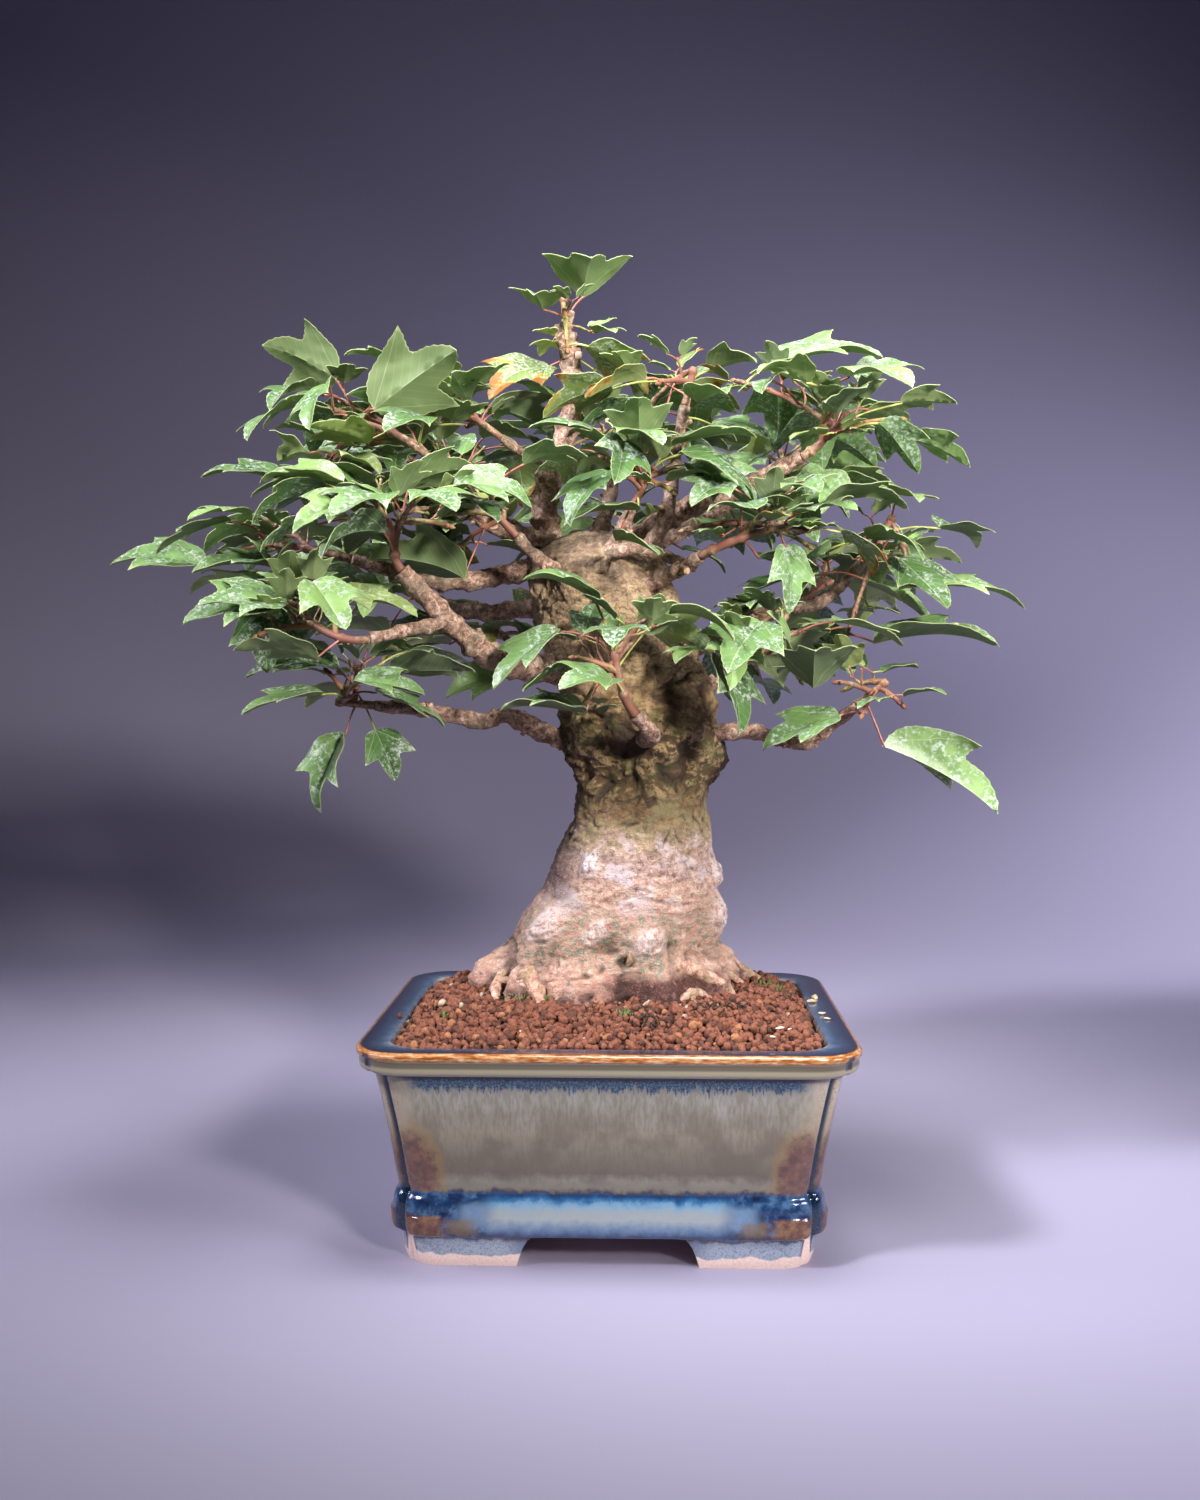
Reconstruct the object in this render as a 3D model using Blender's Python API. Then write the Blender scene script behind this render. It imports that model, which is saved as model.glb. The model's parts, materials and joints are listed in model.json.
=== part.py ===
"""A trident maple bonsai in a glazed rectangular pot.

The tree and its pot are one body that nothing moves in. The pot, the soil, the trunk,
each bough and each mass of leaves is a closed body of its own, 0.3 mm clear of its
neighbours. Sizes are in millimetres, and MM turns them to metres as a mesh is made.
"""

import math
import random
from dataclasses import dataclass, field

import bpy
import bmesh
from mathutils import Vector
from mathutils.bvhtree import BVHTree
from mathutils.geometry import delaunay_2d_cdt

MM = 0.001
GAP = 0.3                     # clear space between neighbouring bodies

# Pot
RIM_WIDTH = 170.0
RIM_DEPTH = 138.6
RIM_HEIGHT = 76.0
RIM_CORNER = 17.2
CORNER_SHRINK = 0.35          # how much of an inset comes off the corner's radius
ARCH_HEIGHT = 11.0            # of the gap between two feet
UNDERSIDE = 11.8
FRONT_ARCH = 62.0             # width at the ground, front and back
SIDE_ARCH = 42.0
FOOT_THICKNESS = 12.6
DRAIN_RADIUS = 6.0
DRAIN_OFFSET = 32.0
# Height, inset from the rim's edge, depth of the groove down each corner.
POT_PROFILE = (
    (0.0, 15.5, 0.6), (3.0, 14.7, 1.0), (9.4, 13.8, 1.2), (11.0, 12.4, 1.5), (13.5, 11.3, 1.7),
    (19.0, 11.0, 2.0), (23.0, 11.5, 2.2), (25.5, 12.7, 2.4), (30.0, 12.0, 2.4), (46.0, 9.5, 2.4),
    (60.0, 6.8, 2.4), (67.6, 5.2, 2.2), (68.2, 1.7, 0.6), (69.6, 0.6, 0.4), (73.6, 0.0, 0.3),
    (75.3, 0.8, 0.0), (RIM_HEIGHT, 2.6, 0.0), (75.6, 9.6, 0.0), (74.2, 11.0, 0.0),
    (24.0, 18.0, 0.0), (19.5, 22.0, 0.0),
)
POT_FLOOR = 19.5

# Soil, which rises from the pot's wall to a level patch under the trunk
SOIL_EDGE = 74.4
SOIL_TOP = 81.0
SOIL_MIDDLE = (0.0, 13.0)
SOIL_PATCH = (59.0, 38.0)     # half sizes of the level patch
CLOD_GAP = 8.2                # between the main lumps of the granular surface
CLOD_SHIFT = 2.0              # how far a lump may stand from an even grid
CLOD_RISE = (-0.6, 2.2)       # of a lump against the smooth mound
CLOD_MARGIN = 4.5             # smooth ground kept along the pot's wall

# Trunk: height, middle across, middle in depth, half width, half depth
TRUNK_FOOT = SOIL_TOP + GAP
TRUNK_ROWS = (
    (TRUNK_FOOT, 0.0, 15.0, 44.0, 32.0), (91.0, -1.0, 15.0, 42.5, 30.0),
    (98.6, 0.0, 15.0, 39.5, 28.5), (106.4, 2.0, 15.0, 37.5, 28.0), (114.0, 4.8, 15.0, 35.5, 28.0),
    (122.0, 7.3, 15.0, 32.5, 27.5), (129.6, 7.7, 15.0, 30.4, 27.0), (137.3, 9.4, 15.0, 28.7, 26.0),
    (145.0, 10.9, 15.0, 26.3, 24.5), (152.7, 11.3, 15.0, 24.8, 23.5), (160.3, 11.1, 15.0, 24.4, 23.0),
    (168.0, 12.0, 15.0, 27.0, 24.0), (175.6, 11.6, 15.0, 28.5, 25.0), (183.2, 10.7, 15.0, 28.7, 25.0),
    (194.7, 8.9, 15.0, 28.9, 25.5), (206.1, 4.2, 16.0, 29.5, 26.0), (221.3, 0.0, 17.0, 29.0, 26.0),
    (232.7, -4.4, 18.0, 27.5, 25.0), (244.0, -6.7, 19.0, 27.0, 22.0), (250.5, -6.6, 19.0, 20.0, 15.0),
    (254.5, -6.6, 19.0, 9.0, 7.0),
)
TRUNK_SIDES = 26
TRUNK_LEVELS = 20
# Swellings: height, bearing from +X in degrees, spread, rise
KNOBS = (
    (107.5, 218.0, 9.0, 4.0), (106.0, 255.0, 6.0, 2.5), (103.0, 293.0, 8.0, 3.5),
    (131.0, 236.0, 5.0, 1.5), (110.0, 350.0, 9.0, 3.0), (126.0, 352.0, 6.0, 2.0),
    (168.0, 0.0, 9.0, 7.0), (172.0, 180.0, 9.0, 3.0), (178.0, 250.0, 8.0, 3.5),
    (171.0, 285.0, 9.0, 4.0), (187.0, 312.0, 9.0, 3.0), (197.0, 225.0, 8.0, 3.0),
    (208.0, 275.0, 10.0, 3.0), (221.0, 305.0, 10.0, 3.0), (236.0, 250.0, 8.0, 3.0),
    (175.0, 95.0, 10.0, 4.0), (200.0, 130.0, 10.0, 3.0), (190.0, 50.0, 9.0, 3.0),
    (120.0, 100.0, 10.0, 3.0), (106.0, 60.0, 10.0, 4.0), (228.0, 80.0, 10.0, 3.0),
)
# Surface roots: bearing, reach from the trunk's middle, thickness
ROOTS = (
    (180.0, 55.0, 9.0), (211.0, 47.0, 7.0), (249.0, 35.0, 10.0), (276.0, 31.0, 8.0),
    (304.0, 43.0, 8.0), (345.0, 47.0, 9.0), (12.0, 55.0, 9.0), (68.0, 34.0, 10.0),
    (112.0, 33.0, 10.0), (148.0, 44.0, 9.0),
)

# Boughs: what each grows from, radius at its root and tip, and the points it bends at
BOUGHS = {
    "leader": ("trunk", 5.6, 3.4, (
        (-22, 22, 240), (-26, 23, 260), (-25, 21, 275), (-19, 19, 290), (-15, 17, 305), (-17, 15, 329))),
    "bough_low_left": ("trunk", 3.9, 1.9, (
        (-10, 15, 174), (-25, 11, 178), (-32, 7, 182), (-40, 3, 185), (-49, 0, 183), (-67, -5, 187),
        (-86, -11, 189))),
    "bough_left": ("trunk", 5.6, 3.0, (
        (-14, 10, 203), (-30, -3, 203), (-40, -11, 205), (-50, -19, 212), (-60, -27, 222), (-72, -33, 236))),
    "bough_left_fork": ("bough_left", 2.6, 1.8, ((-57, -25, 219), (-71, -35, 215), (-82, -41, 212))),
    "bough_far_left": ("trunk", 4.4, 2.4, (
        (-18, 21, 244), (-41, 17, 239), (-54, 15, 236), (-69, 11, 236), (-81, 5, 239), (-96, -3, 243))),
    "bough_upper_left": ("trunk", 3.6, 2.0, (
        (-22, 14, 250), (-42, 9, 255), (-55, 3, 263), (-63, -3, 275))),
    "bough_leader_left": ("leader", 2.4, 1.6, ((-22, 20, 281), (-33, 17, 284), (-42, 14, 290))),
    "bough_low_right": ("trunk", 3.4, 1.8, (
        (28, 15, 178), (50, 5, 179), (61, -1, 177), (68, -5, 175), (74, -9, 177), (88, -15, 189))),
    "bough_right": ("trunk", 4.2, 2.8, ((20, 20, 209), (39, 17, 214), (48, 15, 219), (59, 11, 225))),
    "bough_far_right": ("bough_right", 2.6, 1.8, (
        (52, 15, 221), (66, 19, 226), (79, 19, 228), (90, 15, 238), (97, 11, 248))),
    "bough_right_mid": ("trunk", 3.4, 2.1, ((5, 10, 230), (22, -7, 237), (32, -19, 242))),
    "bough_upper_right": ("trunk", 5.0, 2.6, (
        (-1, 22, 246), (10, 21, 252), (19, 18, 259), (33, 12, 265), (47, 5, 269), (69, -5, 279))),
    "bough_upright": ("trunk", 2.9, 2.0, (
        (0, 12, 243), (15, 6, 250), (21, 3, 264), (24, 3, 285), (27, 2, 299))),
    "bough_front": ("trunk", 3.2, 2.4, ((11, -6, 176), (15, -23, 179), (9, -31, 186))),
    "bough_centre_left": ("trunk", 3.0, 1.8, ((-16, 6, 236), (-27, -8, 243), (-34, -11, 250))),
    "bough_centre": ("trunk", 2.8, 1.8, ((-2, 10, 243), (3, -3, 252), (8, -9, 261))),
    "bough_back_left": ("trunk", 4.0, 2.4, ((-16, 30, 228), (-50, 44, 226), (-66, 52, 228), (-78, 58, 232))),
    "bough_back_low_left": ("trunk", 4.0, 2.2, (
        (-6, 28, 192), (-22, 46, 200), (-34, 57, 206), (-42, 64, 213))),
    "bough_back_high_left": ("trunk", 3.6, 2.0, (
        (-12, 31, 240), (-32, 42, 254), (-47, 46, 264), (-56, 48, 273))),
    "bough_back_top": ("trunk", 3.8, 2.2, ((-8, 26, 246), (-4, 40, 262), (-1, 50, 276), (0, 55, 288))),
    "bough_back_high_right": ("trunk", 3.8, 2.1, (
        (2, 26, 242), (24, 38, 256), (42, 47, 266), (54, 53, 276))),
    "bough_back_right": ("trunk", 4.0, 2.3, ((18, 28, 206), (42, 41, 216), (56, 47, 222), (68, 52, 227))),
    "bough_back_mid": ("trunk", 4.0, 2.3, ((0, 30, 222), (6, 50, 231), (8, 60, 237), (8, 67, 243))),
    "bough_back_low_right": ("trunk", 3.6, 2.1, (
        (18, 28, 182), (32, 46, 190), (40, 54, 196), (47, 60, 201))),
}
BOUGH_SIDES = 6

# Masses of leaves: bough, middle, half sizes, random shoots, usual droop in degrees, seed
MASSES = {
    "leaves_front": ("bough_front", (2, -36, 208), (33, 20, 26), 5, 14, 16),
    "leaves_low_left": ("bough_low_left", (-92, -12, 196), (36, 28, 20), 5, 16, 35),
    "leaves_left_front": ("bough_left_fork", (-105, -37, 219), (35, 24, 20), 5, 18, 17),
    "leaves_left_mid": ("bough_left", (-70, -38, 256), (42, 26, 19), 5, 12, 19),
    "leaves_far_left": ("bough_far_left", (-127, -2, 249), (35, 28, 18), 5, 10, 29),
    "leaves_upper_left": ("bough_upper_left", (-97, -9, 293), (38, 32, 22), 6, 10, 15),
    "leaves_centre_left": ("bough_centre_left", (-42, -15, 258), (42, 30, 26), 6, 14, 3),
    "leaves_centre": ("bough_centre", (12, -15, 271), (34, 27, 23), 6, 12, 19),
    "leaves_leader_left": ("bough_leader_left", (-52, 13, 297), (40, 30, 20), 6, 8, 24),
    "leaves_apex": ("leader", (-14, 13, 318), (28, 24, 15), 4, 6, 6),
    "leaves_upright": ("bough_upright", (18, 3, 300), (34, 28, 18), 5, 8, 19),
    "leaves_upper_right": ("bough_upper_right", (82, -7, 291), (41, 31, 21), 6, 10, 29),
    "leaves_right_mid": ("bough_right_mid", (62, -24, 253), (38, 24, 18), 5, 12, 7),
    "leaves_far_right": ("bough_far_right", (100, 6, 242), (33, 30, 24), 6, 10, 28),
    "leaves_right_front": ("bough_right", (56, -18, 208), (34, 26, 20), 5, 16, 16),
    "leaves_low_right": ("bough_low_right", (86, -15, 190), (32, 25, 18), 5, 14, 29),
    "leaves_back_left": ("bough_back_left", (-96, 56, 240), (40, 34, 22), 3, 12, 1),
    "leaves_back_low_left": ("bough_back_low_left", (-50, 73, 218), (42, 28, 20), 3, 14, 39),
    "leaves_back_high_left": ("bough_back_high_left", (-66, 52, 285), (44, 34, 22), 4, 10, 34),
    "leaves_back_top": ("bough_back_top", (0, 53, 300), (44, 32, 20), 4, 8, 34),
    "leaves_back_high_right": ("bough_back_high_right", (68, 51, 286), (42, 34, 22), 4, 10, 30),
    "leaves_back_right": ("bough_back_right", (86, 57, 238), (40, 34, 22), 3, 12, 5),
    "leaves_back_mid": ("bough_back_mid", (8, 80, 254), (46, 26, 24), 3, 12, 5),
    "leaves_back_low_right": ("bough_back_low_right", (54, 69, 207), (40, 28, 20), 3, 14, 37),
}
# Leaves with a place of their own, at the crown's edge and before the trunk: mass, foot of
# the blade, tip, roll in degrees, width against the usual one, and fold of the lobes
PLACED_LEAVES = (
    ("leaves_far_left", (-149, -7, 240), (-184, -9, 242), 25, 1.0, 0.35),
    ("leaves_upper_left", (-98, -15, 306), (-123, -19, 318), -50, 1.0, 0.35),
    ("leaves_upper_left", (-83, -25, 293), (-52, -37, 311), 55, 0.9, 0.35),
    ("leaves_upper_left", (-119, -9, 271), (-149, -11, 273), 20, 0.8, 0.35),
    ("leaves_upper_left", (-80, 0, 315), (-97, -7, 317), 10, 0.9, 0.5),
    ("leaves_apex", (-11, 13, 342), (-7, -10, 350), 0, 1.35, 1.0),
    ("leaves_apex", (-26, 11, 337), (-28, -7, 338), 5, 1.2, 0.7),
    ("leaves_upright", (36, 0, 312), (52, -13, 313), 10, 1.0, 0.5),
    ("leaves_upright", (6, 0, 311), (2, -15, 315), 0, 1.0, 0.5),
    ("leaves_upper_right", (56, -5, 311), (98, -7, 316), -25, 0.9, 0.35),
    ("leaves_upper_right", (104, -7, 298), (124, -9, 297), 20, 0.9, 0.35),
    ("leaves_upper_right", (108, -9, 285), (128, -13, 274), 25, 0.8, 0.35),
    ("leaves_far_right", (106, 3, 232), (152, -1, 228), -15, 0.8, 0.2),
    ("leaves_far_right", (95, -7, 212), (139, -13, 212), -6, 0.8, 0.5),
    ("leaves_low_right", (97, -17, 175), (137, -23, 152), 48, 0.55, 0.8),
    ("leaves_low_left", (-96, -15, 179), (-106, -19, 151), 30, 0.8, 0.6),
    ("leaves_low_left", (-86, -11, 180), (-78, -15, 162), -35, 1.0, 0.6),
    ("leaves_low_left", (-99, -11, 203), (-133, -15, 201), 20, 0.8, 0.3),
    ("leaves_left_front", (-123, -25, 225), (-120, -31, 201), -10, 1.0, 0.35),
    ("leaves_left_front", (-127, -21, 223), (-149, -23, 221), 15, 1.0, 0.35),
    ("leaves_right_front", (37, -25, 207), (46, -35, 180), 15, 1.1, 0.35),
    ("leaves_front", (-4, -36, 225), (-28, -46, 234), 15, 0.9, 0.5),
    ("leaves_front", (3, -38, 219), (-23, -50, 221), 5, 0.9, 0.3),
    ("leaves_front", (12, -36, 214), (18, -46, 227), 50, 0.9, 0.3),
    ("leaves_front", (-3, -34, 193), (13, -46, 201), 50, 1.1, 0.3),
    ("leaves_front", (-15, -32, 202), (-29, -44, 194), -20, 1.1, 0.3),
    ("leaves_centre", (10, -20, 258), (-16, -34, 253), 5, 0.8, 0.3),
    ("leaves_centre", (2, -20, 248), (17, -34, 241), 15, 1.0, 0.3),
    ("leaves_centre", (8, -14, 279), (20, -26, 282), 30, 1.0, 0.4),
    ("leaves_right_mid", (41, -26, 267), (28, -38, 258), 25, 1.1, 0.4),
    ("leaves_right_mid", (34, -30, 248), (53, -42, 235), 30, 0.9, 0.4),
    ("leaves_right_front", (63, -22, 209), (55, -32, 222), 60, 1.0, 0.3),
    ("leaves_right_mid", (61, -29, 245), (62, -37, 221), 10, 0.7, 0.35),
    ("leaves_back_low_left", (-46, 62, 201), (-70, 58, 193), 40, 1.0, 0.35),
)

# Twigs and leaves
STEM_RADII = (1.7, 1.2)
SHOOT_RADII = (1.15, 0.7)
PETIOLE_RADIUS = 0.45
PETIOLE_REACH = 30.0          # furthest an outer leaf may stand from its twig
NODE_SPACING = 12.0           # between pairs of leaves along a shoot
LEAF_LENGTHS = (20.0, 41.0, 30.0)
BLADE_THICKNESS = 0.5
# Parts of each mass's faces to keep after its union, tried in turn, and welds to try
FACES_KEPT = (0.5, 0.53, 0.56, 0.59, 0.62, 0.65, 0.68, 0.71, 0.74, 0.78, 0.84, 0.9, 1.0)
WELDS = (0.002, 0.01, 0.0005)
SLIVER_AREA = 0.0002          # square millimetres
SHAPE_KEPT = 0.92             # of a body's volume, and
SIZE_KEPT = 0.4               # how much less it may measure each way, when faces go
CLEARANCE = 1.0               # kept round every blade and twig
HEART_LIMIT = 1.2            # how far out in its mass's space the middle of a blade may lie
TIP_LIMIT = 1.5               # and its points
TRIES = 12                    # at placing each leaf before it is skipped
# Half of a blade's outline in parts of its length: across, along
BLADE_HALF = ((0.02, 0.0), (0.31, 0.17), (0.50, 0.63), (0.20, 0.57))
BLADE_MIDDLE = 0.42

# Colour, roughness and metallic value of each finish
FINISHES = {
    "glaze": ((0.16, 0.17, 0.13), 0.15, 0.0),
    "soil": ((0.20, 0.07, 0.035), 0.95, 0.0),
    "trunk_bark": ((0.36, 0.24, 0.17), 0.85, 0.0),
    "bough_bark": ((0.27, 0.16, 0.11), 0.8, 0.0),
    "leaf": ((0.09, 0.21, 0.05), 0.4, 0.0),
}


@dataclass
class Leaf:
    """A leaf: its stalk runs from root to foot, and its blade from foot to tip."""
    root: Vector
    foot: Vector
    along: Vector
    across: Vector
    normal: Vector
    length: float
    width: float
    fold: float
    arch: float

    def at(self, u, v):
        """The point of the blade that lies u across and v along it."""
        lift = self.arch * 4 * v * (1 - v) + self.fold * (abs(u) - u * u)
        return self.foot + (self.across * u * self.width + self.along * v + self.normal * lift) * self.length


@dataclass
class Twig:
    """A stem or shoot: a curve through three points, with a radius at each end."""
    start: Vector
    bend: Vector
    end: Vector
    radii: tuple

    def at(self, t):
        """The point at t, from 0 at the start to 1 at the end."""
        return self.start * (1 - t) ** 2 + self.bend * 2 * t * (1 - t) + self.end * t * t

    def heading(self, t):
        """The unit direction of growth at t."""
        return ((self.bend - self.start) * (1 - t) + (self.end - self.bend) * t).normalized()

    def tube(self, steps, sides, swell=0.0, first=0.0):
        """The closed body of the twig from first to its end."""
        spots = [first + (1 - first) * i / steps for i in range(steps + 1)]
        radii = [self.radii[0] + (self.radii[1] - self.radii[0]) * t + swell for t in spots]
        headings = [self.heading(t) for t in spots]
        return closed_loft(rings_along([self.at(t) for t in spots], radii, sides, headings))


@dataclass
class Mass:
    """One mass of leaves, with its space, its stem, and what has grown on it."""
    name: str
    middle: Vector
    half: Vector
    shoot_count: int
    droop: float
    stem: Twig
    rng: random.Random
    shoots: list = field(default_factory=list)
    leaves: list = field(default_factory=list)

    def depth(self, point):
        """0 in the middle of the mass's space, and 1 at its edge."""
        off = point - self.middle
        return Vector((off.x / self.half.x, off.y / self.half.y, off.z / self.half.z)).length


@dataclass
class Obstacle:
    """A body that growth keeps clear of."""
    owner: object
    middle: Vector
    reach: float
    tree: BVHTree


def closed_loft(rings):
    """Vertices and faces of a closed body through rings of points, capped at both ends."""
    count = len(rings[0])
    verts = [point for ring in rings for point in ring]
    faces = []
    for level in range(len(rings) - 1):
        for i in range(count):
            a = level * count + i
            b = level * count + (i + 1) % count
            faces.append((a, b, b + count, a + count))
    faces.append(tuple(reversed(range(count))))
    last = (len(rings) - 1) * count
    faces.append(tuple(range(last, last + count)))
    return verts, faces


def rings_along(points, radii, sides, headings=None):
    """Rings of a tube along a path, turned as little as the path allows."""
    side = None
    rings = []
    for i, point in enumerate(points):
        ahead = (points[min(i + 1, len(points) - 1)] - points[max(i - 1, 0)]).normalized()
        if headings:
            ahead = headings[i]
        if side is None:
            side = ahead.orthogonal()
        side = (side - ahead * side.dot(ahead)).normalized()
        up = ahead.cross(side)
        turns = [2 * math.pi * k / sides for k in range(sides)]
        rings.append([point + (side * math.cos(a) + up * math.sin(a)) * radii[i] for a in turns])
    return rings


def smooth_path(points, steps):
    """Points of a smooth curve through the given ones, with steps to each stretch."""
    points = [Vector(p) for p in points]
    ends = [points[0] * 2 - points[1]] + points + [points[-1] * 2 - points[-2]]
    path = []
    for i in range(1, len(ends) - 2):
        a, b, c, d = ends[i - 1:i + 3]
        for k in range(steps):
            t = k / steps
            path.append(((b * 2) + (c - a) * t + (a * 2 - b * 5 + c * 4 - d) * t * t
                         + (b * 3 - a - c * 3 + d) * t ** 3) * 0.5)
    path.append(points[-1])
    return path


def taper(path, root, tip):
    """A radius for each point of a path, falling evenly with the length run."""
    runs = [0.0]
    for a, b in zip(path, path[1:]):
        runs.append(runs[-1] + (b - a).length)
    return [root + (tip - root) * run / runs[-1] for run in runs]


def pot_outline(height, inset, groove):
    """A rounded rectangle set in from the rim's edge, with a groove down each corner."""
    half_x = RIM_WIDTH / 2 - inset
    half_y = RIM_DEPTH / 2 - inset
    radius = max(RIM_CORNER - CORNER_SHRINK * inset, 6.0)
    ring = []
    for quarter, (sx, sy) in enumerate(((1, 1), (-1, 1), (-1, -1), (1, -1))):
        middle = Vector((sx * (half_x - radius), sy * (half_y - radius), height))
        for angle in (0, 22, 39, 45, 51, 68, 90):
            a = math.radians(angle + 90 * quarter)
            r = radius - (groove if angle == 45 else 0.0)
            ring.append(middle + Vector((math.cos(a), math.sin(a), 0.0)) * r)
    return ring


def smoothstep(t):
    """0 to 1 with a level start and end."""
    t = min(max(t, 0.0), 1.0)
    return t * t * (3 - 2 * t)


def patch_depth(x, y):
    """How far a point lies from the middle of the level patch: 1 at the patch's edge."""
    return math.hypot((x - SOIL_MIDDLE[0]) / SOIL_PATCH[0], (y - SOIL_MIDDLE[1]) / SOIL_PATCH[1])


def wall_distance(x, y):
    """How far inside the soil's edge a point lies, up to the corner's radius."""
    inset = 11.6
    half_x = RIM_WIDTH / 2 - inset
    half_y = RIM_DEPTH / 2 - inset
    radius = RIM_CORNER - CORNER_SHRINK * inset
    off_x = max(abs(x) - half_x + radius, 0.0)
    off_y = max(abs(y) - half_y + radius, 0.0)
    return radius - math.hypot(off_x, off_y)


def mound_height(x, y):
    """The smooth soil's height: level under the trunk, and falling to the pot's wall."""
    depth = patch_depth(x, y)
    if depth <= 1.0:
        return SOIL_TOP
    far = depth
    while wall_distance(SOIL_MIDDLE[0] + (x - SOIL_MIDDLE[0]) * far / depth,
                        SOIL_MIDDLE[1] + (y - SOIL_MIDDLE[1]) * far / depth) > 0.0:
        far += 0.02
    step = (far - depth) / max(far - 1.0, 0.05)
    return SOIL_EDGE + (SOIL_TOP - SOIL_EDGE) * smoothstep(step)


def soil_clods():
    """The main lumps of the granular surface, on a grid that a seeded rule loosens."""
    rng = random.Random(4)
    clods = []
    row_gap = CLOD_GAP * 0.866
    for row in range(int(RIM_DEPTH / row_gap) + 1):
        for column in range(int(RIM_WIDTH / CLOD_GAP) + 1):
            x = -RIM_WIDTH / 2 + (column + (row % 2) / 2) * CLOD_GAP + rng.uniform(-CLOD_SHIFT, CLOD_SHIFT)
            y = -RIM_DEPTH / 2 + row * row_gap + rng.uniform(-CLOD_SHIFT, CLOD_SHIFT)
            rise = rng.uniform(*CLOD_RISE)
            depth = patch_depth(x, y)
            if wall_distance(x, y) < CLOD_MARGIN or depth < 0.75:
                continue
            height = mound_height(x, y) + rise
            if depth < 1.1:
                height = min(height, SOIL_TOP)
            clods.append(Vector((x, y, height)))
    return clods


def soil_body():
    """The soil: rings up the pot's wall, and a lumpy top cut into triangles."""
    rings = [pot_outline(POT_FLOOR + GAP, 22.5, 0.0), pot_outline(24.0, 18.6, 0.0),
             pot_outline(SOIL_EDGE, 11.6, 0.0)]
    verts, faces = closed_loft(rings)
    count = len(rings[0])
    first = len(verts) - count
    points = rings[-1] + soil_clods()
    flat = [Vector((point.x, point.y)) for point in points]
    cut = delaunay_2d_cdt(flat, [], [list(range(count))], 1, 1e-4)
    lid = [tuple(first + i for i in face) for face in cut[2]]
    return verts + points[count:], faces[:-1] + lid


def trunk_row(height):
    """Middle across, middle in depth, half width and half depth of the trunk at a height."""
    for low, high in zip(TRUNK_ROWS, TRUNK_ROWS[1:]):
        if height <= high[0]:
            t = (height - low[0]) / (high[0] - low[0])
            return [a + (b - a) * t for a, b in zip(low[1:], high[1:])]
    return TRUNK_ROWS[-1][1:]


def trunk_point(height, bearing, swell=0.0):
    """The point on the trunk's bark at a height and a bearing in radians."""
    x, y, half_width, half_depth = trunk_row(height)
    c = math.cos(bearing)
    s = math.sin(bearing)
    radius = 1 / math.hypot(c / half_width, s / half_depth)
    for knob_height, knob_bearing, spread, rise in KNOBS:
        turn = (bearing - math.radians(knob_bearing) + math.pi) % (2 * math.pi) - math.pi
        away = math.hypot(turn * radius, height - knob_height) / spread
        radius += rise * math.exp(-away * away * 1.4)
    return Vector((x + c * (radius + swell), y + s * (radius + swell), height))


def trunk_rings(levels, sides, swell=0.0):
    """Rings of the trunk from its flat foot to the top of its fork."""
    top = TRUNK_ROWS[-1][0]
    rings = []
    for level in range(levels + 1):
        height = TRUNK_FOOT + (top - TRUNK_FOOT) * level / levels
        rings.append([trunk_point(height, 2 * math.pi * k / sides, swell) for k in range(sides)])
    return rings


def root_path(bearing, reach):
    """A surface root that runs from the flare out and down into the soil."""
    a = math.radians(bearing)
    middle = Vector((0.0, TRUNK_ROWS[0][2], 0.0))
    out = Vector((math.cos(a), math.sin(a), 0.0))
    marks = ((0.45, 109.0), (0.66, 98.0), (0.84, 88.0), (1.0, TRUNK_FOOT - 3.0))
    return [middle + out * reach * part + Vector((0.0, 0.0, height)) for part, height in marks]


def blade_outline(leaf, grow=1.0):
    """The blade's edge from one side of the stalk round the tip to the other."""
    half = [(u, v) for u, v in BLADE_HALF]
    edge = half + [(0.0, 1.0)] + [(-u, v) for u, v in reversed(half)]
    return [leaf.at(u * grow, BLADE_MIDDLE + (v - BLADE_MIDDLE) * grow) for u, v in edge]


def leaf_body(leaf):
    """One closed body: a three-sided stalk that opens into a blade thick in the middle."""
    edge = blade_outline(leaf)
    top = leaf.at(0.0, BLADE_MIDDLE) + leaf.normal * BLADE_THICKNESS / 2
    bottom = top - leaf.normal * BLADE_THICKNESS
    keel = (edge[0] + edge[-1]) / 2 - leaf.normal * PETIOLE_RADIUS * 1.6
    run = (leaf.foot - leaf.root).normalized()
    side = (leaf.across - run * leaf.across.dot(run)).normalized()
    down = run.cross(side)
    r = PETIOLE_RADIUS
    start = [leaf.root + side * r, leaf.root - side * r, leaf.root + down * r * 1.5]
    verts = edge + [top, bottom, keel] + start
    last = len(edge) - 1
    t, b, k, right, left, low = range(last + 1, last + 7)
    faces = [(i, i + 1, t) for i in range(last)] + [(last, 0, t)]
    faces += [(i + 1, i, b) for i in range(last)] + [(0, k, b), (k, last, b)]
    faces += [(right, 0, last, left), (low, k, 0, right), (left, last, k, low), (right, left, low)]
    return verts, faces


def blade_guard(leaf):
    """A closed shell that stands clear of the blade all round."""
    edge = blade_outline(leaf, 1.06)
    lift = leaf.normal * CLEARANCE
    rings = [[p - lift for p in edge], [p + lift for p in edge]]
    return closed_loft(rings)


def stalk(leaf):
    """The leaf's stalk as a twig."""
    return Twig(leaf.root, (leaf.root + leaf.foot) / 2, leaf.foot, (PETIOLE_RADIUS, PETIOLE_RADIUS))


def obstacle(owner, body):
    """A body made ready for tests against others."""
    verts, faces = body
    middle = sum(verts, Vector()) / len(verts)
    reach = max((point - middle).length for point in verts)
    return Obstacle(owner, middle, reach, BVHTree.FromPolygons(verts, faces))


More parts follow.
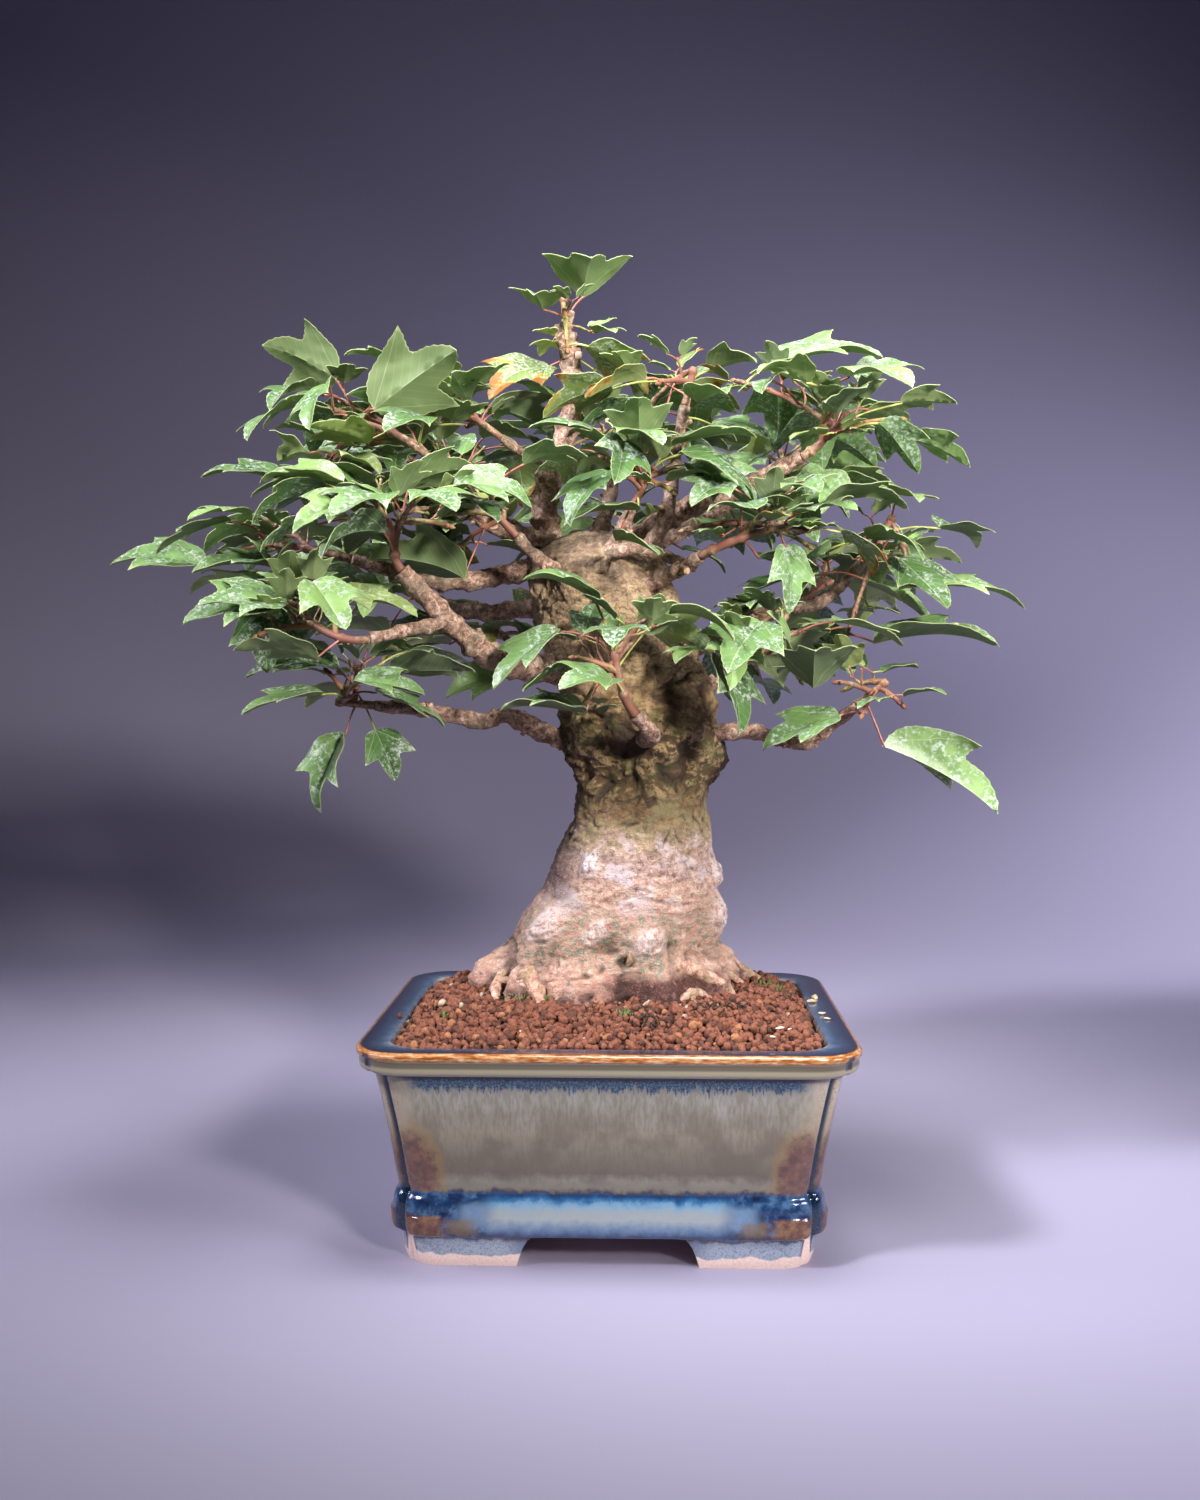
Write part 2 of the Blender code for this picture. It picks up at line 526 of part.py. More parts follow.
def is_clear(body, taken, but_not=None):
    """Whether a body touches none of the obstacles, those of one owner aside."""
    new = obstacle(None, body)
    for old in taken:
        if but_not is not None and old.owner is but_not:
            continue
        if (old.middle - new.middle).length < old.reach + new.reach and new.tree.overlap(old.tree):
            return False
    return True


def limb_obstacles():
    """The trunk and the boughs as obstacles."""
    taken = [obstacle("trunk", closed_loft(trunk_rings(TRUNK_LEVELS, TRUNK_SIDES)))]
    for name, (_, root, tip, points) in BOUGHS.items():
        path = smooth_path(points, 3)
        taken.append(obstacle(name, closed_loft(rings_along(path, taper(path, root, tip), BOUGH_SIDES))))
    return taken


def start_mass(name):
    """A mass with its stem, which carries its bough on towards the middle of the space."""
    bough, middle, half, shoots, droop, seed = MASSES[name]
    points = BOUGHS[bough][3]
    path = smooth_path(points, 3)
    ahead = (path[-1] - path[-2]).normalized()
    start = path[-1] + ahead * GAP
    middle = Vector(middle)
    reach = max((middle - start).length, 14.0)
    bend = start + ahead * reach * 0.4
    end = middle if (middle - start).length >= 14.0 else start + ahead * 14.0
    radius = min(STEM_RADII[0], BOUGHS[bough][2] * 0.85)
    stem = Twig(start, bend, end, (radius, STEM_RADII[1]))
    return Mass(name, middle, Vector(half), shoots, droop, stem, random.Random(seed))


def grow_shoot(mass, begin, target, taken):
    """A shoot from a point of the stem towards a target, unless something is in its way."""
    start = mass.stem.at(begin)
    rise = Vector((0.0, 0.0, 0.12 * (target - start).length))
    shoot = Twig(start, (start + target) / 2 + rise, target, SHOOT_RADII)
    if is_clear(shoot.tube(3, 3, 0.6, 0.2), taken, mass.stem):
        mass.shoots.append(shoot)
        taken.append(obstacle(shoot, shoot.tube(3, 3)))
        return shoot
    return None


def make_leaf(root, foot, tip, roll, width, fold, arch):
    """A leaf from three points and the roll of its blade in degrees."""
    along = (tip - foot).normalized()
    level = along.cross(Vector((0.0, 0.0, 1.0)))
    if level.length < 0.2:
        level = along.cross((foot - root).normalized())
    level.normalize()
    up = level.cross(along)
    a = math.radians(roll)
    across = level * math.cos(a) + up * math.sin(a)
    return Leaf(root, foot, along, across, across.cross(along), (tip - foot).length, width, fold, arch)


def keep_leaf(mass, leaf, twig, masses, taken, outer=False):
    """Adds a leaf to its mass when it is in the mass's own space and touches nothing."""
    if leaf.along.dot((leaf.foot - leaf.root).normalized()) < 0.1:
        return False
    if not outer:
        heart = leaf.at(0.0, 0.5)
        if mass.depth(heart) > HEART_LIMIT or min(masses, key=lambda other: other.depth(heart)) is not mass:
            return False
        if max(mass.depth(leaf.at(u, v)) for u, v in ((0, 1), (0.5, 0.6), (-0.5, 0.6))) > TIP_LIMIT:
            return False
    if not is_clear(blade_guard(leaf), taken):
        return False
    if not is_clear(stalk(leaf).tube(1, 3, 0.4, 0.4), taken, twig):
        return False
    mass.leaves.append(leaf)
    taken.append(obstacle(leaf, leaf_body(leaf)))
    return True


def grow_placed_leaves(mass, masses, taken):
    """The mass's named leaves, each on the best twig behind it or on a shoot of its own."""
    for name, foot, tip, roll, width, fold in PLACED_LEAVES:
        if name != mass.name:
            continue
        foot = Vector(foot)
        tip = Vector(tip)
        behind = foot - (tip - foot).normalized() * 11.0 - Vector((0.0, 0.0, 3.0))
        for begin in (0.0, 0.9, 0.7, 0.5):
            if begin:
                grow_shoot(mass, begin, behind, taken)
            spots = [(twig, t / 10) for twig in [mass.stem] + mass.shoots for t in range(3, 10)]
            spots = [spot for spot in spots if (spot[0].at(spot[1]) - foot).length < PETIOLE_REACH]
            spots.sort(key=lambda spot: (spot[0].at(spot[1]) - behind).length)
            if any(keep_leaf(mass, make_leaf(twig.at(t), foot, tip, roll, width, fold, 0.07),
                             twig, masses, taken, outer=True) for twig, t in spots):
                break


def shoot_target(mass, index):
    """A point near the edge of the mass's space for one of its shoots."""
    rng = mass.rng
    run = mass.stem.end - mass.stem.start
    start = math.atan2(run.y, run.x)
    spread = math.radians(125 if math.hypot(run.x, run.y) > 6 else 180)
    part = (index + 0.5) / mass.shoot_count * 2 - 1
    a = start + spread * part + rng.uniform(-0.3, 0.3)
    out = rng.uniform(0.25, 0.6)
    rise = rng.uniform(-0.5, 0.3) if index % 2 else rng.uniform(-0.1, 0.5)
    return mass.middle + Vector((math.cos(a) * out * mass.half.x, math.sin(a) * out * mass.half.y,
                                 rise * mass.half.z))


def grow_leaf(mass, twig, t, side, masses, taken):
    """One leaf at a node of a twig, tried at several angles until it is clear."""
    rng = mass.rng
    root = twig.at(t)
    for _ in range(TRIES):
        out = side + twig.heading(t) * rng.uniform(0.2, 0.9)
        away = root - mass.middle
        out += Vector((away.x, away.y, 0.0)).normalized() * 0.4 + Vector((0.0, 0.0, rng.uniform(0.0, 0.6)))
        foot = root + out.normalized() * rng.uniform(9.0, 22.0)
        bearing = math.atan2(out.y, out.x) + rng.gauss(0.0, 0.5)
        dip = math.radians(mass.droop + rng.gauss(0.0, 19.0))
        length = rng.triangular(*LEAF_LENGTHS)
        tip = foot + Vector((math.cos(bearing) * math.cos(dip), math.sin(bearing) * math.cos(dip),
                             -math.sin(dip))) * length
        leaf = make_leaf(root, foot, tip, rng.gauss(0.0, 18.0), rng.uniform(0.85, 1.1),
                         rng.uniform(0.15, 0.6), rng.uniform(0.02, 0.12))
        if keep_leaf(mass, leaf, twig, masses, taken):
            return


def grow_mass(mass, masses, taken):
    """Shoots to every side of the mass, with pairs of leaves that cross along each."""
    for index in range(mass.shoot_count):
        begin = 0.45 + 0.5 * (index + 1) / mass.shoot_count
        grow_shoot(mass, begin, shoot_target(mass, index), taken)
    for twig in mass.shoots + [mass.stem]:
        length = (twig.end - twig.start).length
        spots = [1.0 - (1.3 + NODE_SPACING * k) / length for k in range(int(length // NODE_SPACING) + 1)]
        for k, t in enumerate(spot for spot in spots if spot > 0.25):
            heading = twig.heading(t)
            side = heading.cross(Vector((0.0, 0.0, 1.0))).normalized()
            if k % 2:
                side = (side * 0.5 + side.cross(heading)).normalized()
            grow_leaf(mass, twig, t, side, masses, taken)
            grow_leaf(mass, twig, t, -side, masses, taken)
            if k == 0:
                grow_leaf(mass, twig, t, heading, masses, taken)


def grow_crown():
    """All the masses, grown one after another and each clear of the ones before."""
    taken = limb_obstacles()
    masses = [start_mass(name) for name in MASSES]
    taken += [obstacle(mass.stem, mass.stem.tube(4, 3)) for mass in masses]
    for mass in masses:
        grow_placed_leaves(mass, masses, taken)
    for mass in masses:
        grow_mass(mass, masses, taken)
    return masses


def clear_scene():
    """Removes every object of the scene."""
    for obj in list(bpy.data.objects):
        bpy.data.objects.remove(obj, do_unlink=True)


def new_collection(name):
    """An empty collection in the scene."""
    collection = bpy.data.collections.new(name)
    bpy.context.scene.collection.children.link(collection)
    return collection


def finish(name):
    """The named finish as a material."""
    material = bpy.data.materials.get(name)
    if material is None:
        colour, roughness, metallic = FINISHES[name]
        material = bpy.data.materials.new(name)
        material.use_nodes = True
        shader = material.node_tree.nodes["Principled BSDF"]
        shader.inputs["Base Color"].default_value = (*colour, 1.0)
        shader.inputs["Roughness"].default_value = roughness
        shader.inputs["Metallic"].default_value = metallic
    return material


def mesh_object(name, body, collection):
    """An object from vertices in millimetres and faces, with its faces turned out."""
    verts, faces = body
    mesh = bpy.data.meshes.new(name)
    mesh.from_pydata([point * MM for point in verts], [], faces)
    bm = bmesh.new()
    bm.from_mesh(mesh)
    bmesh.ops.recalc_face_normals(bm, faces=bm.faces)
    bmesh.ops.triangulate(bm, faces=bm.faces)
    bm.to_mesh(mesh)
    bm.free()
    obj = bpy.data.objects.new(name, mesh)
    collection.objects.link(obj)
    return obj


def curve_limb(name, points, root, tip, collection):
    """A tapering limb: a curve with a bevel and filled caps, made a mesh and its caps welded."""
    path = smooth_path(points, 2)
    curve = bpy.data.curves.new(name + "_curve", "CURVE")
    curve.dimensions = "3D"
    curve.bevel_depth = MM
    curve.bevel_resolution = BOUGH_SIDES // 2 - 2
    curve.use_fill_caps = True
    spline = curve.splines.new("POLY")
    spline.points.add(len(path) - 1)
    for spot, point, radius in zip(spline.points, path, taper(path, root, tip)):
        spot.co = (*(point * MM), 1.0)
        spot.radius = radius
    curve_object = bpy.data.objects.new(name + "_curve", curve)
    collection.objects.link(curve_object)
    mesh = bpy.data.meshes.new_from_object(curve_object.evaluated_get(bpy.context.evaluated_depsgraph_get()))
    bpy.data.objects.remove(curve_object, do_unlink=True)
    bm = bmesh.new()
    bm.from_mesh(mesh)
    bmesh.ops.remove_doubles(bm, verts=bm.verts, dist=1e-6)
    bmesh.ops.recalc_face_normals(bm, faces=bm.faces)
    bm.to_mesh(mesh)
    bm.free()
    obj = bpy.data.objects.new(name, mesh)
    collection.objects.link(obj)
    return obj


def apply_boolean(obj, operation, other=None, group=None, solver="EXACT"):
    """Cuts or joins an object with another object or with a collection, and keeps the result."""
    modifier = obj.modifiers.new(operation.lower(), "BOOLEAN")
    modifier.operation = operation
    modifier.solver = solver
    if group is None:
        modifier.object = other
    else:
        modifier.operand_type = "COLLECTION"
        modifier.collection = group
    depsgraph = bpy.context.evaluated_depsgraph_get()
    mesh = bpy.data.meshes.new_from_object(obj.evaluated_get(depsgraph))
    obj.modifiers.remove(modifier)
    obj.data = mesh


def drop_group(group):
    """Removes a collection with its objects."""
    for obj in list(group.objects):
        bpy.data.objects.remove(obj, do_unlink=True)
    bpy.data.collections.remove(group)


def shells(bm):
    """The connected shells of a mesh, each a list of faces."""
    left = set(bm.faces)
    found = []
    while left:
        stack = [left.pop()]
        shell = []
        while stack:
            face = stack.pop()
            shell.append(face)
            for edge in face.edges:
                for other in edge.link_faces:
                    if other in left:
                        left.discard(other)
                        stack.append(other)
        found.append(shell)
    return found


def thin_out(obj, part):
    """Collapses the smallest faces until the given part of them is left."""
    modifier = obj.modifiers.new("thin_out", "DECIMATE")
    modifier.ratio = part
    mesh = bpy.data.meshes.new_from_object(obj.evaluated_get(bpy.context.evaluated_depsgraph_get()))
    obj.modifiers.remove(modifier)
    obj.data = mesh


def is_closed(bm):
    """Whether every edge of a mesh joins two faces."""
    return all(edge.is_manifold for edge in bm.edges)


def extent(bm, axis):
    """How far a mesh reaches along an axis."""
    return max(vert.co[axis] for vert in bm.verts) - min(vert.co[axis] for vert in bm.verts)


def is_like(bm, whole):
    """Whether a thinned mesh still has the volume and the size of the whole one."""
    if bm.calc_volume() < SHAPE_KEPT * whole.calc_volume():
        return False
    return all(extent(whole, axis) - extent(bm, axis) < SIZE_KEPT * MM for axis in range(3))


def is_neat(bm):
    """Whether a mesh has no sliver faces and no face that runs through another."""
    if min(face.calc_area() for face in bm.faces) < SLIVER_AREA * MM * MM:
        return False
    tree = BVHTree.FromBMesh(bm)
    corners = [{vert.index for vert in face.verts} for face in bm.faces]
    return not any(a < b and not corners[a] & corners[b] for a, b in tree.overlap(tree))


def tidied(mesh, weld):
    """The largest shell of a mesh, welded and in triangles."""
    bm = bmesh.new()
    bm.from_mesh(mesh)
    bmesh.ops.triangulate(bm, faces=bm.faces)
    bmesh.ops.remove_doubles(bm, verts=bm.verts, dist=weld * MM)
    bmesh.ops.dissolve_degenerate(bm, edges=bm.edges, dist=weld * MM)
    bmesh.ops.triangulate(bm, faces=bm.faces)
    found = sorted(shells(bm), key=len, reverse=True)
    scraps = [face for shell in found[1:] for face in shell]
    bmesh.ops.delete(bm, geom=scraps, context="FACES")
    bm.verts.index_update()
    bm.faces.ensure_lookup_table()
    return bm


def keep_outer_shell(obj, ratios=(1.0,)):
    """Keeps the largest shell, which drops loose scraps and fills sealed hollows.

    The first of the ratios that leaves a closed and neat body of the same shape is taken,
    and if none does, the first that leaves a closed one. Says whether there was one.
    """
    whole = obj.data
    full = tidied(whole, 0.0)
    tests = (lambda bm: is_closed(bm) and is_like(bm, full) and is_neat(bm),
             lambda bm: is_closed(bm) and is_like(bm, full))
    passed = False
    for passes in tests:
        for weld, ratio in ((weld, ratio) for ratio in ratios for weld in WELDS):
            obj.data = whole
            if ratio < 1.0:
                thin_out(obj, ratio)
            bm = tidied(obj.data, weld)
            passed = passes(bm)
            if passed:
                bm.to_mesh(obj.data)
            bm.free()
            if passed:
                break
        if passed:
            break
    full.free()
    return passed


def arch_cutter(name, width, along_y, collection):
    """A prism under the pot that leaves two feet, narrower and rounded towards its top."""
    half = width / 2
    marks = ((half, -1.0), (half - 0.4, 1.0), (half - 2.5, 7.0), (half - 4.4, 9.8),
             (half - 6.4, ARCH_HEIGHT))
    outline = list(marks) + [(-x, z) for x, z in reversed(marks)]
    rings = []
    for end in (-RIM_WIDTH, RIM_WIDTH):
        rings.append([Vector((x, end, z)) if along_y else Vector((end, x, z)) for x, z in outline])
    return mesh_object(name, closed_loft(rings), collection)


def build_pot(parts, cutters):
    """The pot: a loft up its outside and down its inside, cut below into four feet."""
    pot = mesh_object("pot", closed_loft([pot_outline(*row) for row in POT_PROFILE]), parts)
    recess_inset = POT_PROFILE[1][1] + FOOT_THICKNESS
    recess = mesh_object("recess", closed_loft(
        [pot_outline(-1.0, recess_inset, 0.0), pot_outline(UNDERSIDE, recess_inset, 0.0)]), cutters)
    tools = [recess, arch_cutter("front_arch", FRONT_ARCH, True, cutters),
             arch_cutter("side_arch", SIDE_ARCH, False, cutters)]
    for side in (-1, 1):
        bpy.ops.mesh.primitive_cylinder_add(
            vertices=12, radius=DRAIN_RADIUS * MM, depth=30 * MM,
            location=(side * DRAIN_OFFSET * MM, 0.0, POT_FLOOR * MM))
        drain = bpy.context.object
        for collection in drain.users_collection:
            collection.objects.unlink(drain)
        cutters.objects.link(drain)
        tools.append(drain)
    for tool in tools:
        apply_boolean(pot, "DIFFERENCE", tool)
    return pot


def build_trunk(parts):
    """The trunk with its knobs and surface roots, cut flat at the soil."""
    group = new_collection("roots")
    trunk = mesh_object("trunk", closed_loft(trunk_rings(TRUNK_LEVELS, TRUNK_SIDES)), parts)
    for index, (bearing, reach, thickness) in enumerate(ROOTS):
        path = root_path(bearing, reach)
        curve_limb(f"root_{index}", path, thickness / 2 + 1.5, thickness / 2 - 1.2, group)
    apply_boolean(trunk, "UNION", group=group)
    drop_group(group)
    group = new_collection("ground")
    bpy.ops.mesh.primitive_cube_add(size=1.0, location=(0.0, 0.0, (TRUNK_FOOT - 20.0) * MM))
    ground = bpy.context.object
    ground.scale = (0.3, 0.3, 40.0 * MM)
    group.objects.link(ground)
    bpy.context.view_layer.update()
    apply_boolean(trunk, "DIFFERENCE", ground)
    drop_group(group)
    keep_outer_shell(trunk)
    return trunk


def build_boughs(parts):
    """Every bough, its root trimmed to stand clear of the limb that it grows from."""
    group = new_collection("trimmers")
    trimmers = {"trunk": mesh_object(
        "trunk_trimmer", closed_loft(trunk_rings(TRUNK_LEVELS, TRUNK_SIDES, GAP * 1.3)), group)}
    for name, (parent, root, tip, points) in BOUGHS.items():
        if parent not in trimmers:
            swell = GAP * 1.3
            trimmers[parent] = curve_limb(
                parent + "_trimmer", BOUGHS[parent][3], BOUGHS[parent][1] + swell,
                BOUGHS[parent][2] + swell, group)
        bough = curve_limb(name, points, root, tip, parts)
        apply_boolean(bough, "DIFFERENCE", trimmers[parent])
        keep_tip_shell(bough, Vector(points[-1]) * MM)
    drop_group(group)


def keep_tip_shell(obj, tip):
    """Keeps the shell that reaches a limb's tip."""
    bm = bmesh.new()
    bm.from_mesh(obj.data)
    found = shells(bm)
    found.sort(key=lambda shell: min((v.co - tip).length for face in shell for v in face.verts))
    scraps = [face for shell in found[1:] for face in shell]
    bmesh.ops.delete(bm, geom=scraps, context="FACES")
    bmesh.ops.triangulate(bm, faces=bm.faces)
    bm.to_mesh(obj.data)
    bm.free()


def build_mass(mass, parts):
    """One mass of leaves: shoots and leaves fused to the stem in one union."""
    for solver, leaves in (("EXACT", mass.leaves), ("MANIFOLD", mass.leaves), ("EXACT", mass.leaves[::2])):
        group = new_collection(mass.name + "_pieces")
        for index, shoot in enumerate(mass.shoots):
            mesh_object(f"{mass.name}_shoot_{index}", shoot.tube(3, 3), group)
        for index, leaf in enumerate(leaves):
            mesh_object(f"{mass.name}_leaf_{index}", leaf_body(leaf), group)
        obj = mesh_object(mass.name, mass.stem.tube(4, 4), parts)
        apply_boolean(obj, "UNION", group=group, solver=solver)
        drop_group(group)
        if keep_outer_shell(obj, FACES_KEPT):
            mass.leaves = leaves
            return obj
        bpy.data.objects.remove(obj, do_unlink=True)
    return None


def centre_parts(parts):
    """Moves every mesh so that the middle of the whole tree's footprint is the origin."""
    meshes = [obj.data for obj in parts.objects]
    for axis in (0, 1):
        low = min(vert.co[axis] for mesh in meshes for vert in mesh.vertices)
        high = max(vert.co[axis] for mesh in meshes for vert in mesh.vertices)
        for mesh in meshes:
            for vert in mesh.vertices:
                vert.co[axis] -= (low + high) / 2


def dress(parts):
    """Gives each piece its finish and its shading."""
    names = {"pot": "glaze", "soil": "soil", "trunk": "trunk_bark"}
    for obj in parts.objects:
        kind = "leaf" if obj.name.startswith("leaves") else "bough_bark"
        obj.data.materials.clear()
        obj.data.materials.append(finish(names.get(obj.name, kind)))
        if kind != "leaf":
            obj.data.shade_smooth()
            obj.data.set_sharp_from_angle(angle=math.radians(35))


def main():
    """Builds the tree and its pot."""
    clear_scene()
    parts = new_collection("trident_maple_bonsai")
    cutters = new_collection("cutters")
    build_pot(parts, cutters)
    for cutter in cutters.objects:
        cutter.hide_render = True
        cutter.display_type = "WIRE"
    mesh_object("soil", soil_body(), parts)
    build_trunk(parts)
    build_boughs(parts)
    for mass in grow_crown():
        build_mass(mass, parts)
    centre_parts(parts)
    dress(parts)


if __name__ == "__main__":
    main()
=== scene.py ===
# %% [markdown]
# # A trident maple bonsai in a glazed pot
#
# This lesson dresses a imported CAD model of a small potted tree so that it looks like the
# real one. The CAD model is the frame: plain solids for the pot, the soil, the trunk, the
# boughs and the masses of leaves. Each of them gets a finer mesh here, which stays where
# its solid is, and a material made of nodes.
#
# First the frame is loaded, and its box is kept, so that no point of the finer meshes can stand outside it.

import json
import math
import random
from dataclasses import dataclass, field

import bmesh
import bpy
import numpy as np
from mathutils import Matrix, Vector, noise
from mathutils.bvhtree import BVHTree
from mathutils.geometry import delaunay_2d_cdt

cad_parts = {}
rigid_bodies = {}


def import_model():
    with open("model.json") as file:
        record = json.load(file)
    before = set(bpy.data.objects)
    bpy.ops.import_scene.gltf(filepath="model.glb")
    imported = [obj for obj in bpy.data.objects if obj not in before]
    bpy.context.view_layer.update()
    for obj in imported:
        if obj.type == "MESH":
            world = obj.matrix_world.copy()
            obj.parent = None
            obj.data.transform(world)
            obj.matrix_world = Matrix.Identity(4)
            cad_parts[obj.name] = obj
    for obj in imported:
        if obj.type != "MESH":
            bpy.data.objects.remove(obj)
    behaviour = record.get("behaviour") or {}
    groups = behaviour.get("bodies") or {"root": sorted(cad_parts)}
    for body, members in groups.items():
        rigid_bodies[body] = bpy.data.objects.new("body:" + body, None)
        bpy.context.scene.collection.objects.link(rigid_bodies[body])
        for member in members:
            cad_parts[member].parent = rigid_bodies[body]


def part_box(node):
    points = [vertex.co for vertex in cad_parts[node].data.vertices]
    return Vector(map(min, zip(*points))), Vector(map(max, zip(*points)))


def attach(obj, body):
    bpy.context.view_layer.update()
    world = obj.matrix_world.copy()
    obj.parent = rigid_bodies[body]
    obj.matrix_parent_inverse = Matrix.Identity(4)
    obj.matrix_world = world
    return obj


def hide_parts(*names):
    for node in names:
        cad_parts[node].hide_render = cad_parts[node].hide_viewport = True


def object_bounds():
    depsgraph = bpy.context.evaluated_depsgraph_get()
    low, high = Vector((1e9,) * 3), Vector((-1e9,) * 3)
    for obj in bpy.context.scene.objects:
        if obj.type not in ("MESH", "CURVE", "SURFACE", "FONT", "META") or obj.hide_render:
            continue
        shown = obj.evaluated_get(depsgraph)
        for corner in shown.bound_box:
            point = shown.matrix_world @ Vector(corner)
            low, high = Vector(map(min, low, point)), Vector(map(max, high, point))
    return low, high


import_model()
cad_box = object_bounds()
print("CAD box in mm:", [[round(v * 1000, 1) for v in corner] for corner in cad_box])

# %% [markdown]
# ## One place to measure from
#
# The pot is the easiest thing to measure on the real object, so every size below is in
# millimetres from the middle of the pot's base. The frame tells where the pot stands, and
# each piece is put there as an object, so that its own coordinates stay pot-centred. The
# materials use those coordinates too.

# %% Millimetres from the pot's middle
MM = 0.001
pot_low, pot_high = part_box("pot")
ORIGIN = Vector(((pot_low.x + pot_high.x) / 2, (pot_low.y + pot_high.y) / 2, 0.0))
CAD_LOW, CAD_HIGH = ((np.array(corner) - np.array(ORIGIN)) / MM for corner in cad_box)
print("pot's middle in the frame, mm:", [round(v * 1000, 1) for v in ORIGIN])


def place(name, verts, faces, finishes, replaced=(), smooth=True, picks=None):
    """Makes a piece of the tree from points in millimetres and hangs it on the frame.

    Faces may be lists or an array of one polygon size. Picks gives each face its finish.
    No point may stand outside the CAD's box.
    """
    mesh = bpy.data.meshes.new(name)
    points = np.asarray([tuple(v) for v in verts] if isinstance(verts, list) else verts, float)
    points = np.clip(points, CAD_LOW, CAD_HIGH) * MM
    if isinstance(faces, np.ndarray):
        sides = faces.shape[1]
        mesh.vertices.add(len(points))
        mesh.vertices.foreach_set("co", points.ravel())
        mesh.loops.add(faces.size)
        mesh.loops.foreach_set("vertex_index", faces.ravel().astype(np.int32))
        mesh.polygons.add(len(faces))
        mesh.polygons.foreach_set("loop_start", np.arange(0, faces.size, sides, dtype=np.int32))
        mesh.update(calc_edges=True)
    else:
        mesh.from_pydata([tuple(p) for p in points], [], faces)
    for material in finishes:
        mesh.materials.append(material)
    if picks is not None:
        mesh.polygons.foreach_set("material_index", np.asarray(picks, np.int32))
    if smooth:
        mesh.shade_smooth()
    piece = bpy.data.objects.new(name, mesh)
    bpy.context.scene.collection.objects.link(piece)
    piece.location = ORIGIN
    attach(piece, "root")
    if replaced:
        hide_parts(*replaced)
    triangles = sum(len(p.vertices) - 2 for p in mesh.polygons)
    print(f"{name}: {triangles} triangles")
    return piece


# %% [markdown]
# ## Colours and nodes
#
# Colours are written as the hex codes that a picture editor shows, which are sRGB.
# Blender's nodes want linear light, so one function turns them. One more function adds a
# node: it takes the node's kind, what goes into its sockets, and its settings. A socket
# of another node is linked, a text is a colour, and anything else is a plain number.

# %% Two helpers for materials
def linear(code):
    """A hex colour such as #8c7a5b as linear red, green, blue and alpha."""
    parts = [int(code[i:i + 2], 16) / 255 for i in (1, 3, 5)]
    return (*[p / 12.92 if p <= 0.04045 else ((p + 0.055) / 1.055) ** 2.4 for p in parts], 1.0)


def add(tree, kind, inputs=None, out=0, stops=None, **settings):
    """Adds a node with its settings and links, and gives back one output, or all for out=None."""
    node = tree.nodes.new("ShaderNode" + kind)
    for name, value in settings.items():
        setattr(node, name, value)
    if stops:
        ramp = node.color_ramp.elements
        while len(ramp) < len(stops):
            ramp.new(1.0)
        for element, (position, code) in zip(ramp, stops):
            element.position = position
            element.color = linear(code) if isinstance(code, str) else (code, code, code, 1.0)
    for key, value in (inputs or {}).items():
        if isinstance(value, bpy.types.NodeSocket):
            tree.links.new(value, node.inputs[key])
        else:
            node.inputs[key].default_value = linear(value) if isinstance(value, str) else value
    return node.outputs if out is None else node.outputs[out]


def new_finish(name):
    """An empty material and its node tree."""
    material = bpy.data.materials.new(name)
    material.use_nodes = True
    material.node_tree.nodes.clear()
    return material, material.node_tree


# %% [markdown]
# ## Camera
#
# The photograph was taken from in front, a little above the pot's rim, with a normal lens.
# The pot's known corners and rim give the place of the camera: half a metre in front of
# the pot, 194 mm up, turned 1.7 degrees to the left and tipped down 2.35 degrees.

# %% Set up the camera
CAMERA_SPOT = Vector((11.3, -518.5, 193.7))
CAMERA_TURN = 1.72
CAMERA_TIP = 2.35
LENS = 33.6

camera_data = bpy.data.cameras.new("camera")
camera_data.lens = LENS
camera_data.sensor_width = 36.0
camera_data.clip_start = 0.01
camera = bpy.data.objects.new("camera", camera_data)
camera.location = ORIGIN + CAMERA_SPOT * MM
camera.rotation_euler = (math.radians(90 - CAMERA_TIP), 0.0, math.radians(CAMERA_TURN))
bpy.context.scene.collection.objects.link(camera)
bpy.context.scene.camera = camera
print("camera at", [round(v, 3) for v in camera.location])

# %% [markdown]
# ## Floor and light
#
# The tree stands on a pale lavender studio paper that rises behind it in one slow curve, so
# no line shows between floor and background. The same curve goes all the way round here,
# so the tree can be looked at from every side.
#
# Two softboxes stand before the tree, left and right, and throw its two soft shadows, and a
# weaker one hangs above it. Their light is kept to a cone, as a grid on a softbox does, and
# they point at the top of the crown, so the crown is as bright as the pot and the paper
# falls off into shade. One lamp could light all of the paper, but it would be even. Five
# lamps light it in parts instead, more to the right than to the left.

# %% Paper floor with a curve all round
FLOOR_RADIUS = 450.0          # level part
CURVE_RADIUS = 1900.0         # of the paper's rise
WALL_TOP = 2600.0
PAPER = "#a29eb5"


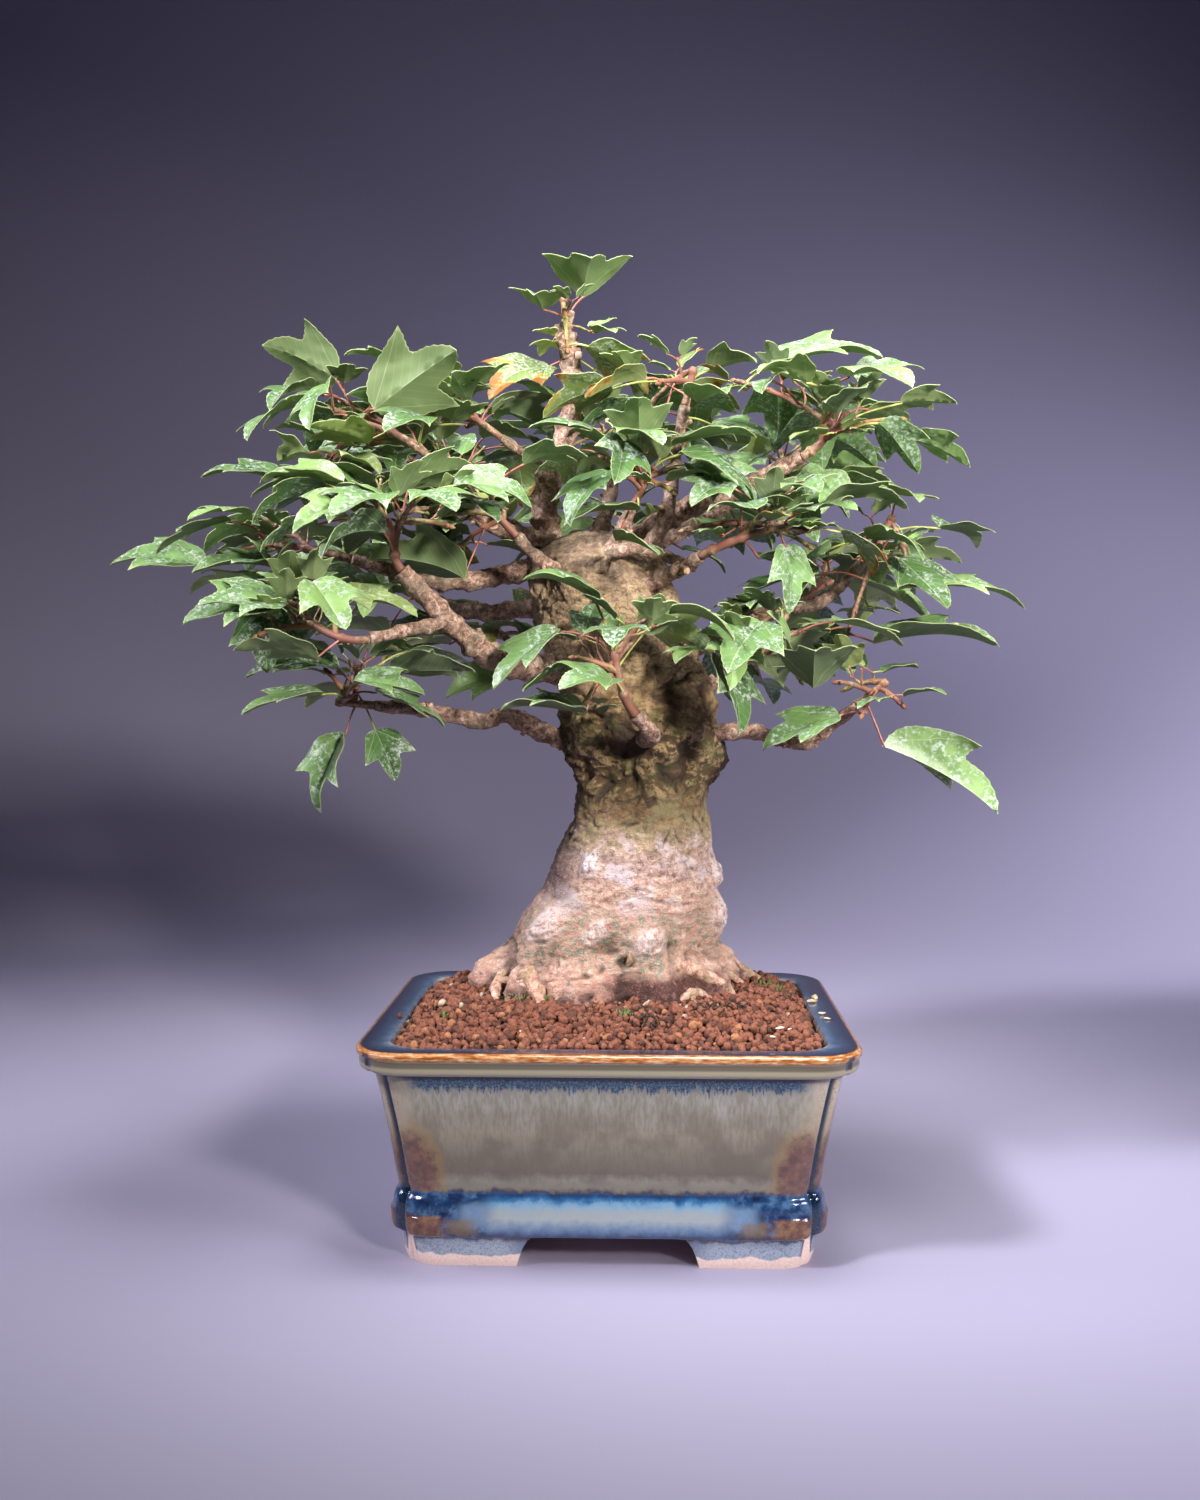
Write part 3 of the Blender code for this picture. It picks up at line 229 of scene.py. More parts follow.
def build_paper():
    """A round floor that curves up into a wall, as a grid of rings."""
    profile = [(radius, 0.0) for radius in (1.0, 150.0, 300.0, FLOOR_RADIUS)]
    for step in range(1, 25):
        a = math.radians(90 * step / 24)
        profile.append((FLOOR_RADIUS + CURVE_RADIUS * math.sin(a), CURVE_RADIUS * (1 - math.cos(a))))
    profile.append((FLOOR_RADIUS + CURVE_RADIUS, WALL_TOP))
    sides = 96
    verts = [(r * math.cos(2 * math.pi * k / sides), r * math.sin(2 * math.pi * k / sides), z)
             for r, z in profile for k in range(sides)]
    faces = []
    for level in range(len(profile) - 1):
        for k in range(sides):
            a = level * sides + k
            b = level * sides + (k + 1) % sides
            faces.append((a, b, b + sides, a + sides))
    faces.append(tuple(reversed(range(sides))))
    mesh = bpy.data.meshes.new("studio_paper")
    mesh.from_pydata([(x * MM, y * MM, z * MM) for x, y, z in verts], [], faces)
    mesh.shade_smooth()
    paper = bpy.data.objects.new("studio_paper", mesh)
    bpy.context.scene.collection.objects.link(paper)
    return paper


paper_finish, tree = new_finish("matte_studio_paper")
grain = add(tree, "TexNoise", {"Scale": 900.0, "Detail": 2.0})
bump = add(tree, "Bump", {"Height": grain, "Strength": 0.04, "Distance": 0.0005})
shader = add(tree, "BsdfPrincipled", {"Base Color": PAPER, "Roughness": 0.6, "Normal": bump})
add(tree, "OutputMaterial", {"Surface": shader}, out=None)

paper = build_paper()
paper.data.materials.append(paper_finish)
print("paper floor:", len(paper.data.polygons), "faces")

# %% Soft studio lights
# Name, where it stands in mm from the pot, what it points at, size in mm, watts, its cone in
# degrees, and its colour
LIGHTS = (
    ("softbox_right", (420, -700, 490), (20, 40, 328), 120, 1.74, 52, "#fffaf4"),
    ("softbox_left", (-640, -470, 860), (90, 50, 340), 170, 2.2, 44, "#f8f6ff"),
    ("softbox_above", (80, -60, 760), (30, 0, 260), 300, 0.82, 60, "#fffdfb"),
    ("backdrop_lamp_low", (1150, 500, 520), (620, 1400, 200), 400, 2.5, 86, "#f3f0ff"),
    ("backdrop_lamp_high", (900, 500, 700), (300, 1900, 700), 400, 1.68, 70, "#f3f0ff"),
    ("floor_lamp_front", (900, -500, 620), (420, -100, 0), 300, 1.18, 60, "#f3f0ff"),
    ("floor_lamp_right", (950, 300, 620), (440, 760, 0), 300, 1.49, 80, "#f3f0ff"),
    ("floor_lamp_left", (-820, -60, 560), (-230, 120, 0), 300, 0.83, 66, "#f3f0ff"),
)
for name, place_mm, aim, size, watts, cone, code in LIGHTS:
    light_data = bpy.data.lights.new(name, "AREA")
    light_data.shape = "SQUARE"
    light_data.size = size * MM
    light_data.energy = watts
    light_data.spread = math.radians(cone)
    light_data.color = linear(code)[:3]
    light = bpy.data.objects.new(name, light_data)
    light.location = ORIGIN + Vector(place_mm) * MM
    light.rotation_euler = (Vector(aim) - Vector(place_mm)).to_track_quat("-Z", "Y").to_euler()
    bpy.context.scene.collection.objects.link(light)
world = bpy.data.worlds.new("studio_room")
world.use_nodes = True
world.node_tree.nodes["Background"].inputs["Color"].default_value = linear("#8a86a2")
world.node_tree.nodes["Background"].inputs["Strength"].default_value = 0.15
bpy.context.scene.world = world
bpy.context.scene.view_settings.view_transform = "Standard"
print(len(LIGHTS), "lights")

# %% [markdown]
# ## Tools for growing and lofting
#
# Nearly everything on this tree is a row of rings: the pot, the trunk, a bough, a twig.
# These few functions turn rings into closed bodies, run rings along a path, and draw a
# smooth path through a few points. They are the same as in the CAD source, so that what
# grows here lies exactly where the solids do.

# %% Rings, paths and tapers
GAP = 0.3                     # clear space between the CAD's bodies


def closed_loft(rings):
    """Vertices and faces of a closed body through rings of points, capped at both ends."""
    count = len(rings[0])
    verts = [point for ring in rings for point in ring]
    faces = []
    for level in range(len(rings) - 1):
        for i in range(count):
            a = level * count + i
            b = level * count + (i + 1) % count
            faces.append((a, b, b + count, a + count))
    faces.append(tuple(reversed(range(count))))
    last = (len(rings) - 1) * count
    faces.append(tuple(range(last, last + count)))
    return verts, faces


def rings_along(points, radii, sides, headings=None):
    """Rings of a tube along a path, turned as little as the path allows."""
    side = None
    rings = []
    for i, point in enumerate(points):
        ahead = (points[min(i + 1, len(points) - 1)] - points[max(i - 1, 0)]).normalized()
        if headings:
            ahead = headings[i]
        if side is None:
            side = ahead.orthogonal()
        side = (side - ahead * side.dot(ahead)).normalized()
        up = ahead.cross(side)
        turns = [2 * math.pi * k / sides for k in range(sides)]
        rings.append([point + (side * math.cos(a) + up * math.sin(a)) * radii[i] for a in turns])
    return rings


def smooth_path(points, steps):
    """Points of a smooth curve through the given ones, with steps to each stretch."""
    points = [Vector(p) for p in points]
    ends = [points[0] * 2 - points[1]] + points + [points[-1] * 2 - points[-2]]
    path = []
    for i in range(1, len(ends) - 2):
        a, b, c, d = ends[i - 1:i + 3]
        for k in range(steps):
            t = k / steps
            path.append(((b * 2) + (c - a) * t + (a * 2 - b * 5 + c * 4 - d) * t * t
                         + (b * 3 - a - c * 3 + d) * t ** 3) * 0.5)
    path.append(points[-1])
    return path


def taper(path, root, tip):
    """A radius for each point of a path, falling evenly with the length run."""
    runs = [0.0]
    for a, b in zip(path, path[1:]):
        runs.append(runs[-1] + (b - a).length)
    return [root + (tip - root) * run / runs[-1] for run in runs]


def smoothstep(t):
    """0 to 1 with a level start and end."""
    t = min(max(t, 0.0), 1.0)
    return t * t * (3 - 2 * t)


# %% [markdown]
# ## The pot's shape
#
# The real pot is stoneware pressed in a mould: a rounded rectangle with a soft V-groove
# down each corner, a rolled skirt, four feet and raised oblong pads on the feet. It could
# be cut from a block or modelled as four walls. A stack of outlines is better, since each
# outline has the same points and only the height, the inset and the groove's depth change.
# The feet are then cut out with one Boolean, as a potter cuts them with a wire.

# %% Sizes of the pot
RIM_WIDTH = 170.0
RIM_DEPTH = 138.6
RIM_HEIGHT = 76.0
RIM_CORNER = 17.2
CORNER_SHRINK = 0.35
ARCH_HEIGHT = 11.0
UNDERSIDE = 11.8
FRONT_ARCH = 62.0
SIDE_ARCH = 42.0
FOOT_INSET = 27.3             # from the rim's edge to the inner side of a foot
DRAIN_RADIUS = 6.0
DRAIN_OFFSET = 32.0
# Height, inset from the rim's edge, depth of the groove, in three smooth runs: the outside,
# the lip, and the inside
POT_RUNS = (
    ((0.0, 15.5, 0.6), (3.0, 14.7, 1.0), (9.4, 13.8, 1.2), (11.0, 12.4, 1.5), (13.5, 11.3, 1.7),
     (19.0, 11.0, 2.0), (23.0, 11.5, 2.2), (25.5, 12.7, 2.4), (30.0, 12.0, 2.4), (46.0, 9.5, 2.4),
     (60.0, 6.8, 2.4), (67.6, 5.2, 2.2)),
    ((68.2, 1.9, 0.6), (69.4, 0.9, 0.5), (71.9, 0.8, 0.5), (72.9, 0.7, 0.4), (73.7, 0.05, 0.3),
     (74.9, 0.02, 0.1), (75.8, 1.0, 0.0), (RIM_HEIGHT, 2.6, 0.0), (75.6, 9.6, 0.0), (74.2, 11.0, 0.0)),
    ((72.0, 11.4, 0.0), (24.0, 18.0, 0.0), (19.5, 22.0, 0.0)),
)
GROOVE_WIDTH = 1.5            # from the groove's middle to its shoulder
PAD_LOW, PAD_HIGH = 10.4, 19.2
PAD_NEAR, PAD_FAR = 2.2, 14.6  # distances of a pad's ends from the corner's groove
PAD_RISE = 0.9


def groove_distance(x, y):
    """How far a point of the pot lies from the nearest corner's groove."""
    return abs(abs(x) - abs(y) - (RIM_WIDTH - RIM_DEPTH) / 2) / math.sqrt(2)


def fine_outline(height, inset, groove):
    """One outline of the pot: close points at the corners and pads, wide ones between."""
    half_x = RIM_WIDTH / 2 - inset
    half_y = RIM_DEPTH / 2 - inset
    radius = max(RIM_CORNER - CORNER_SHRINK * inset, 6.0)
    turns = (0, 7, 14, 21, 28, 33, 37, 39.5, 41.5, 43.3, 45, 46.7, 48.5, 50.5, 53, 57, 62, 69, 76, 83, 90)
    ring = []
    for quarter, (sx, sy) in enumerate(((1, 1), (-1, 1), (-1, -1), (1, -1))):
        middle = Vector((sx * (half_x - radius), sy * (half_y - radius), height))
        for angle in turns:
            a = math.radians(angle + 90 * quarter)
            off = abs(math.radians(angle - 45)) * radius / GROOVE_WIDTH
            r = radius - groove * math.exp(-off * off * 1.2)
            ring.append(middle + Vector((math.cos(a), math.sin(a), 0.0)) * r)
        nxt = ((-1, 1), (-1, -1), (1, -1), (1, 1))[quarter]
        end = Vector((nxt[0] * (half_x - radius), nxt[1] * (half_y - radius), height))
        a = math.radians(90 + 90 * quarter)
        start = ring[-1]
        stop = end + Vector((math.cos(a), math.sin(a), 0.0)) * radius
        span = (stop - start).length
        close = [k * 1.3 / span for k in range(1, 10)]
        middle_steps = [close[-1] + (1 - 2 * close[-1]) * k / 16 for k in range(1, 16)]
        for t in close + middle_steps + [1 - c for c in reversed(close)]:
            ring.append(start.lerp(stop, t))
    return ring


def raise_pads(ring, inset):
    """Pushes the points of an outline that lie in a foot's pad outwards."""
    height = ring[0].z
    upright = smoothstep((height - PAD_LOW) / 1.4) * smoothstep((PAD_HIGH - height) / 1.4)
    for point in ring:
        off = groove_distance(point.x, point.y)
        across = smoothstep((off - PAD_NEAR) / 1.3) * smoothstep((PAD_FAR - off) / 1.3)
        rise = PAD_RISE * upright * across
        if rise > 0.0:
            away = Vector((point.x, point.y, 0.0))
            corner = Vector((RIM_WIDTH / 2 - inset - 14.0, RIM_DEPTH / 2 - inset - 14.0, 0.0))
            away.x = math.copysign(max(abs(away.x) - corner.x, 0.0), point.x)
            away.y = math.copysign(max(abs(away.y) - corner.y, 0.0), point.y)
            point += away.normalized() * rise
    return ring


# %% Loft the pot and cut its feet
def arch_prism(width, along_y):
    """A prism that cuts the arch between two feet, narrower and rounded towards its top."""
    half = width / 2
    marks = [(half, -1.0), (half - 0.4, 1.0), (half - 1.3, 4.0), (half - 2.5, 7.0), (half - 4.0, 9.4),
             (half - 5.4, 10.5), (half - 7.4, ARCH_HEIGHT)]
    outline = marks + [(-x, z) for x, z in reversed(marks)]
    return closed_loft([[Vector((x, end, z)) if along_y else Vector((end, x, z)) for x, z in outline]
                        for end in (-RIM_WIDTH, RIM_WIDTH)])


def drain_prism(x):
    """A cylinder through the pot's floor."""
    turns = [2 * math.pi * k / 32 for k in range(32)]
    return closed_loft([[Vector((x + DRAIN_RADIUS * math.cos(a), DRAIN_RADIUS * math.sin(a), z)) for a in turns]
                        for z in (4.0, 35.0)])


def plain_object(name, body, collection):
    """A helper object in millimetres, for a Boolean."""
    mesh = bpy.data.meshes.new(name)
    mesh.from_pydata([tuple(v) for v in body[0]], [], body[1])
    bm = bmesh.new()
    bm.from_mesh(mesh)
    bmesh.ops.recalc_face_normals(bm, faces=bm.faces)
    bm.to_mesh(mesh)
    bm.free()
    obj = bpy.data.objects.new(name, mesh)
    collection.objects.link(obj)
    return obj


def build_pot():
    """The pot's vertices and faces, with its feet cut."""
    rings = []
    for run, steps in zip(POT_RUNS, (5, 5, 4)):
        for height, inset, groove in smooth_path(run, steps):
            rings.append(raise_pads(fine_outline(height, max(inset, 0.02), max(groove, 0.0)), inset))
    cutters = bpy.data.collections.new("pot_cutters")
    bpy.context.scene.collection.children.link(cutters)
    pot = plain_object("pot_blank", closed_loft(rings), bpy.context.scene.collection)
    recess = [fine_outline(z, FOOT_INSET, 0.0) for z in (-1.0, UNDERSIDE)]
    plain_object("cut_recess", closed_loft(recess), cutters)
    for name, body in (("cut_front", arch_prism(FRONT_ARCH, True)), ("cut_side", arch_prism(SIDE_ARCH, False)),
                       ("cut_drain_left", drain_prism(-DRAIN_OFFSET)), ("cut_drain_right", drain_prism(DRAIN_OFFSET))):
        plain_object(name, body, cutters)
    for cutter in list(cutters.objects):
        cut = pot.modifiers.new("cut", "BOOLEAN")
        cut.operation = "DIFFERENCE"
        cut.solver = "MANIFOLD"
        cut.object = cutter
    mesh = bpy.data.meshes.new_from_object(pot.evaluated_get(bpy.context.evaluated_depsgraph_get()))
    for obj in [pot] + list(cutters.objects):
        bpy.data.objects.remove(obj, do_unlink=True)
    bpy.data.collections.remove(cutters)
    return [v.co.copy() for v in mesh.vertices], [tuple(p.vertices) for p in mesh.polygons]


pot_verts, pot_faces = build_pot()
print("pot blank:", len(pot_verts), "points")

# %% [markdown]
# ## The pot's glaze
#
# The pot is stoneware under two glazes that ran into each other in the kiln: a grey olive
# one over the body, and a blue one that broke to amber where it is thin, on the lip, and
# pooled deep blue in the grooves and round the skirt. Iron bleeds through in rusty
# patches at the corners. The foot was wiped clean, so bare pinkish clay shows there.
#
# A painter would mask each zone, and a potter dips and pours. Here the masks come from the
# pot's own coordinates: height, distance from the rim's edge, and distance from the
# corner's groove, all in millimetres. Coats are laid over each other as glazes are, each
# with its edges. Noise stretched upright makes the edges run.

# %% Coats, one over the other
def lay_coats(tree, base, coats):
    """Lays coats over a base colour. A coat is a tone, how much it covers, and its edges.

    Each edge is what it is measured by, where the coat starts and where it is full.
    """
    for tone, cover, *edges in coats:
        for measure, start, full in edges:
            edge = add(tree, "MapRange", {"Value": measure, "From Min": start, "From Max": full},
                       interpolation_type="SMOOTHSTEP")
            cover = add(tree, "Math", {0: edge, 1: cover}, operation="MULTIPLY")
        base = add(tree, "Mix", {0: cover, 6: base, 7: tone}, out=2, data_type="RGBA")
    return base


# %% Where a point of the pot lies
glaze, tree = new_finish("fired_stoneware_glaze")
spot = add(tree, "TexCoord", out="Object")
spot = add(tree, "VectorMath", {0: spot, "Scale": 1000.0}, operation="SCALE")
height = add(tree, "SeparateXYZ", {0: spot}, out="Z")
quarter = add(tree, "VectorMath", {0: spot, 1: (1.0, 1.0, 0.0)}, operation="MULTIPLY")
quarter = add(tree, "VectorMath", {0: quarter}, operation="ABSOLUTE")
aside = add(tree, "VectorMath", {0: quarter, 1: (1.0, -1.0, 0.0)}, out="Value", operation="DOT_PRODUCT")
aside = add(tree, "Math", {0: aside, 1: (RIM_WIDTH - RIM_DEPTH) / 2}, operation="SUBTRACT")
aside = add(tree, "Math", {0: aside, 1: math.sqrt(0.5)}, operation="MULTIPLY")
groove_off = add(tree, "Math", {0: aside}, operation="ABSOLUTE")
beyond = add(tree, "VectorMath", {0: quarter, 1: (RIM_WIDTH / 2 - RIM_CORNER, RIM_DEPTH / 2 - RIM_CORNER, 0.0)},
             operation="SUBTRACT")
beyond = add(tree, "VectorMath", {0: beyond, 1: (0.0, 0.0, 0.0)}, operation="MAXIMUM")
beyond = add(tree, "VectorMath", {0: beyond}, out="Value", operation="LENGTH")
inset = add(tree, "Math", {0: RIM_CORNER, 1: beyond}, operation="SUBTRACT")
print("glaze: the grooves lie where |x| - |y| is", (RIM_WIDTH - RIM_DEPTH) / 2, "mm")

# %% Runs, clouds and specks
# Runs are 3 mm wide and about 25 mm long, fine runs 1 mm and 8 mm, clouds 14 mm, blots
# 4 mm, specks 0.6 mm
upright = add(tree, "VectorMath", {0: spot, 1: (1.0, 1.0, 0.12)}, operation="MULTIPLY")
runs = add(tree, "TexNoise", {"Vector": upright, "Scale": 0.3, "Detail": 2.0, "Roughness": 0.45})
fine_runs = add(tree, "TexNoise", {"Vector": upright, "Scale": 1.0, "Detail": 2.0, "Roughness": 0.5})
clouds = add(tree, "TexNoise", {"Vector": spot, "Scale": 0.07, "Detail": 4.0, "Roughness": 0.55})
blots = add(tree, "TexNoise", {"Vector": spot, "Scale": 0.24, "Detail": 5.0, "Roughness": 0.62})
specks = add(tree, "TexNoise", {"Vector": spot, "Scale": 1.7, "Detail": 3.0, "Roughness": 0.6})
BLOT_SWAY, RUN_SWAY = 5.0, 1.2  # how far the noises, which lie about 0.5, move an edge
level = add(tree, "Math", {0: blots, 1: BLOT_SWAY, 2: height}, operation="MULTIPLY_ADD")
level = add(tree, "Math", {0: runs, 1: RUN_SWAY, 2: level}, operation="MULTIPLY_ADD")
level = add(tree, "Math", {0: level, 1: (BLOT_SWAY + RUN_SWAY) / 2}, operation="SUBTRACT")
fringe = add(tree, "Math", {0: fine_runs, 1: 9.0, 2: height}, operation="MULTIPLY_ADD")
# Iron bleeds through in an upright oval beside each groove: 1 at its rim, less within
rust_spot = add(tree, "CombineXYZ", {"X": groove_off, "Z": height})
rust_spot = add(tree, "VectorMath", {0: rust_spot, 1: (6.2, 0.0, 33.5)}, operation="SUBTRACT")
rust_spot = add(tree, "VectorMath", {0: rust_spot, 1: (1 / 5.4, 0.0, 1 / 13.0)}, operation="MULTIPLY")
rust = add(tree, "VectorMath", {0: rust_spot}, out="Value", operation="LENGTH")
rust = add(tree, "Math", {0: blots, 1: 0.9, 2: rust}, operation="MULTIPLY_ADD")
rust = add(tree, "Math", {0: rust, 1: 0.45}, operation="SUBTRACT")
clay_edge = add(tree, "Math", {0: clouds, 1: 6.0, 2: height}, operation="MULTIPLY_ADD")
clay_edge = add(tree, "Math", {0: runs, 1: 2.0, 2: clay_edge}, operation="MULTIPLY_ADD")
# Streaks drawn along the lip, 4 mm long
lengthwise = add(tree, "VectorMath", {0: spot, 1: (0.3, 0.3, 1.6)}, operation="MULTIPLY")
streaks = add(tree, "TexNoise", {"Vector": lengthwise, "Scale": 0.8, "Detail": 4.0, "Roughness": 0.65})
inner_edge = add(tree, "Math", {0: runs, 1: 5.0, 2: inset}, operation="MULTIPLY_ADD")
print("glaze: edges sway by about", 0.2 * (BLOT_SWAY + RUN_SWAY), "mm")

# %% Tones of the body, and tones with a grain
BODY_STOPS = (
    (0.0, "#7c7f95"), (8.6, "#6a7490"), (10.2, "#544a4e"), (11.6, "#3a5478"), (13.4, "#5c7696"),
    (15.6, "#7d93a6"), (17.8, "#9fa9a9"), (20.2, "#99a4a6"), (21.6, "#86a3b8"), (22.8, "#6f97b4"),
    (23.9, "#386890"), (25.0, "#214674"), (26.2, "#2c3344"), (27.8, "#7c7766"), (30.5, "#858070"), (33.4, "#655f52"),
    (37.0, "#6e6656"), (43.0, "#7d7564"), (48.0, "#8b826f"), (54.0, "#85806f"), (60.0, "#979486"),
    (64.0, "#96948a"), (70.0, "#8a8780"),
)
grained = {}
for name, measure, scale, stops in (
        ("body", level, 80.0, BODY_STOPS),
        ("flow", specks, 1.0, ((0.38, "#101c34"), (0.5, "#20405f"), (0.64, "#4a7594"))),
        ("rust", blots, 1.0, ((0.36, "#452a2b"), (0.5, "#5f3e39"), (0.64, "#7a5145"))),
        ("pad", blots, 1.0, ((0.36, "#4f2f24"), (0.5, "#6f4a35"), (0.62, "#8d6a42"))),
        ("foot", blots, 1.0, ((0.36, "#182440"), (0.5, "#213c62"), (0.66, "#4a6c8c"))),
        ("drip", specks, 1.0, ((0.4, "#101a2e"), (0.64, "#22405f"))),
        ("amber", streaks, 1.0, ((0.36, "#7d4620"), (0.47, "#a46a38"), (0.58, "#b98f68"), (0.7, "#d4ba9c"))),
        ("rim", inner_edge, 16.0, ((0.25, "#0d1526"), (0.42, "#142138"), (0.64, "#284059"), (0.82, "#54687e"),
                                   (0.96, "#a09a98"))),
        ("clay", specks, 1.0, ((0.3, "#efc9b4"), (0.5, "#f9dccc"), (0.7, "#fdebe0")))):
    share = add(tree, "Math", {0: measure, 1: scale}, operation="DIVIDE")
    grained[name] = add(tree, "ValToRGB", {"Fac": share}, stops=[(at / scale if name == "body" else at, code)
                                                               for at, code in stops])
print("glaze:", len(grained), "grained tones")

# %% Lay the coats, from the body to the bare clay
GLAZE_COATS = (
    # Pale runs in the upper half, and darker clouds in the lower one
    ("#b0afa8", 0.34, (height, 42.0, 58.0), (runs, 0.40, 0.66)),
    ("#b4b5b2", 0.2, (height, 46.0, 60.0), (fine_runs, 0.46, 0.66)),
    ("#4f4740", 0.45, (height, 27.0, 31.0), (height, 60.0, 40.0), (clouds, 0.45, 0.62)),
    ("#5d5548", 0.25, (height, 28.0, 31.0), (fine_runs, 0.54, 0.38)),
    # A darker, browner middle between paler ends
    ("#6d6350", 0.35, (clouds, 0.40, 0.60), (height, 30.0, 36.0), (height, 62.0, 50.0)),
    # The blue flow under the lip, with a ragged lower end, and a dark line of painted shadow just under the lip
    (grained["flow"], 0.95, (fringe, 66.0, 68.6), (height, 68.0, 67.4), (groove_off, 7.0, 12.0)),
    # Painted shadow: the lip's overhang darkens the band below it
    ("#10182f", 0.8, (height, 65.8, 67.0), (height, 68.4, 68.0)),
    # Paler corners with amber freckles beside the grooves
    ("#b1a68e", 0.7, (groove_off, 12.0, 4.0), (height, 40.0, 50.0), (height, 67.5, 66.0)),
    ("#a2642c", 0.8, (specks, 0.54, 0.62), (groove_off, 7.0, 3.0), (height, 47.0, 56.0)),
    # Rust that widens towards the skirt, with an olive seam round it
    ("#8f7040", 0.55, (rust, 1.6, 1.1), (height, 24.5, 27.0)),
    (grained["rust"], 0.85, (rust, 1.25, 0.75), (height, 24.5, 27.0)),
    # The feet: pooled blue, a pale outline, and a mottled lower part
    (grained["foot"], 1.0, (groove_off, 27.0, 20.0), (level, 9.0, 11.5), (level, 27.2, 25.8)),
    ("#7f9fbd", 0.6, (groove_off, 15.5, 19.0), (groove_off, 26.0, 21.0), (level, 12.0, 16.0), (level, 23.6, 21.0)),
    ("#a3afbb", 1.0, (groove_off, 32.0, 24.0), (level, 10.2, 8.6)),
    ("#5f7488", 0.6, (specks, 0.5, 0.6), (level, 10.2, 8.6)),
    # Iron shows through on the raised pads
    (grained["pad"], 1.0, (height, PAD_LOW, PAD_LOW + 1.4), (height, PAD_HIGH, PAD_HIGH - 1.4),
     (groove_off, PAD_NEAR, PAD_NEAR + 1.4), (groove_off, PAD_FAR + 0.5, PAD_FAR - 2.5)),
    ("#7c6538", 0.7, (level, PAD_LOW, PAD_LOW + 2.0), (level, PAD_HIGH - 1.0, PAD_HIGH - 3.0),
     (groove_off, PAD_FAR - 1.0, PAD_FAR + 1.0), (groove_off, PAD_FAR + 8.0, PAD_FAR + 4.0)),
    # The thread in the groove, and its drip over the foot
    (grained["drip"], 1.0, (groove_off, 1.9, 0.8), (height, 26.0, 28.0), (height, 68.6, 68.0)),
    (grained["drip"], 1.0, (groove_off, 3.6, 1.6), (height, 1.2, 3.0), (height, 29.0, 26.0)),
    # The lip: olive cream, partly a painted reflection of the pale floor, a dark line that is a painted reflection of
    # the dark surroundings, an amber ridge, and a dark drop above each groove
    ("#968f79", 1.0, (height, 67.9, 68.4)),
    # Painted reflection: the dark line where the rounded lip mirrors its dark surroundings
    ("#4a423a", 0.75, (height, 70.4, 71.4), (height, 73.2, 72.6)),
    (grained["amber"], 1.0, (height, 72.9, 73.5)),
    ("#1b1d2e", 0.95, (groove_off, 2.3, 1.1), (height, 69.8, 70.8), (height, 75.4, 74.2)),
    (grained["rim"], 1.0, (inset, 1.1, 2.0), (height, 73.4, 74.4)),
    # Bare clay under a wavy line, and on everything beneath the pot
    (grained["clay"], 1.0, (clay_edge, 8.2, 7.6), (groove_off, 1.6, 3.2)),
    (grained["clay"], 1.0, (clay_edge, 5.6, 5.2)),
    (grained["clay"], 1.0, (inset, 16.4, 17.0), (height, 13.5, 12.5)),
)
coated = lay_coats(tree, grained["body"], GLAZE_COATS)
clay_share = lay_coats(tree, "#000000", [("#ffffff", *coat[1:]) for coat in GLAZE_COATS[-3:]])
print("glaze:", len(GLAZE_COATS), "coats")

# %% Gloss of the glaze
# Fired glaze is glass, so its IOR is 1.5 and its roughness low. The bare clay is rough.
gloss = add(tree, "MapRange", {"Value": specks, "From Min": 0.3, "From Max": 0.7, "To Min": 0.06, "To Max": 0.16})
rough = add(tree, "Mix", {0: clay_share, 2: gloss, 3: 0.85}, data_type="FLOAT")
skin = add(tree, "Math", {0: fine_runs, 1: 0.6, 2: specks}, operation="MULTIPLY_ADD")
bump = add(tree, "Bump", {"Height": skin, "Strength": 0.14, "Distance": 0.0004})
shader = add(tree, "BsdfPrincipled", {"Base Color": coated, "Roughness": rough, "IOR": 1.5, "Coat Weight": 0.5,
                                      "Coat Roughness": 0.05, "Normal": bump})
add(tree, "OutputMaterial", {"Surface": shader}, out=None)

pot = place("pot_glazed", pot_verts, pot_faces, [glaze], ["pot"])
pot.data.set_sharp_from_angle(angle=math.radians(38))
print("glaze:", len(tree.nodes), "nodes")

# %% [markdown]
# ## The soil
#
# The soil is akadama, a clay fired into hard brown granules 2.5 to 4 mm across, which
# bonsai growers use because it drains. A bump map would look like gravel paint, so every
# granule is a small mesh. A dark bed lies under them and closes the gaps, coloured as
# painted shade: the shadow between the granules. It has the same lumps as the CAD's soil,
# so the granules on it rise and fall as the solid does.

# %% Sizes of the soil, and its lumps
POT_FLOOR = 19.5
SOIL_EDGE = 74.4
SOIL_TOP = 81.0
SOIL_MIDDLE = (0.0, 13.0)
SOIL_PATCH = (59.0, 38.0)     # half sizes of the level patch under the trunk
CLOD_GAP = 8.2                # between the main lumps
CLOD_SHIFT = 2.0              # how far a lump may stand from an even grid
CLOD_RISE = (-0.6, 2.2)       # of a lump against the smooth mound
CLOD_MARGIN = 4.5             # smooth ground kept along the pot's wall


def patch_depth(x, y):
    """How far a point lies from the middle of the level patch: 1 at the patch's edge."""
    return math.hypot((x - SOIL_MIDDLE[0]) / SOIL_PATCH[0], (y - SOIL_MIDDLE[1]) / SOIL_PATCH[1])


def wall_distance(x, y):
    """How far inside the soil's edge a point lies, up to the corner's radius."""
    inset = 11.6
    half_x = RIM_WIDTH / 2 - inset
    half_y = RIM_DEPTH / 2 - inset
    radius = RIM_CORNER - CORNER_SHRINK * inset
    off_x = max(abs(x) - half_x + radius, 0.0)
    off_y = max(abs(y) - half_y + radius, 0.0)
    return radius - math.hypot(off_x, off_y)


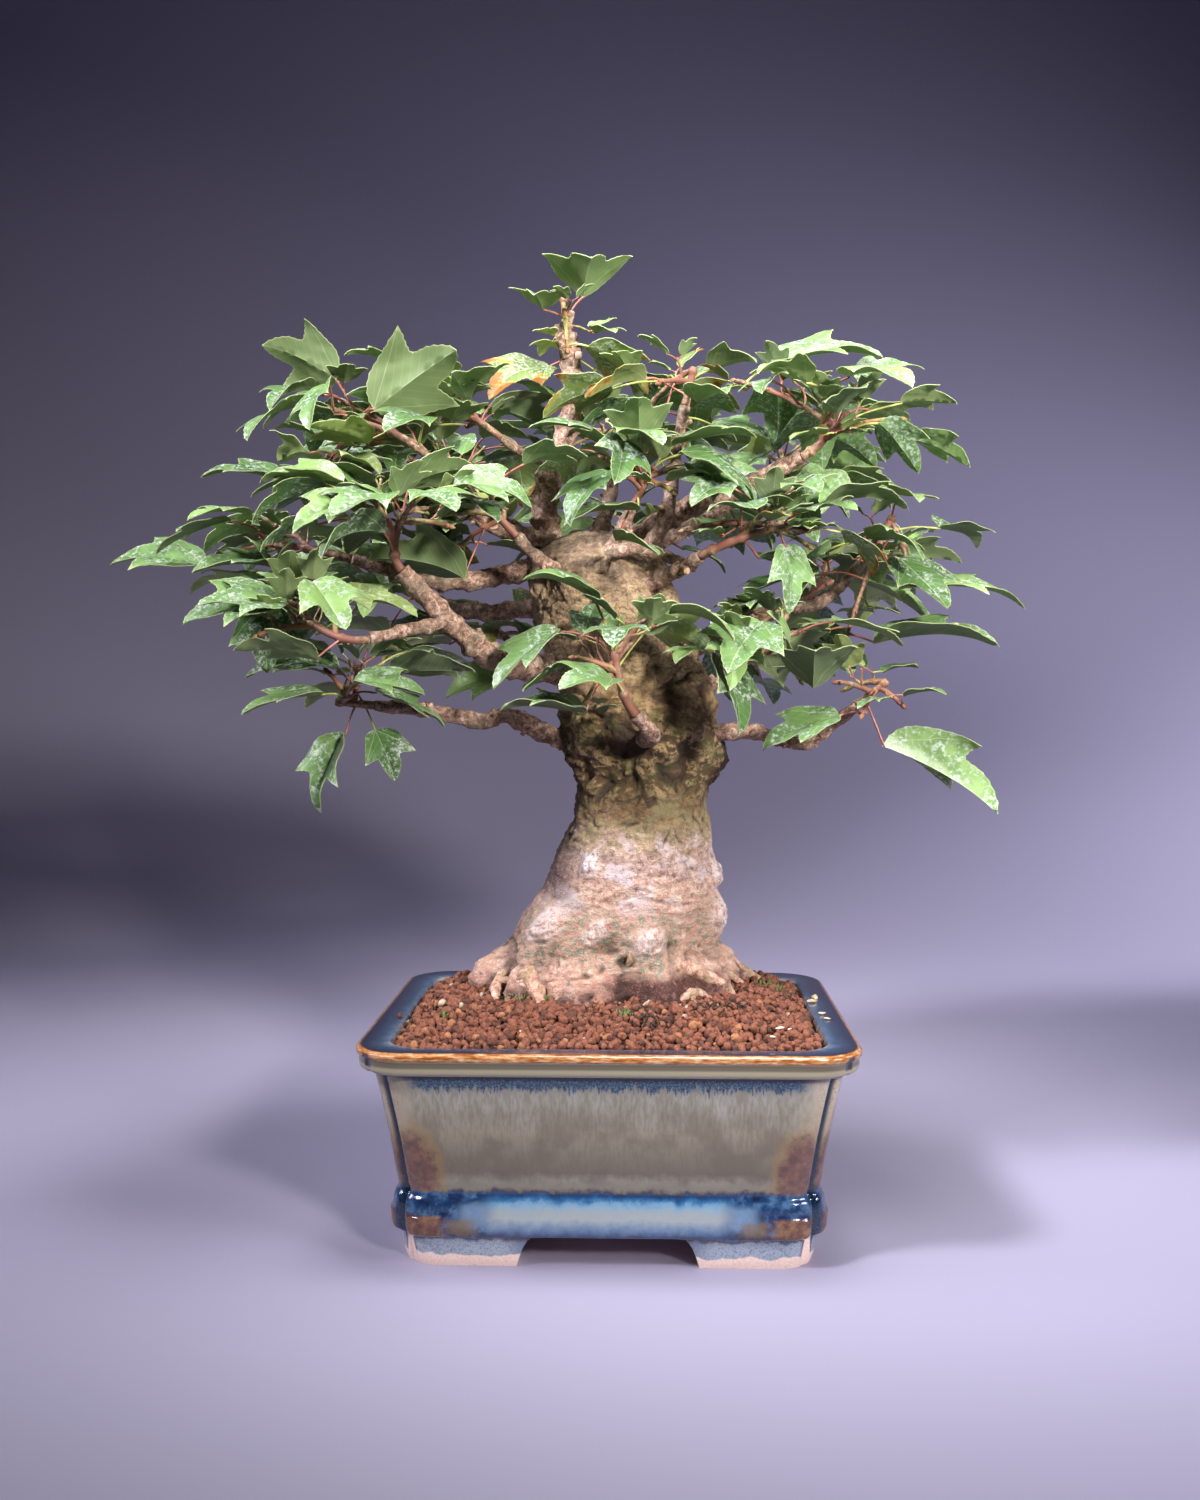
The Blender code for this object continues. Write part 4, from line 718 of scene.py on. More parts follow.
def mound_height(x, y):
    """The smooth soil's height: level under the trunk, and falling to the pot's wall."""
    depth = patch_depth(x, y)
    if depth <= 1.0:
        return SOIL_TOP
    far = depth
    while wall_distance(SOIL_MIDDLE[0] + (x - SOIL_MIDDLE[0]) * far / depth,
                        SOIL_MIDDLE[1] + (y - SOIL_MIDDLE[1]) * far / depth) > 0.0:
        far += 0.02
    step = (far - depth) / max(far - 1.0, 0.05)
    return SOIL_EDGE + (SOIL_TOP - SOIL_EDGE) * smoothstep(step)


def soil_clods():
    """The main lumps of the granular surface, on a grid that a seeded rule loosens."""
    rng = random.Random(4)
    clods = []
    row_gap = CLOD_GAP * 0.866
    for row in range(int(RIM_DEPTH / row_gap) + 1):
        for column in range(int(RIM_WIDTH / CLOD_GAP) + 1):
            x = -RIM_WIDTH / 2 + (column + (row % 2) / 2) * CLOD_GAP + rng.uniform(-CLOD_SHIFT, CLOD_SHIFT)
            y = -RIM_DEPTH / 2 + row * row_gap + rng.uniform(-CLOD_SHIFT, CLOD_SHIFT)
            rise = rng.uniform(*CLOD_RISE)
            depth = patch_depth(x, y)
            if wall_distance(x, y) < CLOD_MARGIN or depth < 0.75:
                continue
            height = mound_height(x, y) + rise
            if depth < 1.1:
                height = min(height, SOIL_TOP)
            clods.append(Vector((x, y, height)))
    return clods


# %% The bed under the granules
def soil_body(sunk):
    """Rings up the pot's wall and a lumpy top cut into triangles, sunk by that much."""
    edge = fine_outline(SOIL_EDGE, 11.9, 0.0)
    verts, faces = closed_loft([fine_outline(POT_FLOOR + GAP, 22.5, 0.0), fine_outline(24.0, 18.6, 0.0),
                                [p - Vector((0.0, 0.0, sunk)) for p in edge]])
    clods = soil_clods()
    flat = [Vector((p.x, p.y)) for p in edge + clods]
    cut = delaunay_2d_cdt(flat, [], [list(range(len(edge)))], 1, 1e-4)
    first = len(verts) - len(edge)
    verts += [p - Vector((0.0, 0.0, sunk)) for p in clods]
    return verts, faces[:-1] + [tuple(first + i for i in face) for face in cut[2]]


BED_SUNK = 1.6
# The bed's dark browns are painted shade, the shadow that falls in the gaps between the granules
shade_bed_clay, tree = new_finish("clay_bed_painted_shade")
spot = add(tree, "TexCoord", out="Object")
dust = add(tree, "TexNoise", {"Vector": spot, "Scale": 1300.0, "Detail": 4.0, "Roughness": 0.7})
tone = add(tree, "ValToRGB", {"Fac": dust}, stops=[(0.35, "#24140f"), (0.55, "#3d241a"), (0.7, "#5a3728")])
bump = add(tree, "Bump", {"Height": dust, "Strength": 0.6, "Distance": 0.0004})
shader = add(tree, "BsdfPrincipled", {"Base Color": tone, "Roughness": 0.95, "Normal": bump})
add(tree, "OutputMaterial", {"Surface": shader}, out=None)
bed_verts, bed_faces = soil_body(BED_SUNK)
place("soil_bed", bed_verts, bed_faces, [shade_bed_clay], ["soil"])
soil_surface = BVHTree.FromPolygons(*soil_body(0.0))

# %% [markdown]
# ## The growth rule
#
# The crown grows by one seeded rule, the same as in the CAD source, so each leaf here is
# a leaf there. A mass of leaves carries its bough on as a stem. Shoots leave the stem,
# pairs of leaves stand along each shoot, and a leaf that would touch another or leave the
# mass's space is tried again at another angle. The plain bodies that are only tested
# against each other are made as in the source. The fine leaves come later.

# %% Sizes of the trunk, its knobs and roots
TRUNK_FOOT = SOIL_TOP + GAP
TRUNK_ROWS = (
    (TRUNK_FOOT, 0.0, 15.0, 44.0, 32.0), (91.0, -1.0, 15.0, 42.5, 30.0),
    (98.6, 0.0, 15.0, 39.5, 28.5), (106.4, 2.0, 15.0, 37.5, 28.0), (114.0, 4.8, 15.0, 35.5, 28.0),
    (122.0, 7.3, 15.0, 32.5, 27.5), (129.6, 7.7, 15.0, 30.4, 27.0), (137.3, 9.4, 15.0, 28.7, 26.0),
    (145.0, 10.9, 15.0, 26.3, 24.5), (152.7, 11.3, 15.0, 24.8, 23.5), (160.3, 11.1, 15.0, 24.4, 23.0),
    (168.0, 12.0, 15.0, 27.0, 24.0), (175.6, 11.6, 15.0, 28.5, 25.0), (183.2, 10.7, 15.0, 28.7, 25.0),
    (194.7, 8.9, 15.0, 28.9, 25.5), (206.1, 4.2, 16.0, 29.5, 26.0), (221.3, 0.0, 17.0, 29.0, 26.0),
    (232.7, -4.4, 18.0, 27.5, 25.0), (244.0, -6.7, 19.0, 27.0, 22.0), (250.5, -6.6, 19.0, 20.0, 15.0),
    (254.5, -6.6, 19.0, 9.0, 7.0),
)
TRUNK_SIDES = 26
TRUNK_LEVELS = 20
# Swellings: height, bearing from +X in degrees, spread, rise
KNOBS = (
    (107.5, 218.0, 9.0, 4.0), (106.0, 255.0, 6.0, 2.5), (103.0, 293.0, 8.0, 3.5),
    (131.0, 236.0, 5.0, 1.5), (110.0, 350.0, 9.0, 3.0), (126.0, 352.0, 6.0, 2.0),
    (168.0, 0.0, 9.0, 7.0), (172.0, 180.0, 9.0, 3.0), (178.0, 250.0, 8.0, 3.5),
    (171.0, 285.0, 9.0, 4.0), (187.0, 312.0, 9.0, 3.0), (197.0, 225.0, 8.0, 3.0),
    (208.0, 275.0, 10.0, 3.0), (221.0, 305.0, 10.0, 3.0), (236.0, 250.0, 8.0, 3.0),
    (175.0, 95.0, 10.0, 4.0), (200.0, 130.0, 10.0, 3.0), (190.0, 50.0, 9.0, 3.0),
    (120.0, 100.0, 10.0, 3.0), (106.0, 60.0, 10.0, 4.0), (228.0, 80.0, 10.0, 3.0),
)
# Surface roots: bearing, reach from the trunk's middle, thickness
ROOTS = (
    (180.0, 55.0, 9.0), (211.0, 47.0, 7.0), (249.0, 35.0, 10.0), (276.0, 31.0, 8.0),
    (304.0, 43.0, 8.0), (345.0, 47.0, 9.0), (12.0, 55.0, 9.0), (68.0, 34.0, 10.0),
    (112.0, 33.0, 10.0), (148.0, 44.0, 9.0),
)

# %% Sizes of the boughs
# What each grows from, radius at its root and tip, and the points it bends at
BOUGHS = {
    "leader": ("trunk", 5.6, 3.4, (
        (-22, 22, 240), (-26, 23, 260), (-25, 21, 275), (-19, 19, 290), (-15, 17, 305), (-17, 15, 329))),
    "bough_low_left": ("trunk", 3.9, 1.9, (
        (-10, 15, 174), (-25, 11, 178), (-32, 7, 182), (-40, 3, 185), (-49, 0, 183), (-67, -5, 187),
        (-86, -11, 189))),
    "bough_left": ("trunk", 5.6, 3.0, (
        (-14, 10, 203), (-30, -3, 203), (-40, -11, 205), (-50, -19, 212), (-60, -27, 222), (-72, -33, 236))),
    "bough_left_fork": ("bough_left", 2.6, 1.8, ((-57, -25, 219), (-71, -35, 215), (-82, -41, 212))),
    "bough_far_left": ("trunk", 4.4, 2.4, (
        (-18, 21, 244), (-41, 17, 239), (-54, 15, 236), (-69, 11, 236), (-81, 5, 239), (-96, -3, 243))),
    "bough_upper_left": ("trunk", 3.6, 2.0, (
        (-22, 14, 250), (-42, 9, 255), (-55, 3, 263), (-63, -3, 275))),
    "bough_leader_left": ("leader", 2.4, 1.6, ((-22, 20, 281), (-33, 17, 284), (-42, 14, 290))),
    "bough_low_right": ("trunk", 3.4, 1.8, (
        (28, 15, 178), (50, 5, 179), (61, -1, 177), (68, -5, 175), (74, -9, 177), (88, -15, 189))),
    "bough_right": ("trunk", 4.2, 2.8, ((20, 20, 209), (39, 17, 214), (48, 15, 219), (59, 11, 225))),
    "bough_far_right": ("bough_right", 2.6, 1.8, (
        (52, 15, 221), (66, 19, 226), (79, 19, 228), (90, 15, 238), (97, 11, 248))),
    "bough_right_mid": ("trunk", 3.4, 2.1, ((5, 10, 230), (22, -7, 237), (32, -19, 242))),
    "bough_upper_right": ("trunk", 5.0, 2.6, (
        (-1, 22, 246), (10, 21, 252), (19, 18, 259), (33, 12, 265), (47, 5, 269), (69, -5, 279))),
    "bough_upright": ("trunk", 2.9, 2.0, (
        (0, 12, 243), (15, 6, 250), (21, 3, 264), (24, 3, 285), (27, 2, 299))),
    "bough_front": ("trunk", 3.2, 2.4, ((11, -6, 176), (15, -23, 179), (9, -31, 186))),
    "bough_centre_left": ("trunk", 3.0, 1.8, ((-16, 6, 236), (-27, -8, 243), (-34, -11, 250))),
    "bough_centre": ("trunk", 2.8, 1.8, ((-2, 10, 243), (3, -3, 252), (8, -9, 261))),
    "bough_back_left": ("trunk", 4.0, 2.4, ((-16, 30, 228), (-50, 44, 226), (-66, 52, 228), (-78, 58, 232))),
    "bough_back_low_left": ("trunk", 4.0, 2.2, (
        (-6, 28, 192), (-22, 46, 200), (-34, 57, 206), (-42, 64, 213))),
    "bough_back_high_left": ("trunk", 3.6, 2.0, (
        (-12, 31, 240), (-32, 42, 254), (-47, 46, 264), (-56, 48, 273))),
    "bough_back_top": ("trunk", 3.8, 2.2, ((-8, 26, 246), (-4, 40, 262), (-1, 50, 276), (0, 55, 288))),
    "bough_back_high_right": ("trunk", 3.8, 2.1, (
        (2, 26, 242), (24, 38, 256), (42, 47, 266), (54, 53, 276))),
    "bough_back_right": ("trunk", 4.0, 2.3, ((18, 28, 206), (42, 41, 216), (56, 47, 222), (68, 52, 227))),
    "bough_back_mid": ("trunk", 4.0, 2.3, ((0, 30, 222), (6, 50, 231), (8, 60, 237), (8, 67, 243))),
    "bough_back_low_right": ("trunk", 3.6, 2.1, (
        (18, 28, 182), (32, 46, 190), (40, 54, 196), (47, 60, 201))),
}
BOUGH_SIDES = 6

# %% Spaces of the masses, and leaves with a place of their own
# Bough, middle, half sizes, random shoots, usual droop in degrees, seed
MASSES = {
    "leaves_front": ("bough_front", (2, -36, 208), (33, 20, 26), 5, 14, 16),
    "leaves_low_left": ("bough_low_left", (-92, -12, 196), (36, 28, 20), 5, 16, 35),
    "leaves_left_front": ("bough_left_fork", (-105, -37, 219), (35, 24, 20), 5, 18, 17),
    "leaves_left_mid": ("bough_left", (-70, -38, 256), (42, 26, 19), 5, 12, 19),
    "leaves_far_left": ("bough_far_left", (-127, -2, 249), (35, 28, 18), 5, 10, 29),
    "leaves_upper_left": ("bough_upper_left", (-97, -9, 293), (38, 32, 22), 6, 10, 15),
    "leaves_centre_left": ("bough_centre_left", (-42, -15, 258), (42, 30, 26), 6, 14, 3),
    "leaves_centre": ("bough_centre", (12, -15, 271), (34, 27, 23), 6, 12, 19),
    "leaves_leader_left": ("bough_leader_left", (-52, 13, 297), (40, 30, 20), 6, 8, 24),
    "leaves_apex": ("leader", (-14, 13, 318), (28, 24, 15), 4, 6, 6),
    "leaves_upright": ("bough_upright", (18, 3, 300), (34, 28, 18), 5, 8, 19),
    "leaves_upper_right": ("bough_upper_right", (82, -7, 291), (41, 31, 21), 6, 10, 29),
    "leaves_right_mid": ("bough_right_mid", (62, -24, 253), (38, 24, 18), 5, 12, 7),
    "leaves_far_right": ("bough_far_right", (100, 6, 242), (33, 30, 24), 6, 10, 28),
    "leaves_right_front": ("bough_right", (56, -18, 208), (34, 26, 20), 5, 16, 16),
    "leaves_low_right": ("bough_low_right", (86, -15, 190), (32, 25, 18), 5, 14, 29),
    "leaves_back_left": ("bough_back_left", (-96, 56, 240), (40, 34, 22), 3, 12, 1),
    "leaves_back_low_left": ("bough_back_low_left", (-50, 73, 218), (42, 28, 20), 3, 14, 39),
    "leaves_back_high_left": ("bough_back_high_left", (-66, 52, 285), (44, 34, 22), 4, 10, 34),
    "leaves_back_top": ("bough_back_top", (0, 53, 300), (44, 32, 20), 4, 8, 34),
    "leaves_back_high_right": ("bough_back_high_right", (68, 51, 286), (42, 34, 22), 4, 10, 30),
    "leaves_back_right": ("bough_back_right", (86, 57, 238), (40, 34, 22), 3, 12, 5),
    "leaves_back_mid": ("bough_back_mid", (8, 80, 254), (46, 26, 24), 3, 12, 5),
    "leaves_back_low_right": ("bough_back_low_right", (54, 69, 207), (40, 28, 20), 3, 14, 37),
}
# Mass, foot of the blade, tip, roll in degrees, width, and fold of the lobes
PLACED_LEAVES = (
    ("leaves_far_left", (-149, -7, 240), (-184, -9, 242), 25, 1.0, 0.35),
    ("leaves_upper_left", (-98, -15, 306), (-123, -19, 318), -50, 1.0, 0.35),
    ("leaves_upper_left", (-83, -25, 293), (-52, -37, 311), 55, 0.9, 0.35),
    ("leaves_upper_left", (-119, -9, 271), (-149, -11, 273), 20, 0.8, 0.35),
    ("leaves_upper_left", (-80, 0, 315), (-97, -7, 317), 10, 0.9, 0.5),
    ("leaves_apex", (-11, 13, 342), (-7, -10, 350), 0, 1.35, 1.0),
    ("leaves_apex", (-26, 11, 337), (-28, -7, 338), 5, 1.2, 0.7),
    ("leaves_upright", (36, 0, 312), (52, -13, 313), 10, 1.0, 0.5),
    ("leaves_upright", (6, 0, 311), (2, -15, 315), 0, 1.0, 0.5),
    ("leaves_upper_right", (56, -5, 311), (98, -7, 316), -25, 0.9, 0.35),
    ("leaves_upper_right", (104, -7, 298), (124, -9, 297), 20, 0.9, 0.35),
    ("leaves_upper_right", (108, -9, 285), (128, -13, 274), 25, 0.8, 0.35),
    ("leaves_far_right", (106, 3, 232), (152, -1, 228), -15, 0.8, 0.2),
    ("leaves_far_right", (95, -7, 212), (139, -13, 212), -6, 0.8, 0.5),
    ("leaves_low_right", (97, -17, 175), (137, -23, 152), 48, 0.55, 0.8),
    ("leaves_low_left", (-96, -15, 179), (-106, -19, 151), 30, 0.8, 0.6),
    ("leaves_low_left", (-86, -11, 180), (-78, -15, 162), -35, 1.0, 0.6),
    ("leaves_low_left", (-99, -11, 203), (-133, -15, 201), 20, 0.8, 0.3),
    ("leaves_left_front", (-123, -25, 225), (-120, -31, 201), -10, 1.0, 0.35),
    ("leaves_left_front", (-127, -21, 223), (-149, -23, 221), 15, 1.0, 0.35),
    ("leaves_right_front", (37, -25, 207), (46, -35, 180), 15, 1.1, 0.35),
    ("leaves_front", (-4, -36, 225), (-28, -46, 234), 15, 0.9, 0.5),
    ("leaves_front", (3, -38, 219), (-23, -50, 221), 5, 0.9, 0.3),
    ("leaves_front", (12, -36, 214), (18, -46, 227), 50, 0.9, 0.3),
    ("leaves_front", (-3, -34, 193), (13, -46, 201), 50, 1.1, 0.3),
    ("leaves_front", (-15, -32, 202), (-29, -44, 194), -20, 1.1, 0.3),
    ("leaves_centre", (10, -20, 258), (-16, -34, 253), 5, 0.8, 0.3),
    ("leaves_centre", (2, -20, 248), (17, -34, 241), 15, 1.0, 0.3),
    ("leaves_centre", (8, -14, 279), (20, -26, 282), 30, 1.0, 0.4),
    ("leaves_right_mid", (41, -26, 267), (28, -38, 258), 25, 1.1, 0.4),
    ("leaves_right_mid", (34, -30, 248), (53, -42, 235), 30, 0.9, 0.4),
    ("leaves_right_front", (63, -22, 209), (55, -32, 222), 60, 1.0, 0.3),
    ("leaves_right_mid", (61, -29, 245), (62, -37, 221), 10, 0.7, 0.35),
    ("leaves_back_low_left", (-46, 62, 201), (-70, 58, 193), 40, 1.0, 0.35),
)
STEM_RADII = (1.7, 1.2)
SHOOT_RADII = (1.15, 0.7)
PETIOLE_RADIUS = 0.45
PETIOLE_REACH = 30.0
NODE_SPACING = 12.0
LEAF_LENGTHS = (20.0, 41.0, 30.0)
BLADE_THICKNESS = 0.5
CLEARANCE = 1.0
HEART_LIMIT = 1.2
TIP_LIMIT = 1.5
TRIES = 12
BLADE_HALF = ((0.02, 0.0), (0.31, 0.17), (0.50, 0.63), (0.20, 0.57))
BLADE_MIDDLE = 0.42
print(len(BOUGHS), "boughs,", len(MASSES), "masses of leaves")


# %% A leaf, a twig and a mass of leaves
@dataclass
class Leaf:
    """A leaf: its stalk runs from root to foot, and its blade from foot to tip."""
    root: Vector
    foot: Vector
    along: Vector
    across: Vector
    normal: Vector
    length: float
    width: float
    fold: float
    arch: float

    def at(self, u, v):
        """The point of the blade that lies u across and v along it."""
        lift = self.arch * 4 * v * (1 - v) + self.fold * (abs(u) - u * u)
        return self.foot + (self.across * u * self.width + self.along * v + self.normal * lift) * self.length


@dataclass
class Twig:
    """A stem or shoot: a curve through three points, with a radius at each end."""
    start: Vector
    bend: Vector
    end: Vector
    radii: tuple

    def at(self, t):
        """The point at t, from 0 at the start to 1 at the end."""
        return self.start * (1 - t) ** 2 + self.bend * 2 * t * (1 - t) + self.end * t * t

    def heading(self, t):
        """The unit direction of growth at t."""
        return ((self.bend - self.start) * (1 - t) + (self.end - self.bend) * t).normalized()

    def tube(self, steps, sides, swell=0.0, first=0.0):
        """The closed body of the twig from first to its end."""
        spots = [first + (1 - first) * i / steps for i in range(steps + 1)]
        radii = [self.radii[0] + (self.radii[1] - self.radii[0]) * t + swell for t in spots]
        headings = [self.heading(t) for t in spots]
        return closed_loft(rings_along([self.at(t) for t in spots], radii, sides, headings))


@dataclass
class Mass:
    """One mass of leaves, with its space, its stem, and what has grown on it."""
    name: str
    middle: Vector
    half: Vector
    shoot_count: int
    droop: float
    stem: Twig
    rng: random.Random
    shoots: list = field(default_factory=list)
    leaves: list = field(default_factory=list)

    def depth(self, point):
        """0 in the middle of the mass's space, and 1 at its edge."""
        off = point - self.middle
        return Vector((off.x / self.half.x, off.y / self.half.y, off.z / self.half.z)).length


# %% Bodies that growth keeps clear of
@dataclass
class Obstacle:
    """A body that growth keeps clear of."""
    owner: object
    middle: Vector
    reach: float
    tree: BVHTree


# %% The plain trunk
def trunk_row(height):
    """Middle across, middle in depth, half width and half depth of the trunk at a height."""
    for low, high in zip(TRUNK_ROWS, TRUNK_ROWS[1:]):
        if height <= high[0]:
            t = (height - low[0]) / (high[0] - low[0])
            return [a + (b - a) * t for a, b in zip(low[1:], high[1:])]
    return TRUNK_ROWS[-1][1:]


def trunk_point(height, bearing, swell=0.0):
    """The point on the trunk's bark at a height and a bearing in radians."""
    x, y, half_width, half_depth = trunk_row(height)
    c = math.cos(bearing)
    s = math.sin(bearing)
    radius = 1 / math.hypot(c / half_width, s / half_depth)
    for knob_height, knob_bearing, spread, rise in KNOBS:
        turn = (bearing - math.radians(knob_bearing) + math.pi) % (2 * math.pi) - math.pi
        away = math.hypot(turn * radius, height - knob_height) / spread
        radius += rise * math.exp(-away * away * 1.4)
    return Vector((x + c * (radius + swell), y + s * (radius + swell), height))


def trunk_rings(levels, sides, swell=0.0):
    """Rings of the trunk from its flat foot to the top of its fork."""
    top = TRUNK_ROWS[-1][0]
    rings = []
    for level in range(levels + 1):
        height = TRUNK_FOOT + (top - TRUNK_FOOT) * level / levels
        rings.append([trunk_point(height, 2 * math.pi * k / sides, swell) for k in range(sides)])
    return rings


# %% Plain leaves, for the tests only
def blade_outline(leaf, grow=1.0):
    """The blade's edge from one side of the stalk round the tip to the other."""
    half = [(u, v) for u, v in BLADE_HALF]
    edge = half + [(0.0, 1.0)] + [(-u, v) for u, v in reversed(half)]
    return [leaf.at(u * grow, BLADE_MIDDLE + (v - BLADE_MIDDLE) * grow) for u, v in edge]


def leaf_body(leaf):
    """One closed body: a three-sided stalk that opens into a blade thick in the middle."""
    edge = blade_outline(leaf)
    top = leaf.at(0.0, BLADE_MIDDLE) + leaf.normal * BLADE_THICKNESS / 2
    bottom = top - leaf.normal * BLADE_THICKNESS
    keel = (edge[0] + edge[-1]) / 2 - leaf.normal * PETIOLE_RADIUS * 1.6
    run = (leaf.foot - leaf.root).normalized()
    side = (leaf.across - run * leaf.across.dot(run)).normalized()
    down = run.cross(side)
    r = PETIOLE_RADIUS
    start = [leaf.root + side * r, leaf.root - side * r, leaf.root + down * r * 1.5]
    verts = edge + [top, bottom, keel] + start
    last = len(edge) - 1
    t, b, k, right, left, low = range(last + 1, last + 7)
    faces = [(i, i + 1, t) for i in range(last)] + [(last, 0, t)]
    faces += [(i + 1, i, b) for i in range(last)] + [(0, k, b), (k, last, b)]
    faces += [(right, 0, last, left), (low, k, 0, right), (left, last, k, low), (right, left, low)]
    return verts, faces


def blade_guard(leaf):
    """A closed shell that stands clear of the blade all round."""
    edge = blade_outline(leaf, 1.06)
    lift = leaf.normal * CLEARANCE
    rings = [[p - lift for p in edge], [p + lift for p in edge]]
    return closed_loft(rings)


def stalk(leaf):
    """The leaf's stalk as a twig."""
    return Twig(leaf.root, (leaf.root + leaf.foot) / 2, leaf.foot, (PETIOLE_RADIUS, PETIOLE_RADIUS))


# %% Testing for room
def obstacle(owner, body):
    """A body made ready for tests against others."""
    verts, faces = body
    middle = sum(verts, Vector()) / len(verts)
    reach = max((point - middle).length for point in verts)
    return Obstacle(owner, middle, reach, BVHTree.FromPolygons(verts, faces))


def is_clear(body, taken, but_not=None):
    """Whether a body touches none of the obstacles, those of one owner aside."""
    new = obstacle(None, body)
    for old in taken:
        if but_not is not None and old.owner is but_not:
            continue
        if (old.middle - new.middle).length < old.reach + new.reach and new.tree.overlap(old.tree):
            return False
    return True


def limb_obstacles():
    """The trunk and the boughs as obstacles."""
    taken = [obstacle("trunk", closed_loft(trunk_rings(TRUNK_LEVELS, TRUNK_SIDES)))]
    for name, (_, root, tip, points) in BOUGHS.items():
        path = smooth_path(points, 3)
        taken.append(obstacle(name, closed_loft(rings_along(path, taper(path, root, tip), BOUGH_SIDES))))
    return taken


# %% Stems and shoots
def start_mass(name):
    """A mass with its stem, which carries its bough on towards the middle of the space."""
    bough, middle, half, shoots, droop, seed = MASSES[name]
    points = BOUGHS[bough][3]
    path = smooth_path(points, 3)
    ahead = (path[-1] - path[-2]).normalized()
    start = path[-1] + ahead * GAP
    middle = Vector(middle)
    reach = max((middle - start).length, 14.0)
    bend = start + ahead * reach * 0.4
    end = middle if (middle - start).length >= 14.0 else start + ahead * 14.0
    radius = min(STEM_RADII[0], BOUGHS[bough][2] * 0.85)
    stem = Twig(start, bend, end, (radius, STEM_RADII[1]))
    return Mass(name, middle, Vector(half), shoots, droop, stem, random.Random(seed))


def grow_shoot(mass, begin, target, taken):
    """A shoot from a point of the stem towards a target, unless something is in its way."""
    start = mass.stem.at(begin)
    rise = Vector((0.0, 0.0, 0.12 * (target - start).length))
    shoot = Twig(start, (start + target) / 2 + rise, target, SHOOT_RADII)
    if is_clear(shoot.tube(3, 3, 0.6, 0.2), taken, mass.stem):
        mass.shoots.append(shoot)
        taken.append(obstacle(shoot, shoot.tube(3, 3)))
        return shoot
    return None


# %% Leaves
def make_leaf(root, foot, tip, roll, width, fold, arch):
    """A leaf from three points and the roll of its blade in degrees."""
    along = (tip - foot).normalized()
    level = along.cross(Vector((0.0, 0.0, 1.0)))
    if level.length < 0.2:
        level = along.cross((foot - root).normalized())
    level.normalize()
    up = level.cross(along)
    a = math.radians(roll)
    across = level * math.cos(a) + up * math.sin(a)
    return Leaf(root, foot, along, across, across.cross(along), (tip - foot).length, width, fold, arch)


def keep_leaf(mass, leaf, twig, masses, taken, outer=False):
    """Adds a leaf to its mass when it is in the mass's own space and touches nothing."""
    if leaf.along.dot((leaf.foot - leaf.root).normalized()) < 0.1:
        return False
    if not outer:
        heart = leaf.at(0.0, 0.5)
        if mass.depth(heart) > HEART_LIMIT or min(masses, key=lambda other: other.depth(heart)) is not mass:
            return False
        if max(mass.depth(leaf.at(u, v)) for u, v in ((0, 1), (0.5, 0.6), (-0.5, 0.6))) > TIP_LIMIT:
            return False
    if not is_clear(blade_guard(leaf), taken):
        return False
    if not is_clear(stalk(leaf).tube(1, 3, 0.4, 0.4), taken, twig):
        return False
    mass.leaves.append(leaf)
    taken.append(obstacle(leaf, leaf_body(leaf)))
    return True


def grow_placed_leaves(mass, masses, taken):
    """The mass's named leaves, each on the best twig behind it or on a shoot of its own."""
    for name, foot, tip, roll, width, fold in PLACED_LEAVES:
        if name != mass.name:
            continue
        foot = Vector(foot)
        tip = Vector(tip)
        behind = foot - (tip - foot).normalized() * 11.0 - Vector((0.0, 0.0, 3.0))
        for begin in (0.0, 0.9, 0.7, 0.5):
            if begin:
                grow_shoot(mass, begin, behind, taken)
            spots = [(twig, t / 10) for twig in [mass.stem] + mass.shoots for t in range(3, 10)]
            spots = [spot for spot in spots if (spot[0].at(spot[1]) - foot).length < PETIOLE_REACH]
            spots.sort(key=lambda spot: (spot[0].at(spot[1]) - behind).length)
            if any(keep_leaf(mass, make_leaf(twig.at(t), foot, tip, roll, width, fold, 0.07),
                             twig, masses, taken, outer=True) for twig, t in spots):
                break


# %% Shoots and pairs of leaves
def shoot_target(mass, index):
    """A point near the edge of the mass's space for one of its shoots."""
    rng = mass.rng
    run = mass.stem.end - mass.stem.start
    start = math.atan2(run.y, run.x)
    spread = math.radians(125 if math.hypot(run.x, run.y) > 6 else 180)
    part = (index + 0.5) / mass.shoot_count * 2 - 1
    a = start + spread * part + rng.uniform(-0.3, 0.3)
    out = rng.uniform(0.25, 0.6)
    rise = rng.uniform(-0.5, 0.3) if index % 2 else rng.uniform(-0.1, 0.5)
    return mass.middle + Vector((math.cos(a) * out * mass.half.x, math.sin(a) * out * mass.half.y,
                                 rise * mass.half.z))


def grow_leaf(mass, twig, t, side, masses, taken):
    """One leaf at a node of a twig, tried at several angles until it is clear."""
    rng = mass.rng
    root = twig.at(t)
    for _ in range(TRIES):
        out = side + twig.heading(t) * rng.uniform(0.2, 0.9)
        away = root - mass.middle
        out += Vector((away.x, away.y, 0.0)).normalized() * 0.4 + Vector((0.0, 0.0, rng.uniform(0.0, 0.6)))
        foot = root + out.normalized() * rng.uniform(9.0, 22.0)
        bearing = math.atan2(out.y, out.x) + rng.gauss(0.0, 0.5)
        dip = math.radians(mass.droop + rng.gauss(0.0, 19.0))
        length = rng.triangular(*LEAF_LENGTHS)
        tip = foot + Vector((math.cos(bearing) * math.cos(dip), math.sin(bearing) * math.cos(dip),
                             -math.sin(dip))) * length
        leaf = make_leaf(root, foot, tip, rng.gauss(0.0, 18.0), rng.uniform(0.85, 1.1),
                         rng.uniform(0.15, 0.6), rng.uniform(0.02, 0.12))
        if keep_leaf(mass, leaf, twig, masses, taken):
            return


